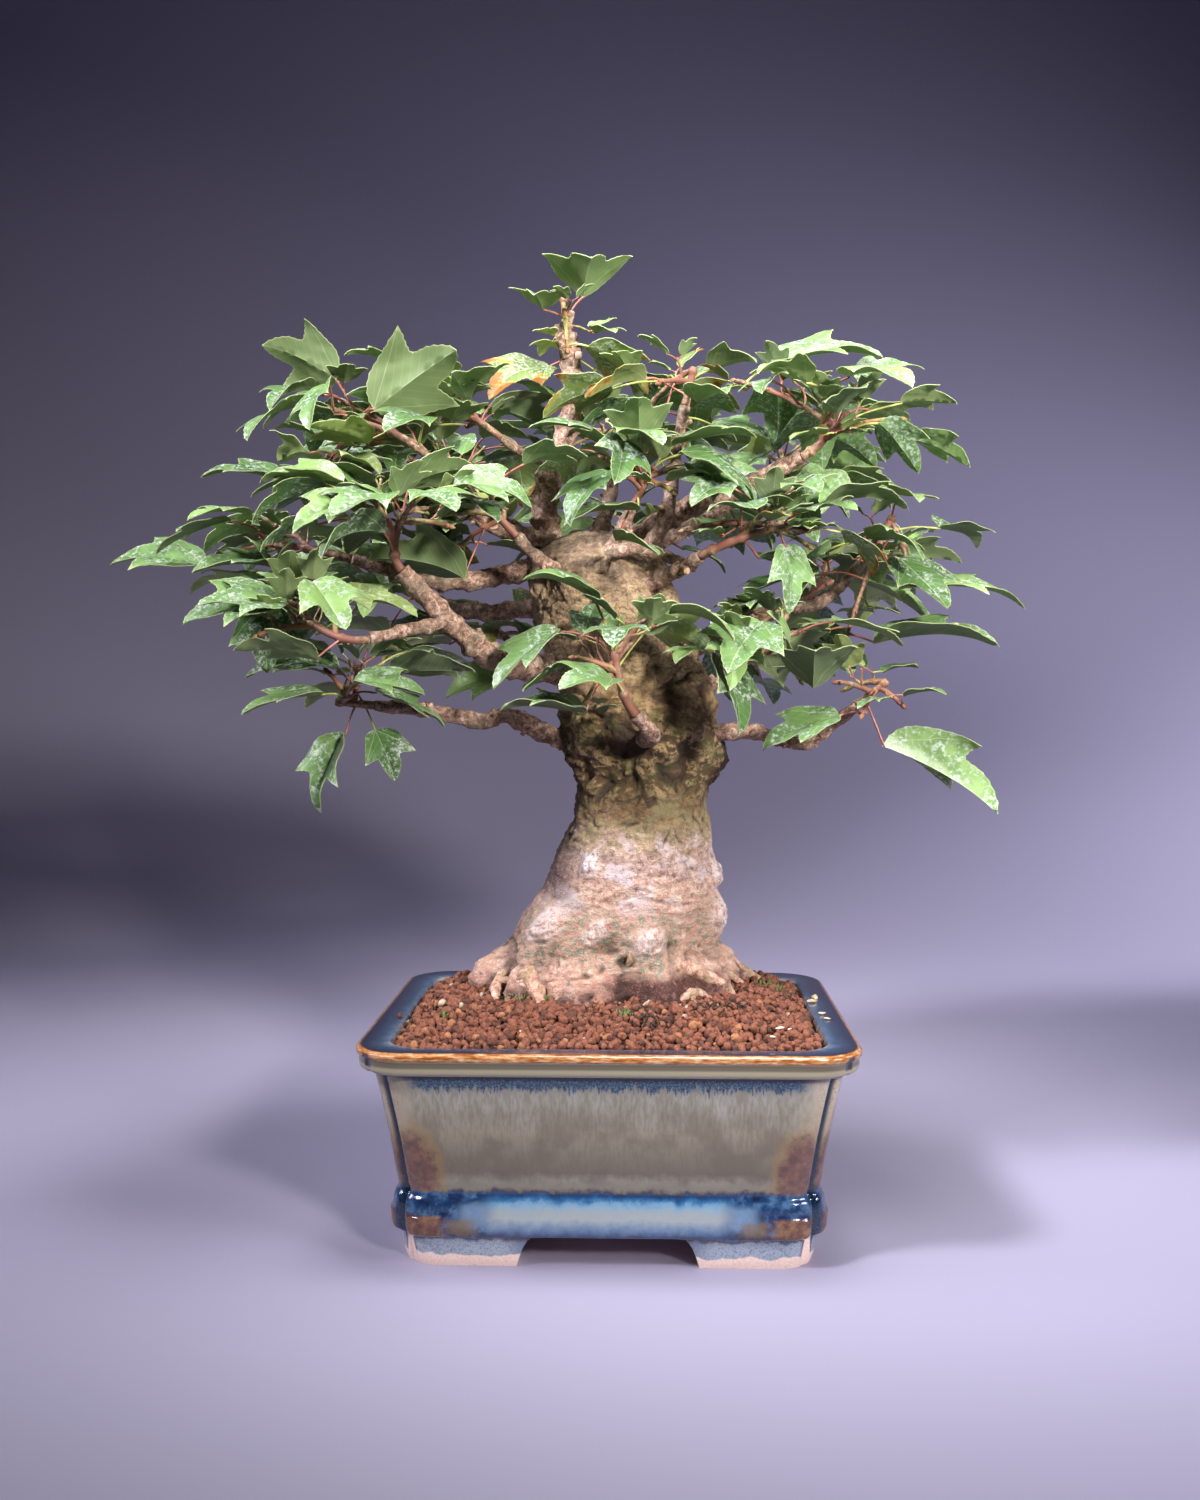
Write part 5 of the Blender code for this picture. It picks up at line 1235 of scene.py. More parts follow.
def grow_mass(mass, masses, taken):
    """Shoots to every side of the mass, with pairs of leaves that cross along each."""
    for index in range(mass.shoot_count):
        begin = 0.45 + 0.5 * (index + 1) / mass.shoot_count
        grow_shoot(mass, begin, shoot_target(mass, index), taken)
    for twig in mass.shoots + [mass.stem]:
        length = (twig.end - twig.start).length
        spots = [1.0 - (1.3 + NODE_SPACING * k) / length for k in range(int(length // NODE_SPACING) + 1)]
        for k, t in enumerate(spot for spot in spots if spot > 0.25):
            heading = twig.heading(t)
            side = heading.cross(Vector((0.0, 0.0, 1.0))).normalized()
            if k % 2:
                side = (side * 0.5 + side.cross(heading)).normalized()
            grow_leaf(mass, twig, t, side, masses, taken)
            grow_leaf(mass, twig, t, -side, masses, taken)
            if k == 0:
                grow_leaf(mass, twig, t, heading, masses, taken)


def grow_crown():
    """All the masses, grown one after another and each clear of the ones before."""
    taken = limb_obstacles()
    masses = [start_mass(name) for name in MASSES]
    taken += [obstacle(mass.stem, mass.stem.tube(4, 3)) for mass in masses]
    for mass in masses:
        grow_placed_leaves(mass, masses, taken)
    for mass in masses:
        grow_mass(mass, masses, taken)
    return masses


# %% Grow the crown
crown = grow_crown()
leaf_total = sum(len(mass.leaves) for mass in crown)
print("the crown has", leaf_total, "leaves on", sum(len(mass.shoots) for mass in crown), "shoots")

# %% [markdown]
# ## Bark
#
# Old trident maple bark is lumpy where it healed over cuts, wrinkled like folded cloth
# below, and split into plates above. A bump map can't change an outline, and here the
# bumps show at the trunk's edges, so the relief is in the mesh: a close grid round the
# trunk, pushed out and in by noise, by rings round each healed cut, by plates between
# cracks, and by roots that swell out of its foot. How deep a point lies in a crack, and
# how near it is to a healed cut, is kept with the point, so the finish can colour both.

# %% Relief of the trunk
BARK_SIDES = 300
BARK_LEVELS = 300
ROOT_MARKS = ((0.45, 109.0), (0.66, 98.0), (0.84, 88.0), (1.0, TRUNK_FOOT - 3.0))
SCARS = 6                     # the first swellings in the list are healed cuts


def root_reach(reach, height):
    """How far from the trunk's middle a surface root lies at a height."""
    if height >= ROOT_MARKS[0][1]:
        return reach * ROOT_MARKS[0][0] * 0.6
    for (far_a, high_a), (far_b, high_b) in zip(ROOT_MARKS, ROOT_MARKS[1:]):
        if height >= high_b:
            return reach * (far_a + (far_b - far_a) * (high_a - height) / (high_a - high_b))
    return reach


def with_roots(radius, bearing, height):
    """The trunk's radius with its surface roots melted in."""
    for root_bearing, reach, thickness in ROOTS:
        turn = (bearing - math.radians(root_bearing) + math.pi) % (2 * math.pi) - math.pi
        if abs(turn) > 0.9:
            continue
        half = thickness / 2 + 1.2
        aside = math.sin(turn) * radius
        lift = half * math.exp(-(aside / half) ** 2)
        far = root_reach(reach, height - lift)
        share = math.exp(-(aside / (half * 1.15)) ** 2)
        far = radius + (far - radius) * share if far > radius else far
        near = max(5.0 - abs(far - radius), 0.0) / 5.0
        radius = max(radius, far) + near * near * 5.0 * 0.25 * share
    return radius


def plates(spot, size):
    """Depth of the crack that a point lies in, 0 to 1, between plates of about that size."""
    (near, second, *_), _ = noise.voronoi(spot / size)
    return smoothstep(1.0 - (second - near) / 0.2)


def burls(spot, size):
    """Height of a rounded burl at a point, 0 in the creases to 1 at its middle."""
    (near, *_), _ = noise.voronoi(spot / size)
    return max(1.0 - (near * 1.25) ** 2, 0.0)


def healed_cuts(height, bearing, radius, warp):
    """Rise of the bark round old cuts, and how near a point is to one."""
    rise, scar = 0.0, 0.0
    for number, (cut_height, cut_bearing, spread, _) in enumerate(KNOBS):
        turn = (bearing - math.radians(cut_bearing) + math.pi) % (2 * math.pi) - math.pi
        away = math.hypot(turn * radius + warp.x * 0.3, height - cut_height + warp.y * 0.3)
        if away > spread * 1.9:
            continue
        edge = smoothstep((spread * 1.2 - away) / (spread * 0.9))
        ridge = math.sin(away * 2.1 + warp.x * 1.3 + turn * 3.0) * 0.3 - 0.5 * math.exp(-(away / 1.5) ** 2)
        moat = -0.5 * math.exp(-((away - spread * 1.05) / 2.2) ** 2) * (0.5 + 0.5 * math.sin(turn * 9.0 + warp.z))
        if number < SCARS:
            rise += edge * (ridge + 1.0) + moat
            scar = max(scar, 1.0 - away / (spread * 1.9))
        else:
            rise += edge * ridge * 0.7
    return rise, scar


def trunk_relief(spot, height, bearing, radius):
    """How far the bark stands out at a point, how deep in a crack it lies, and its scar."""
    burl = smoothstep((height - 152) / 12) * (1 - 0.75 * smoothstep((height - 192) / 14))
    flare = smoothstep((116 - height) / 24)
    flaky = smoothstep((height - 132) / 10) * (1 - smoothstep((height - 158) / 12))
    upper = smoothstep((height - 190) / 14)
    warp = noise.noise_vector(spot / 15) * (5 + 4 * burl)
    torn = noise.noise_vector(spot / 4.5) * 2.2
    lumps = noise.noise(spot / 12 + Vector((7, 3, 0))) * (0.9 + 0.9 * burl)
    lumps += noise.noise((spot + warp) / 5.5) * (0.5 + 0.5 * burl)
    knuckles = noise.noise((spot + torn * 1.5) / 4.0 + Vector((3, 0, 8)))
    lumps += knuckles * 1.3 * flare
    tops = burls(spot + warp * 0.6 + torn * 0.3, 11.5) * 0.75 + burls(spot + warp * 0.4 + torn * 0.5, 5.0) * 0.25
    flutes = noise.noise(Vector((spot.x / 11, spot.y / 11, (spot.z + warp.z) / 40)) + Vector((0, 5, 9)))
    wrinkled = Vector((spot.x / 8, spot.y / 8, (spot.z + warp.z * 0.8) / 2.4)) + torn * 0.08
    folds = noise.noise(wrinkled) * (0.75 - 0.3 * burl) + noise.noise(wrinkled * 2.1) * 0.45
    stretched = Vector((spot.x, spot.y, spot.z * 0.55)) + warp * 0.7 + torn * 0.7
    broken = smoothstep(noise.noise(spot / 6 + Vector((0, 11, 0))) * 2.2 + 0.35)
    crack = max(plates(stretched, 5.2) * broken * max(flaky, 0.7 * upper), plates(spot + torn, 2.7) * 0.45 * upper)
    grain = noise.noise(spot / 0.9) * 0.14 + noise.noise(spot / 2.0) * 0.26
    rise, scar = healed_cuts(height, bearing, radius, warp)
    relief = lumps + folds * (1 - 0.6 * scar) + grain + rise + flutes * 3.4 * flare
    relief += burl * (tops * 4.6 - 2.4) + upper * (tops * 1.6 - 0.8) - crack * 0.85 * (1 - scar)
    # How deep a point lies in cracks, creases and folds, which the finish darkens with brown and painted shade
    hollow = crack * (1 - scar) + max(0.0, -rise) * 0.4 + max(0.0, -flutes) * flare
    hollow += burl * smoothstep((0.42 - tops) / 0.4) * 0.8 + max(0.0, -folds) * 0.7 + max(0.0, -knuckles) * flare
    return relief, min(1.0, hollow), scar


def build_bark():
    """A fine grid round the trunk: its points, and how deep and how scarred each is."""
    top = TRUNK_ROWS[-1][0]
    rows, hollows, scars = [], [], []
    for level in range(BARK_LEVELS + 1):
        part = level / BARK_LEVELS
        height = TRUNK_FOOT - 1.5 + (top - TRUNK_FOOT + 1.5) * part
        x, y = trunk_row(max(height, TRUNK_FOOT))[:2]
        calm = smoothstep((top - height) / 3.0)
        for k in range(BARK_SIDES):
            bearing = 2 * math.pi * k / BARK_SIDES
            plain = trunk_point(max(height, TRUNK_FOOT), bearing)
            radius = math.hypot(plain.x - x, plain.y - y)
            if height < 116:
                radius = with_roots(radius, bearing, height)
            c, s = math.cos(bearing), math.sin(bearing)
            relief, hollow, scar = trunk_relief(Vector((x + c * radius, y + s * radius, height)), height, bearing, radius)
            radius += relief * calm
            rows.append((x + c * radius, y + s * radius, height))
            hollows.append(hollow)
            scars.append(scar)
    return rows, hollows, scars


bark_points, bark_hollows, bark_scars = build_bark()
index = np.arange(BARK_LEVELS * BARK_SIDES).reshape(BARK_LEVELS, BARK_SIDES)
turned = np.roll(index, -1, axis=1)
bark_faces = np.stack([index, turned, turned + BARK_SIDES, index + BARK_SIDES], axis=-1).reshape(-1, 4)
print("bark grid of", len(bark_points), "points, about", round(173 / BARK_LEVELS, 2), "mm apart")

# %% [markdown]
# ## The bark's finish
#
# By height the bark is pink and cream at the flare, lilac-grey where it is thin over the
# waist, dark olive in the damp burled part under the crown, and pale tan above. Moss and
# grey-green algae grow round the healed cuts, which are cream. Cracks are brown, and the
# deep places of the relief get painted shade, the burls' tops a painted highlight, and the
# trunk's left side painted shade. Dry bark is matte, so its roughness is high.

# %% Where a point of the bark lies
trunk_bark, tree = new_finish("old_maple_bark")
spot = add(tree, "TexCoord", out="Object")
spot = add(tree, "VectorMath", {0: spot, "Scale": 1000.0}, operation="SCALE")
across, deep, height = add(tree, "SeparateXYZ", {0: spot}, out=None)
patch = add(tree, "TexNoise", {"Vector": spot, "Scale": 0.10, "Detail": 5.0, "Roughness": 0.6, "Distortion": 0.6})
mottle = add(tree, "TexNoise", {"Vector": spot, "Scale": 0.42, "Detail": 6.0, "Roughness": 0.68})
fine = add(tree, "TexNoise", {"Vector": spot, "Scale": 1.6, "Detail": 5.0, "Roughness": 0.7})
flat_spot = add(tree, "VectorMath", {0: spot, 1: (0.6, 0.6, 1.1)}, operation="MULTIPLY")
wrinkle = add(tree, "TexNoise", {"Vector": flat_spot, "Scale": 0.75, "Detail": 4.0, "Roughness": 0.6,
                                 "Distortion": 0.8})
hollow = add(tree, "Attribute", out="Fac", attribute_name="hollow")
scar = add(tree, "Attribute", out="Fac", attribute_name="scar")
wander = add(tree, "Math", {0: patch, 1: 34.0, 2: height}, operation="MULTIPLY_ADD")
wander = add(tree, "MapRange", {"Value": wander, "From Min": 92.0, "From Max": 272.0})

# %% Coats of the bark
BARK_STOPS = (
    (80, "#be9b8d"), (92, "#ddc3b8"), (104, "#d5beb1"), (118, "#d0baac"), (128, "#c6b4b0"), (138, "#b59a80"),
    (146, "#96805f"), (154, "#786549"), (161, "#5c4a30"), (172, "#4b3c25"), (182, "#604d31"), (190, "#8f7958"),
    (200, "#bba884"), (225, "#b9a58a"), (250, "#8f7b6a"),
)
tone = add(tree, "ValToRGB", {"Fac": wander}, stops=[((z - 75) / 180, code) for z, code in BARK_STOPS])
speck = add(tree, "ValToRGB", {"Fac": mottle}, stops=[(0.30, "#43382f"), (0.45, "#94806f"), (0.57, "#bfaea0"),
                                                       (0.72, "#f0e6de")])
tone = add(tree, "Mix", {0: 0.62, 6: tone, 7: speck}, out=2, data_type="RGBA", blend_type="OVERLAY")
moss = add(tree, "ValToRGB", {"Fac": fine}, stops=[(0.35, "#32402a"), (0.52, "#66745a"), (0.7, "#a3ab90")])
flecked = add(tree, "ValToRGB", {"Fac": fine}, stops=[(0.42, "#3a201f"), (0.55, "#5b3431"), (0.64, "#a8664c")])
BARK_COATS = (
    # Thin lilac skin over the waist, with dark specks, and painted shade on the trunk's left side
    ("#ddd0d8", 0.55, (patch, 0.48, 0.58), (height, 108.0, 120.0), (height, 148.0, 134.0)),
    ("#54495a", 0.6, (mottle, 0.44, 0.36), (height, 112.0, 124.0), (height, 152.0, 142.0)),
    # Painted shade: the trunk's left side, away from the light, is darkened
    ("#6b5350", 0.75, (across, -10.0, -19.0), (height, 113.0, 121.0), (height, 160.0, 148.0)),
    # Tan tops of the burls, partly their bark and partly a painted highlight, with olive moss, and painted shade in the
    # creases between them, laid with the cracks below
    ("#b2966c", 0.7, (hollow, 0.12, 0.0), (mottle, 0.42, 0.52), (height, 150.0, 160.0), (height, 202.0, 188.0)),
    ("#84855f", 0.5, (patch, 0.56, 0.44), (height, 132.0, 142.0), (height, 160.0, 150.0)),
    ("#4d4f27", 0.6, (patch, 0.50, 0.58), (height, 152.0, 162.0), (height, 196.0, 184.0)),
    ("#a9a262", 0.35, (mottle, 0.50, 0.60), (height, 190.0, 202.0)),
    # Healed cuts are cream and lilac in patches, with moss round them
    ("#efe2e2", 0.65, (scar, 0.45, 0.8), (mottle, 0.38, 0.52)),
    (moss, 0.7, (scar, 0.0, 0.35), (scar, 0.7, 0.4), (mottle, 0.42, 0.58), (height, 125.0, 108.0)),
    (moss, 0.7, (height, 92.0, 99.0), (height, 118.0, 104.0), (mottle, 0.44, 0.60), (patch, 0.50, 0.58)),
    # Thin brown wrinkles and cream ridges round the flare and the waist, with dark pits
    ("#8a6a58", 0.5, (wrinkle, 0.44, 0.36), (mottle, 0.56, 0.48), (height, 84.0, 94.0), (height, 154.0, 142.0)),
    ("#f4e6dc", 0.4, (wrinkle, 0.56, 0.66), (mottle, 0.44, 0.54), (height, 86.0, 96.0), (height, 150.0, 138.0)),
    ("#553c34", 0.6, (fine, 0.43, 0.34), (patch, 0.56, 0.46), (height, 146.0, 132.0)),
    # Fine dark wrinkles in the upper trunk
    ("#6a5646", 0.6, (wrinkle, 0.48, 0.38), (height, 192.0, 204.0)),
    # Old wet root mat under the front right of the flare
    (flecked, 0.92, (across, -6.0, 4.0), (across, 46.0, 38.0), (height, 93.0, 88.0), (mottle, 0.36, 0.46)),
    ("#4a2d2a", 0.8, (height, 88.0, 83.0), (patch, 0.48, 0.56)),
    # Darker where the relief lies deep: the brown of the cracks, and painted shade in the creases, folds and hollows
    ("#33251a", 0.75, (hollow, 0.15, 0.9)),
)
tone = lay_coats(tree, tone, BARK_COATS)
relief = add(tree, "Math", {0: wrinkle, 1: 0.9, 2: fine}, operation="MULTIPLY_ADD")
relief = add(tree, "Math", {0: mottle, 1: 1.2, 2: relief}, operation="MULTIPLY_ADD")
bump = add(tree, "Bump", {"Height": relief, "Strength": 1.0, "Distance": 0.001})
shader = add(tree, "BsdfPrincipled", {"Base Color": tone, "Roughness": 0.82, "Normal": bump})
add(tree, "OutputMaterial", {"Surface": shader}, out=None)

bark = place("trunk_bark", bark_points, bark_faces, [trunk_bark], ["trunk"])
for name, values in (("hollow", bark_hollows), ("scar", bark_scars)):
    attribute = bark.data.attributes.new(name, "FLOAT", "POINT")
    attribute.data.foreach_set("value", np.asarray(values, np.float32))
print("bark:", len(tree.nodes), "nodes,", len(BARK_COATS), "coats")

# %% [markdown]
# ## Boughs and loose roots
#
# A bonsai bough is cut back every year, so it is a chain of short stretches with a knot at
# each old cut. A plain tapered tube would look like a hose. Each tube here swells at its
# knots, is pushed in and out by noise, and has the flaky bark of young maple wood. Old
# cuts leave short stubs with a pale end. The loose roots on the soil are made the same way
# from their own points, read off the photograph one by one.

# %% Rough limbs
KNOT_GAP = 9.5                # between knots along a bough


def rough_limb(path_points, root, tip, sides, step, seed, knot_rise=0.22, flake=0.32):
    """Rings, in millimetres, of a limb with knots and flaking bark."""
    path = smooth_path(path_points, 10)
    runs = [0.0]
    for a, b in zip(path, path[1:]):
        runs.append(runs[-1] + (b - a).length)
    count = max(int(runs[-1] / step), 4)
    spots = np.linspace(0.0, runs[-1], count + 1)
    line = [Vector([float(np.interp(s, runs, [p[k] for p in path])) for k in range(3)]) for s in spots]
    radii = [root + (tip - root) * s / runs[-1] for s in spots]
    rings = rings_along(line, radii, sides)
    shift = Vector((seed * 13.7, seed * 5.1, seed * 9.3))
    for ring, middle, radius, run in zip(rings, line, radii, spots):
        phase = (run + 2.5 * noise.noise(Vector((run / 14, seed, 0)))) / KNOT_GAP
        near = abs(phase - round(phase)) * KNOT_GAP
        knot = knot_rise * math.exp(-(near / 1.5) ** 2)
        knot *= 1.0 + 0.8 * noise.noise(Vector((round(phase) * 3.1, seed, 4)))
        fade = smoothstep((runs[-1] - run) / 2.0)
        for k, point in enumerate(ring):
            out = (point - middle) / radius
            here = point + shift
            lump = noise.noise(here / 5.5) * 0.22 + noise.noise(here / 2.2) * 0.14
            lump += noise.noise(here / 1.3) * flake / max(radius, 1.6) * 0.7
            ring[k] = middle + out * radius * (1.0 + knot + lump * (0.4 + 0.6 * fade))
    return rings


class Heap:
    """Vertices, faces and finish numbers of many small bodies that become one mesh."""

    def __init__(self):
        self.verts = []
        self.faces = []
        self.picks = []

    def put(self, body, pick=0):
        """Adds a body's vertices and faces, all of one finish or each face of its own."""
        start = len(self.verts)
        self.verts.extend(tuple(v) for v in body[0])
        self.faces.extend(tuple(start + i for i in face) for face in body[1])
        self.picks.extend(pick if isinstance(pick, list) else [pick] * len(body[1]))


# %% Bark of the boughs and of the roots
# Name, tones of the mottling from dark to light, a clouded tone, a tone of the small cracks
LIMB_TONES = (
    ("young_maple_bark", ("#33241b", "#735747", "#a88672", "#cdb3a3", "#e6d8cd"), "#6f6753", "#40291f"),
    ("root_bark", ("#6e4436", "#b98873", "#dcb49d", "#ecccb9", "#f4ddd0"), "#8d8457", "#5a3329"),
)
limb_finishes = []
for name, mottles, cloud_tone, crack_tone in LIMB_TONES:
    finish, tree = new_finish(name)
    spot = add(tree, "TexCoord", out="Object")
    spot = add(tree, "VectorMath", {0: spot, "Scale": 1000.0}, operation="SCALE")
    mottle = add(tree, "TexNoise", {"Vector": spot, "Scale": 0.5, "Detail": 6.0, "Roughness": 0.7, "Distortion": 0.5})
    fine = add(tree, "TexNoise", {"Vector": spot, "Scale": 2.2, "Detail": 4.0, "Roughness": 0.7})
    patch = add(tree, "TexNoise", {"Vector": spot, "Scale": 0.12, "Detail": 3.0})
    tone = add(tree, "ValToRGB", {"Fac": mottle}, stops=list(zip((0.30, 0.42, 0.53, 0.62, 0.74), mottles)))
    tone = lay_coats(tree, tone, ((cloud_tone, 0.5, (patch, 0.48, 0.62)), (crack_tone, 0.65, (fine, 0.46, 0.36))))
    relief = add(tree, "Math", {0: mottle, 1: 0.8, 2: fine}, operation="MULTIPLY_ADD")
    bump = add(tree, "Bump", {"Height": relief, "Strength": 0.85, "Distance": 0.0008})
    shader = add(tree, "BsdfPrincipled", {"Base Color": tone, "Roughness": 0.8, "Normal": bump})
    add(tree, "OutputMaterial", {"Surface": shader}, out=None)
    limb_finishes.append(finish)
bough_bark, root_bark = limb_finishes

cut_wood, tree = new_finish("cut_maple_wood")
spot = add(tree, "TexCoord", out="Object")
grain = add(tree, "TexNoise", {"Vector": spot, "Scale": 900.0, "Detail": 3.0})
tone = add(tree, "ValToRGB", {"Fac": grain}, stops=[(0.35, "#8d6b50"), (0.65, "#d0ab86")])
shader = add(tree, "BsdfPrincipled", {"Base Color": tone, "Roughness": 0.85})
add(tree, "OutputMaterial", {"Surface": shader}, out=None)

# %% Boughs with the stubs of old cuts
STUB_GAP = 17.0               # between stubs along a bough
stub_rng = random.Random(21)


def stub(root, heading, length, radius, seed):
    """A short cut twig: its body, and a finish number for each face, 1 for the cut end."""
    bend = heading.orthogonal().normalized() * length * 0.12
    points = [root - heading * radius, root + heading * length * 0.5 + bend, root + heading * length]
    rings = rough_limb(points, radius * 1.25, radius, 9, 0.7, seed, 0.1, 0.4)
    verts, faces = closed_loft(rings)
    return (verts, faces), [0] * (len(faces) - 1) + [1]


for number, (name, (parent, root, tip, points)) in enumerate(BOUGHS.items()):
    heap = Heap()
    heap.put(closed_loft(rough_limb(points, root, tip, 18 if root > 3.5 else 14, 0.8, number + 1)))
    path = smooth_path(points, 10)
    radii = taper(path, root, tip)
    length = sum((b - a).length for a, b in zip(path, path[1:]))
    for k in range(int(length / STUB_GAP)):
        at = min(int((k + stub_rng.uniform(0.5, 1.1)) * STUB_GAP / length * len(path)), len(path) - 3)
        ahead = (path[at + 1] - path[at]).normalized()
        turn = stub_rng.uniform(0.0, 2 * math.pi)
        side = ahead.orthogonal().normalized()
        side = side * math.cos(turn) + ahead.cross(side) * math.sin(turn)
        heading = (side + ahead * stub_rng.uniform(0.2, 0.9)).normalized()
        reach = stub_rng.uniform(1.8, 4.6)
        body, picks = stub(path[at] + side * radii[at] * 0.6, heading, reach, stub_rng.uniform(0.7, 1.25), number + k)
        heap.put(body, picks)
    place(name + "_bark", heap.verts, heap.faces, [bough_bark, cut_wood], [name], picks=heap.picks)

# %% Cut ends on the leader, and the loose roots
# Thickness in mm at both ends, and the points passed
CUT_BRANCHES = (
    (2.1, 1.4, ((-16.8, 14.0, 320.0), (-19.4, 12.0, 326.0), (-20.4, 11.5, 331.5))),
    (1.7, 1.2, ((-16.0, 14.5, 313.0), (-13.4, 12.6, 317.5), (-12.6, 12.0, 321.5))),
    (1.5, 1.1, ((-17.0, 15.0, 326.0), (-16.6, 14.0, 332.0), (-15.2, 13.4, 337.0))),
    (2.8, 1.9, ((-5.0, 2.0, 243.0), (6.0, -5.0, 246.0), (19.0, -6.0, 243.5), (31.0, -4.0, 239.5))),
)
LOOSE_ROOTS = (
    (3.2, 1.1, ((-35.0, 20.0, 92.0), (-42.2, 20.5, 87.0), (-49.0, 20.5, 83.0), (-56.0, 20.3, 79.0))),
    (1.5, 1.2, ((-46.0, 6.0, 79.5), (-43.2, 2.0, 84.5), (-38.5, -3.5, 87.0), (-33.5, -7.6, 86.5), (-29.0, -8.6, 84.5),
                (-27.2, -7.4, 79.0))),
    (2.0, 1.3, ((-41.0, 2.0, 88.0), (-42.6, -5.0, 85.5), (-42.2, -11.0, 82.5), (-41.3, -15.0, 77.5))),
    (4.2, 2.4, ((-22.0, -4.0, 90.0), (-18.6, -9.9, 85.5), (-12.0, -13.5, 82.5), (-4.0, -14.5, 79.0))),
    (3.6, 1.4, ((-31.0, -5.5, 90.0), (-27.0, -12.0, 84.5), (-25.0, -17.0, 80.5), (-24.0, -20.0, 77.5))),
    (4.4, 1.7, ((6.0, -9.5, 98.0), (18.0, -8.6, 95.5), (28.0, -5.0, 92.0), (35.5, -2.0, 88.5), (42.0, 0.6, 84.0),
                (46.5, 1.8, 78.5))),
    (2.2, 1.0, ((36.0, -5.0, 79.5), (31.5, -8.6, 83.5), (26.5, -14.5, 83.0), (22.5, -19.5, 80.5), (18.5, -23.0, 77.5))),
    (1.8, 0.9, ((29.0, -11.0, 83.0), (30.5, -16.5, 80.5), (32.0, -20.0, 77.5))),
    (3.0, 1.2, ((37.0, 22.0, 94.0), (44.5, 25.5, 89.5), (51.5, 28.0, 84.5), (61.0, 30.5, 79.0))),
    (2.0, 0.9, ((38.0, 14.0, 90.0), (46.0, 15.0, 85.0), (53.0, 17.0, 79.0))),
    (3.4, 1.4, ((4.0, 44.0, 92.0), (8.0, 50.0, 86.0), (15.0, 55.0, 79.0))),
    (3.0, 1.3, ((-24.0, 40.0, 92.0), (-31.0, 46.0, 86.0), (-36.0, 53.0, 79.0))),
)
heap = Heap()
for number, (root, tip, points) in enumerate(CUT_BRANCHES):
    verts, faces = closed_loft(rough_limb(points, root, tip, 12, 0.6, number + 60, 0.16, 0.5))
    heap.put((verts, faces), [0] * (len(faces) - 1) + [1])
place("cut_branches", heap.verts, heap.faces, [bough_bark, cut_wood], ["leader"], picks=heap.picks)
heap = Heap()
for number, (root, tip, points) in enumerate(LOOSE_ROOTS):
    heap.put(closed_loft(rough_limb(points, root, tip, 14, 0.6, number + 40, 0.2, 0.45)))
place("loose_roots", heap.verts, heap.faces, [root_bark], ["trunk"])

# %% [markdown]
# ## Twigs
#
# Each mass hangs on a stem with shoots. Twigs of a maple have a swollen joint wherever a
# pair of leaves or buds stands. The thin ones are green or red-brown. Between the joints
# finer twigs grow out, each with a bud, and most with a pair of new leaves. They are
# many, so they are joined into one mesh.

# %% Stems and shoots with joints
def jointed_twig(twig, steps, sides, joints, seed):
    """A twig's closed body, with a swelling at each joint."""
    spots = [i / steps for i in range(steps + 1)]
    line = [twig.at(t) for t in spots]
    length = (twig.end - twig.start).length
    radii = []
    for t in spots:
        swell = sum(0.45 * math.exp(-((t - j) * length / 0.9) ** 2) for j in joints)
        rough = 0.12 * noise.noise(Vector((t * length / 2.5, seed, 1)))
        radii.append((twig.radii[0] + (twig.radii[1] - twig.radii[0]) * t) * (1 + swell + rough))
    return closed_loft(rings_along(line, radii, sides, [twig.heading(t) for t in spots]))


def joints_of(twig):
    """Where along a twig its pairs of leaves stand."""
    length = (twig.end - twig.start).length
    spots = [1.0 - (1.3 + NODE_SPACING * k) / length for k in range(int(length // NODE_SPACING) + 1)]
    return [t for t in spots if t > 0.12]


def bud(root, heading, size):
    """A pointed bud, one short tube that swells and closes to a point."""
    ends = [root + heading * size * t for t in (0.0, 0.25, 0.55, 0.8, 1.0)]
    return closed_loft(rings_along(ends, [size * r for r in (0.22, 0.36, 0.33, 0.18, 0.03)], 7))


# %% Twig bark in two shades, and one mesh of twigs
twig_finishes = []
for name, shades, cloud_tone in (("brown_twig_bark", ("#433122", "#7d624a", "#b09478"), "#74493a"),
                                 ("green_twig_bark", ("#4c4a26", "#7f7a43", "#a9a067"), "#8a5a44")):
    finish, tree = new_finish(name)
    spot = add(tree, "TexCoord", out="Object")
    mottle = add(tree, "TexNoise", {"Vector": spot, "Scale": 700.0, "Detail": 4.0, "Roughness": 0.65})
    patch = add(tree, "TexNoise", {"Vector": spot, "Scale": 60.0, "Detail": 2.0})
    tone = add(tree, "ValToRGB", {"Fac": mottle}, stops=list(zip((0.34, 0.5, 0.66), shades)))
    tone = lay_coats(tree, tone, ((cloud_tone, 1.0, (patch, 0.42, 0.6)),))
    bump = add(tree, "Bump", {"Height": mottle, "Strength": 0.5, "Distance": 0.0003})
    shader = add(tree, "BsdfPrincipled", {"Base Color": tone, "Roughness": 0.62, "Normal": bump})
    add(tree, "OutputMaterial", {"Surface": shader}, out=None)
    twig_finishes.append(finish)

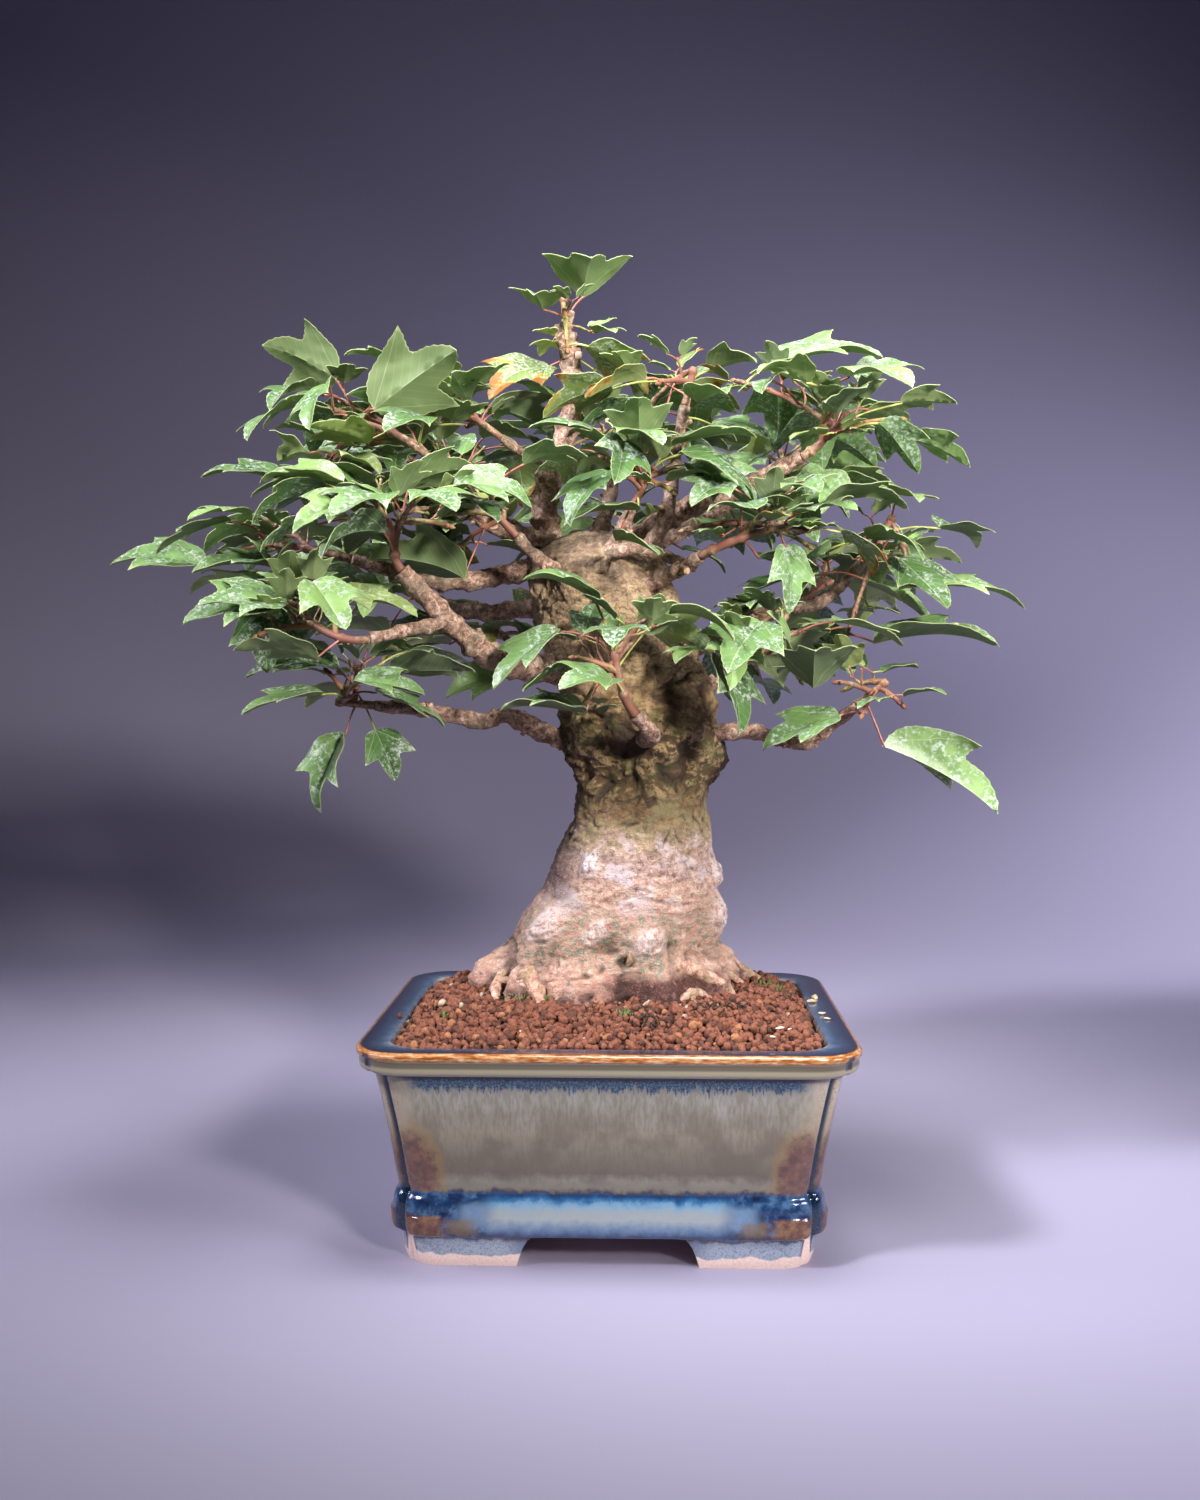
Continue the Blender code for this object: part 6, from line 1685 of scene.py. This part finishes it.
twigs = Heap()
new_leaves = []               # foot, direction and length of each new leaf
fine_rng = random.Random(17)
for number, mass in enumerate(crown):
    twigs.put(jointed_twig(mass.stem, 26, 10, joints_of(mass.stem), number))
    for k, shoot in enumerate(mass.shoots):
        joints = joints_of(shoot)
        twigs.put(jointed_twig(shoot, 20, 8, joints, number + k * 0.37), k % 2)
        twigs.put(bud(shoot.end - shoot.heading(1.0) * 0.3, shoot.heading(1.0), 2.6), k % 2)
        for t in joints:
            heading = shoot.heading(t)
            side = heading.cross(Vector((0.0, 0.0, 1.0))).normalized()
            for turn in (side, -side):
                twigs.put(bud(shoot.at(t) + turn * 0.6, (turn + heading).normalized(), 1.7), k % 2)
        # Finer twigs between the joints, each cut short, with a bud or two new leaves
        for t in [(a + b) / 2 for a, b in zip(joints, joints[1:])] + [0.3]:
            heading = shoot.heading(t)
            turn = fine_rng.uniform(0.0, 2 * math.pi)
            side = heading.orthogonal().normalized()
            side = side * math.cos(turn) + heading.cross(side) * math.sin(turn)
            out = (side + heading * 0.8 + Vector((0.0, 0.0, 0.5))).normalized()
            reach = fine_rng.uniform(3.5, 9.5)
            root = shoot.at(t)
            bend = out.orthogonal().normalized() * reach * fine_rng.uniform(-0.15, 0.15)
            line = smooth_path([root, root + out * reach * 0.5 + bend, root + out * reach], 4)
            radii = [0.62, 0.5, 0.44, 0.42, 0.55, 0.4, 0.37, 0.35, 0.45]
            twigs.put(closed_loft(rings_along(line, radii, 6)), 1 - k % 2)
            twigs.put(bud(line[-1] - out * 0.2, out, 1.6), 1 - k % 2)
            if fine_rng.random() < 0.72:
                for turn in (-1, 1):
                    spread = out.cross(Vector((0.0, 0.0, 1.0))).normalized() * turn
                    new_leaves.append((line[-1], (spread + out * 0.6).normalized(), fine_rng.uniform(8.0, 17.0)))
place("twigs", twigs.verts, twigs.faces, twig_finishes, list(MASSES), picks=twigs.picks)
print(len(new_leaves), "new leaves to draw")

# %% [markdown]
# ## Leaves
#
# A trident maple's leaf has three lobes that point forward, a pair of main side veins from
# the foot, and a slightly toothed edge. One flat leaf could be painted on a card, but a
# card shows its square edge from the side. Here one leaf is drawn as an outline with
# points inside it and cut into triangles once. Every leaf of the crown is that drawing
# bent to its own fold, arch and waves, with an upper and an under sheet.

# %% Draw one leaf
LEAF_SIDE = ((0.0, 0.0), (0.09, 0.012), (0.2, 0.06), (0.295, 0.15), (0.35, 0.27), (0.40, 0.40), (0.455, 0.53),
             (0.505, 0.645))
LEAF_LOBE = ((0.505, 0.645), (0.40, 0.618), (0.30, 0.59), (0.215, 0.585), (0.19, 0.65), (0.18, 0.75),
             (0.13, 0.86), (0.06, 0.955), (0.0, 1.0))
TOOTH = 0.010


def leaf_edge():
    """The right half of a leaf's outline from its foot to its tip, with small teeth."""
    edge = []
    for run in (LEAF_SIDE, LEAF_LOBE):
        line = smooth_path([(u, v, 0.0) for u, v in run], 3)
        for k, (a, b) in enumerate(zip(line, line[1:])):
            ahead = (b - a).normalized()
            tooth = TOOTH if k % 2 and 2 < k < len(line) - 3 else 0.0
            edge.append((max(a.x + ahead.y * tooth, 0.0), a.y - ahead.x * tooth))
    return edge + [(0.0, 1.0)]


def is_inside(p, loop):
    """Whether a flat point lies within a closed outline."""
    inside = False
    for a, b in zip(loop, loop[1:] + loop[:1]):
        if (a.y > p.y) != (b.y > p.y) and p.x < (b.x - a.x) * (p.y - a.y) / (b.y - a.y) + a.x:
            inside = not inside
    return inside


def draw_leaf():
    """Points, triangles and edge loop of a flat leaf one unit long."""
    right = leaf_edge()
    loop = right + [(-u, v) for u, v in reversed(right[1:-1])]
    points = [Vector(p) for p in loop]
    inside = []
    spacing = 0.066
    for row in range(1, int(1.0 / spacing)):
        for k in range(-10, 11):
            u = (k + (0.5 if row % 2 else 0.0)) * spacing
            inside.append(Vector((u, row * spacing)))
    inside += [Vector((0.0, 0.03 + k * 0.04)) for k in range(24)]
    inside += [Vector((s * 0.505 * t, 0.645 * t)) for s in (-1, 1) for t in (0.15, 0.3, 0.45, 0.6, 0.75, 0.88)]
    kept = []
    for p in inside:
        if is_inside(p, points) and min((p - q).length for q in points) > 0.028 \
                and all((p - q).length > 0.024 for q in kept):
            kept.append(p)
    count = len(points)
    verts, _, faces, *_ = delaunay_2d_cdt(points + kept, [], [list(range(count))], 1, 1e-6)
    return verts, [tuple(f) for f in faces], count


flat_points, flat_faces, edge_count = draw_leaf()
flat_u = np.array([p.x for p in flat_points])
flat_v = np.array([p.y for p in flat_points])
flat_faces = np.array([f for f in flat_faces if len(f) == 3])
edge_points = np.stack([flat_u[:edge_count], flat_v[:edge_count]], axis=1)
from_edge = np.array([np.hypot(edge_points[:, 0] - u, edge_points[:, 1] - v).min() for u, v in zip(flat_u, flat_v)])
print("one leaf sheet:", len(flat_points), "points,", len(flat_faces), "triangles,", edge_count, "on the edge")

# %% Bend a leaf into place
SHEET_THICKNESS = 0.26
VEIN_TURN = math.atan2(0.505, 0.645)


def leaf_mesh(leaf, rng):
    """Vertices of a leaf's upper and under sheets, in millimetres."""
    u = flat_u * leaf.width
    v = flat_v
    side = np.abs(flat_u)
    lift = leaf.arch * 4 * v * (1 - v) + leaf.fold * (side - side ** 2)
    vein = np.minimum(side, np.abs(side * math.cos(VEIN_TURN) - v * math.sin(VEIN_TURN)))
    lift -= 0.012 * np.exp(-(vein / 0.018) ** 2)
    lift += 0.007 * np.sin((v - side * 0.9) * 2 * math.pi / 0.11) * np.clip(side * 8, 0, 1) * np.clip(from_edge * 12, 0, 1)
    waves, phase = rng.uniform(0.010, 0.036), rng.uniform(0, 6.28)
    lift += waves * np.sin(flat_u * 11 + phase) * np.sin(v * 9 + phase * 1.7) * np.clip(1.4 - from_edge * 9, 0.2, 1)
    lift -= rng.uniform(0.0, 0.28) * np.clip(v - 0.62, 0, 1) ** 2 * 2.2
    lift -= rng.uniform(0.0, 0.35) * np.clip(side - 0.28, 0, 1) ** 2 * 3.0
    along, over, normal = (np.array(w) for w in (leaf.along, leaf.across, leaf.normal))
    points = np.array(leaf.foot) + (np.outer(u, over) + np.outer(v, along) + np.outer(lift, normal)) * leaf.length
    a, b, c = (points[flat_faces[:, k]] for k in range(3))
    face_normals = np.cross(b - a, c - a)
    normals = np.zeros_like(points)
    for k in range(3):
        np.add.at(normals, flat_faces[:, k], face_normals)
    normals /= np.linalg.norm(normals, axis=1)[:, None] + 1e-12
    half = SHEET_THICKNESS / 2
    return np.concatenate([points + normals * half, points - normals * half])


sheet_count = len(flat_points)
ring_index = np.arange(edge_count)
ring_next = np.roll(ring_index, -1)
rim_a = np.stack([ring_index, ring_index + sheet_count, ring_next + sheet_count], axis=1)
rim_b = np.stack([ring_index, ring_next + sheet_count, ring_next], axis=1)
leaf_triangles = np.concatenate([flat_faces, flat_faces[:, ::-1] + sheet_count, rim_a, rim_b])
leaf_picks = np.concatenate([np.zeros(len(flat_faces)), np.ones(len(flat_faces) + 2 * edge_count)]).astype(np.int32)
print("one leaf:", len(leaf_triangles), "triangles")

# %% [markdown]
# ## The leaf's finish
#
# A maple leaf is waxy above and dull below. Above it is a strong green with paler veins, a
# yellowish edge, and chalky flecks, partly marks that hard water leaves and partly a painted
# sheen. Light shines through it a little, so the leaf has some translucent green. A few
# leaves are younger and yellower, and some are scorched brown at their tips. The tint of a
# whole spray is one plain colour, and the pattern over it is the same for all.

# %% Leaf materials
# Name, green above, shade of it, green below, how much is scorched at the tips
TINTS = (
    ("deep", "#577a44", "#3b5930", "#6c7c57", 0.0),
    ("mid", "#719457", "#4e7141", "#778a5b", 0.0),
    ("bright", "#8eb068", "#66894f", "#839462", 0.0),
    ("young", "#a3b667", "#859b55", "#9aa968", 0.0),
    ("scorched", "#75884d", "#596b3a", "#828b58", 1.0),
)
RIB_GAP = 0.11                # between side ribs, as a part of the leaf's length


def leaf_finish(name, green, shade, scorch, above):
    """The material of one side of the leaves of a tint."""
    material, tree = new_finish(f"maple_leaf_{name}_{'above' if above else 'below'}")
    blade = add(tree, "UVMap", out="UV", uv_map="blade")
    side, along, _ = add(tree, "SeparateXYZ", {0: blade}, out=None)
    side = add(tree, "Math", {0: side, 1: 0.5}, operation="SUBTRACT")
    side = add(tree, "Math", {0: side}, operation="ABSOLUTE")
    spot = add(tree, "TexCoord", out="Object")
    cloud = add(tree, "TexNoise", {"Vector": spot, "Scale": 110.0, "Detail": 4.0, "Roughness": 0.6})
    fleck = add(tree, "TexNoise", {"Vector": spot, "Scale": 620.0, "Detail": 4.0, "Roughness": 0.7})
    # The main veins run up the middle and along a slanted line to each side lobe
    slant = add(tree, "Math", {0: along, 1: -math.tan(VEIN_TURN), 2: side}, operation="MULTIPLY_ADD")
    slant = add(tree, "Math", {0: slant}, operation="ABSOLUTE")
    vein = add(tree, "Math", {0: side, 1: slant}, operation="MINIMUM")
    rib = add(tree, "Math", {0: side, 1: -0.9, 2: along}, operation="MULTIPLY_ADD")
    rib = add(tree, "Math", {0: rib, 1: 2 * math.pi / RIB_GAP}, operation="MULTIPLY")
    rib = add(tree, "Math", {0: rib}, operation="SINE")
    margin = add(tree, "Attribute", out="Fac", attribute_name="from_edge")
    burnt = add(tree, "Math", {0: side, 1: 0.9, 2: along}, operation="MULTIPLY_ADD")
    burnt = add(tree, "Math", {0: cloud, 1: 1.6, 2: burnt}, operation="MULTIPLY_ADD")
    coats = [
        (shade, 0.75, (cloud, 0.38, 0.64)),
        ("#a9bb84" if above else "#98a880", 0.22, (rib, -0.88, -0.98)),
        ("#b7c692" if above else "#a3b289", 0.55, (vein, 0.011, 0.002)),
        ("#bcc890", 0.5, (margin, 0.016, 0.0)),
    ]
    if above:
        # Chalky flecks above: partly marks that hard water leaves, partly a painted sheen
        coats.append(("#d9e3dc", 0.6, (fleck, 0.47, 0.63), (cloud, 0.42, 0.56)))
    if scorch:
        coats.append(("#b9a350", 0.6, (burnt, 1.56, 1.72)))
        coats.append(("#8a5628", 0.9, (burnt, 1.68, 1.86)))
    tone = lay_coats(tree, green, coats)
    bump = add(tree, "Bump", {"Height": fleck, "Strength": 0.25, "Distance": 0.0002})
    gloss = add(tree, "MapRange", {"Value": fleck, "From Min": 0.35, "From Max": 0.65,
                                   "To Min": 0.28 if above else 0.55, "To Max": 0.5 if above else 0.75})
    shader = add(tree, "BsdfPrincipled", {"Base Color": tone, "Roughness": gloss, "Normal": bump})
    glow = add(tree, "BsdfTranslucent", {"Color": tone})
    mixed = add(tree, "MixShader", {0: 0.33, 1: shader, 2: glow})
    add(tree, "OutputMaterial", {"Surface": mixed}, out=None)
    return material


# %% Bend every leaf and join them by tint
TINT_CHANCES = (24, 38, 26, 6, 6)
NEW_TINT_CHANCES = (14, 36, 34, 12, 4)
tint_rng = random.Random(9)
bend_rng = random.Random(11)
blades = {name: [] for name, *_ in TINTS}


def has_rolled(leaf):
    """Whether a hanging leaf has rolled over on its stalk, so its upper side is in front."""
    return leaf.along.z < -0.3 and leaf.normal.y > 0.0


for mass in crown:
    sprays = {}
    for leaf in mass.leaves:
        key = tuple(round(c, 1) for c in leaf.root)
        if key not in sprays:
            sprays[key] = tint_rng.choices([t[0] for t in TINTS], TINT_CHANCES)[0]
        blades[sprays[key]].append((leaf_mesh(leaf, bend_rng), has_rolled(leaf)))
young_leaves = []
for root, along, length in new_leaves:
    along = (along + Vector((0.0, 0.0, bend_rng.uniform(-0.2, 0.7)))).normalized()
    over = along.cross(Vector((0.0, 0.0, 1.0))).normalized()
    leaf = Leaf(root, root + along * length * 0.3, along, over, over.cross(along), length, 1.0, 0.3, 0.05)
    young_leaves.append(leaf)
    tint = bend_rng.choices([t[0] for t in TINTS], NEW_TINT_CHANCES)[0]
    blades[tint].append((leaf_mesh(leaf, bend_rng), False))
for name, green, shade, under, scorch in TINTS:
    verts = np.concatenate([blade for blade, _ in blades[name]])
    count = len(blades[name])
    picks = np.concatenate([1 - leaf_picks if rolled else leaf_picks for _, rolled in blades[name]])
    faces = np.concatenate([leaf_triangles + 2 * sheet_count * k for k in range(count)])
    piece = place(f"leaves_{name}", verts, faces,
                  [leaf_finish(name, green, shade, scorch, True), leaf_finish(name, under, under, scorch, False)],
                  list(MASSES), picks=picks)
    layer = piece.data.uv_layers.new(name="blade")
    flat = np.tile(np.stack([np.tile(flat_u, 2) + 0.5, np.tile(flat_v, 2)], axis=1), (count, 1))
    layer.data.foreach_set("uv", flat[faces.ravel()].ravel().astype(np.float32))
    attribute = piece.data.attributes.new("from_edge", "FLOAT", "POINT")
    attribute.data.foreach_set("value", np.tile(np.tile(from_edge, 2), count).astype(np.float32))
    piece.data.set_sharp_from_angle(angle=math.radians(60))
    print(" ", count, "leaves of tint", name)

# %% [markdown]
# ## Leaf stalks
#
# The stalks are as thin as wire and red or yellow-green, and they curve up from the twig
# and down into the leaf.

# %% Stalks as one mesh
stalk_finishes = []
for name, shades in (("red_leaf_stalk", ("#7a4439", "#a96d5c")), ("green_leaf_stalk", ("#7c7d40", "#a9b062"))):
    finish, tree = new_finish(name)
    spot = add(tree, "TexCoord", out="Object")
    cloud = add(tree, "TexNoise", {"Vector": spot, "Scale": 160.0, "Detail": 2.0})
    tone = add(tree, "ValToRGB", {"Fac": cloud}, stops=list(zip((0.35, 0.65), shades)))
    shader = add(tree, "BsdfPrincipled", {"Base Color": tone, "Roughness": 0.4})
    add(tree, "OutputMaterial", {"Surface": shader}, out=None)
    stalk_finishes.append(finish)

stalks = Heap()
stalk_rng = random.Random(3)
for leaf in [leaf for mass in crown for leaf in mass.leaves] + young_leaves:
    run = leaf.foot - leaf.root
    thin = min(leaf.length / 20.0, 1.0)
    sag = Vector((0.0, 0.0, 0.06 * run.length * stalk_rng.uniform(0.4, 1.6)))
    middle = (leaf.root + leaf.foot) / 2 + sag
    end = leaf.foot + leaf.along * 0.8 - leaf.normal * 0.25
    line = smooth_path([leaf.root, middle, end], 4)
    radii = [thin * r for r in (0.62, 0.48, 0.43, 0.4, 0.4, 0.4, 0.42, 0.46, 0.3)]
    stalks.put(closed_loft(rings_along(line, radii, 6)), stalk_rng.choice((0, 0, 1)))
place("leaf_stalks", stalks.verts, stalks.faces, stalk_finishes, list(MASSES), picks=stalks.picks)

# %% [markdown]
# ## Granules
#
# A few kinds of lump are enough, since each granule is turned and sized its own way.
# They are laid on a jittered six-sided grid that follows the soil's surface, with a second,
# looser layer and crumbs on top.

# %% Lumps, and where they fit
GRANULE_GAP = 2.9
LAYERS = ((1.0, -0.7, (1.5, 2.2)), (0.34, 0.9, (1.3, 2.1)), (0.30, 0.9, (0.6, 1.0)))
TRUNK_HOLLOW = (0.0, 15.0, 36.0, 23.0)  # no granule is needed in this oval under the trunk
granule_rng = np.random.default_rng(8)


def lump_shapes(count):
    """Rounded lumps with flats, each as the vertices of a fine ball, and its faces."""
    bm = bmesh.new()
    bmesh.ops.create_icosphere(bm, subdivisions=2, radius=1.0)
    ball = np.array([v.co[:] for v in bm.verts])
    faces = np.array([[v.index for v in f.verts] for f in bm.faces])
    bm.free()
    shapes = []
    for _ in range(count):
        shape = ball * granule_rng.uniform(0.78, 1.15, 3)
        for _ in range(9):
            flat = granule_rng.normal(size=3)
            flat /= np.linalg.norm(flat)
            over = shape @ flat - granule_rng.uniform(0.52, 0.82)
            shape = shape - np.outer(np.maximum(over, 0.0), flat)
        shapes.append(shape * (1.0 + granule_rng.uniform(-0.05, 0.05, (len(ball), 1))))
    return shapes, faces


def turn_matrix():
    """A random turn in space."""
    q = granule_rng.normal(size=4)
    w, x, y, z = q / np.linalg.norm(q)
    return np.array([[1 - 2 * (y * y + z * z), 2 * (x * y - z * w), 2 * (x * z + y * w)],
                     [2 * (x * y + z * w), 1 - 2 * (x * x + z * z), 2 * (y * z - x * w)],
                     [2 * (x * z - y * w), 2 * (y * z + x * w), 1 - 2 * (x * x + y * y)]])


def granule_spots():
    """Where granules lie and how large they are: a full layer, a loose one, and crumbs."""
    spots = []
    middle_x, middle_y, half_x, half_y = TRUNK_HOLLOW
    rows = int(RIM_DEPTH / (GRANULE_GAP * 0.866))
    columns = int(RIM_WIDTH / GRANULE_GAP)
    for keep, lift, sizes in LAYERS:
        for row in range(rows):
            for column in range(columns):
                x = -RIM_WIDTH / 2 + (column + (row % 2) / 2) * GRANULE_GAP + granule_rng.uniform(-0.7, 0.7)
                y = -RIM_DEPTH / 2 + row * GRANULE_GAP * 0.866 + granule_rng.uniform(-0.7, 0.7)
                size, chance, rise = granule_rng.uniform(*sizes), granule_rng.uniform(), granule_rng.uniform(-0.4, 0.4)
                if chance > keep or wall_distance(x, y) < size * 0.9:
                    continue
                if math.hypot((x - middle_x) / half_x, (y - middle_y) / half_y) < 1.0:
                    continue
                hit = soil_surface.ray_cast(Vector((x, y, 120.0)), Vector((0, 0, -1)))[0]
                if hit:
                    spots.append((x, y, hit.z + lift + rise, size))
    return spots


# %% Fired clay in four shades, and the granules
CLAY_SHADES = (("brown", "#5f3627", "#955e47", 0.68), ("dark", "#43271f", "#6d4435", 0.24),
               ("ochre", "#855434", "#b07c58", 0.07), ("pale", "#a0866f", "#d0bca6", 0.01))
clay_finishes = []
for name, dark, light, _ in CLAY_SHADES:
    finish, tree = new_finish("akadama_" + name)
    spot = add(tree, "TexCoord", out="Object")
    dust = add(tree, "TexNoise", {"Vector": spot, "Scale": 1100.0, "Detail": 5.0, "Roughness": 0.75})
    tone = add(tree, "ValToRGB", {"Fac": dust}, stops=[(0.34, dark), (0.64, light)])
    bump = add(tree, "Bump", {"Height": dust, "Strength": 0.8, "Distance": 0.0004})
    shader = add(tree, "BsdfPrincipled", {"Base Color": tone, "Roughness": 0.93, "Normal": bump})
    add(tree, "OutputMaterial", {"Surface": shader}, out=None)
    clay_finishes.append(finish)
lumps, lump_faces = lump_shapes(9)
spots = granule_spots()
spots.append((-75.9, -19.7, 77.2, 1.5))         # one granule has rolled onto the left rim
clay_chances = [share for *_, share in CLAY_SHADES]
for half, chosen in (("front", [s for s in spots if s[1] < -14.0]), ("back", [s for s in spots if s[1] >= -14.0])):
    verts = np.concatenate([lumps[granule_rng.integers(len(lumps))] @ turn_matrix().T * size + (x, y, z)
                            for x, y, z, size in chosen])
    faces = np.concatenate([lump_faces + len(lumps[0]) * k for k in range(len(chosen))])
    picks = np.repeat(granule_rng.choice(len(CLAY_SHADES), size=len(chosen), p=clay_chances), len(lump_faces))
    place("granules_" + half, verts, faces, clay_finishes, ["soil"], picks=picks)
print(len(spots), "granules")

# %% [markdown]
# ## What lies on the soil
#
# Dead root fibres, pale chips, a few husks on the rim and tufts of moss break the even
# clay. Each is a real small body, placed where the photograph has it.

# %% Fibres, chips, husks and moss
FIBRE_SPOTS = ((14.2, -39.1, 44), (34.0, -30.0, 26), (-38.0, -8.0, 24), (24.0, -12.0, 20), (46.0, -22.0, 18),
               (-6.0, -28.0, 6), (60.0, 4.0, 6))
CHIP_SPOTS = ((58.1, -47.8, 80.5, 3.4), (55.0, -52.0, 78.5, 2.4), (62.0, -41.0, 78.5, 2.2), (47.0, 24.0, 83.5, 2.6),
              (66.0, 12.0, 78.5, 2.0), (-30.0, -47.0, 78.5, 1.6), (2.0, -30.0, 81.5, 1.3), (-8.0, -52.0, 77.5, 1.2))
HUSK_SPOTS = ((78.2, 20.1, 76.4, 6.0), (76.0, 12.0, 76.4, 4.6), (77.4, -8.0, 76.4, 3.4), (78.0, -16.0, 76.4, 2.6))
MOSS_SPOTS = ((62.7, 19.3, 2.6, 46), (-34.0, -12.0, 2.0, 24), (-24.0, -14.0, 1.6, 18), (26.0, -9.0, 2.0, 22),
              (-58.0, -30.0, 1.5, 14), (6.0, -36.0, 1.6, 18))
# Name, tones from dark to light
LITTER_TONES = (("dead_root_fibre", "#1f1612", "#4a372c"), ("bleached_chip", "#bba48a", "#f1e6d8"),
                ("seed_husk", "#a9835a", "#e3c9a4"), ("moss_tuft", "#31401f", "#7d8f4a"))
litter_finishes = []
for name, dark, light in LITTER_TONES:
    finish, tree = new_finish(name)
    spot = add(tree, "TexCoord", out="Object")
    cloud = add(tree, "TexNoise", {"Vector": spot, "Scale": 800.0, "Detail": 4.0, "Roughness": 0.7})
    tone = add(tree, "ValToRGB", {"Fac": cloud}, stops=[(0.36, dark), (0.62, light)])
    bump = add(tree, "Bump", {"Height": cloud, "Strength": 0.5, "Distance": 0.0003})
    shader = add(tree, "BsdfPrincipled", {"Base Color": tone, "Roughness": 0.85, "Normal": bump})
    add(tree, "OutputMaterial", {"Surface": shader}, out=None)
    litter_finishes.append(finish)
litter = Heap()
litter_rng = random.Random(29)


def ground(x, y):
    """The height of the granules' tops at a point."""
    hit = soil_surface.ray_cast(Vector((x, y, 120.0)), Vector((0, 0, -1)))[0]
    return (hit.z if hit else SOIL_EDGE) + 1.0


for x, y, count in FIBRE_SPOTS:
    for _ in range(count):
        start = Vector((x + litter_rng.gauss(0, 3.5), y + litter_rng.gauss(0, 3.0), 0.0))
        turn = litter_rng.uniform(0, 2 * math.pi)
        ahead = Vector((math.cos(turn), math.sin(turn), 0.0)) * litter_rng.uniform(2.0, 5.0)
        side = Vector((-ahead.y, ahead.x, 0.0)) * litter_rng.uniform(-0.5, 0.5)
        marks = [start, start + ahead * 0.5 + side, start + ahead]
        line = smooth_path([Vector((p.x, p.y, ground(p.x, p.y) + rise)) for p, rise in zip(marks, (-0.3, 1.1, 0.2))], 3)
        litter.put(closed_loft(rings_along(line, [0.24] * len(line), 4)), 0)
for pick, chips in ((1, CHIP_SPOTS), (2, HUSK_SPOTS)):
    for x, y, z, size in chips:
        shape = lumps[litter_rng.randrange(len(lumps))] * np.array([size * 0.62, size * 0.22, size * 0.16])
        turn = litter_rng.uniform(0, math.pi)
        spin = np.array([[math.cos(turn), -math.sin(turn), 0.0], [math.sin(turn), math.cos(turn), 0.0], [0.0, 0.0, 1.0]])
        litter.put(((shape @ spin.T + (x, y, z)).tolist(), lump_faces.tolist()), pick)
for x, y, spread, count in MOSS_SPOTS:
    for _ in range(count):
        px, py = x + litter_rng.gauss(0, spread), y + litter_rng.gauss(0, spread * 0.8)
        foot = Vector((px, py, ground(px, py) - 0.8))
        tip = foot + Vector((litter_rng.gauss(0, 0.6), litter_rng.gauss(0, 0.6), litter_rng.uniform(1.4, 3.0)))
        litter.put(closed_loft(rings_along([foot, (foot + tip) / 2, tip], [0.32, 0.26, 0.05], 5)), 3)
place("soil_litter", litter.verts, litter.faces, litter_finishes, ["soil"], picks=litter.picks)
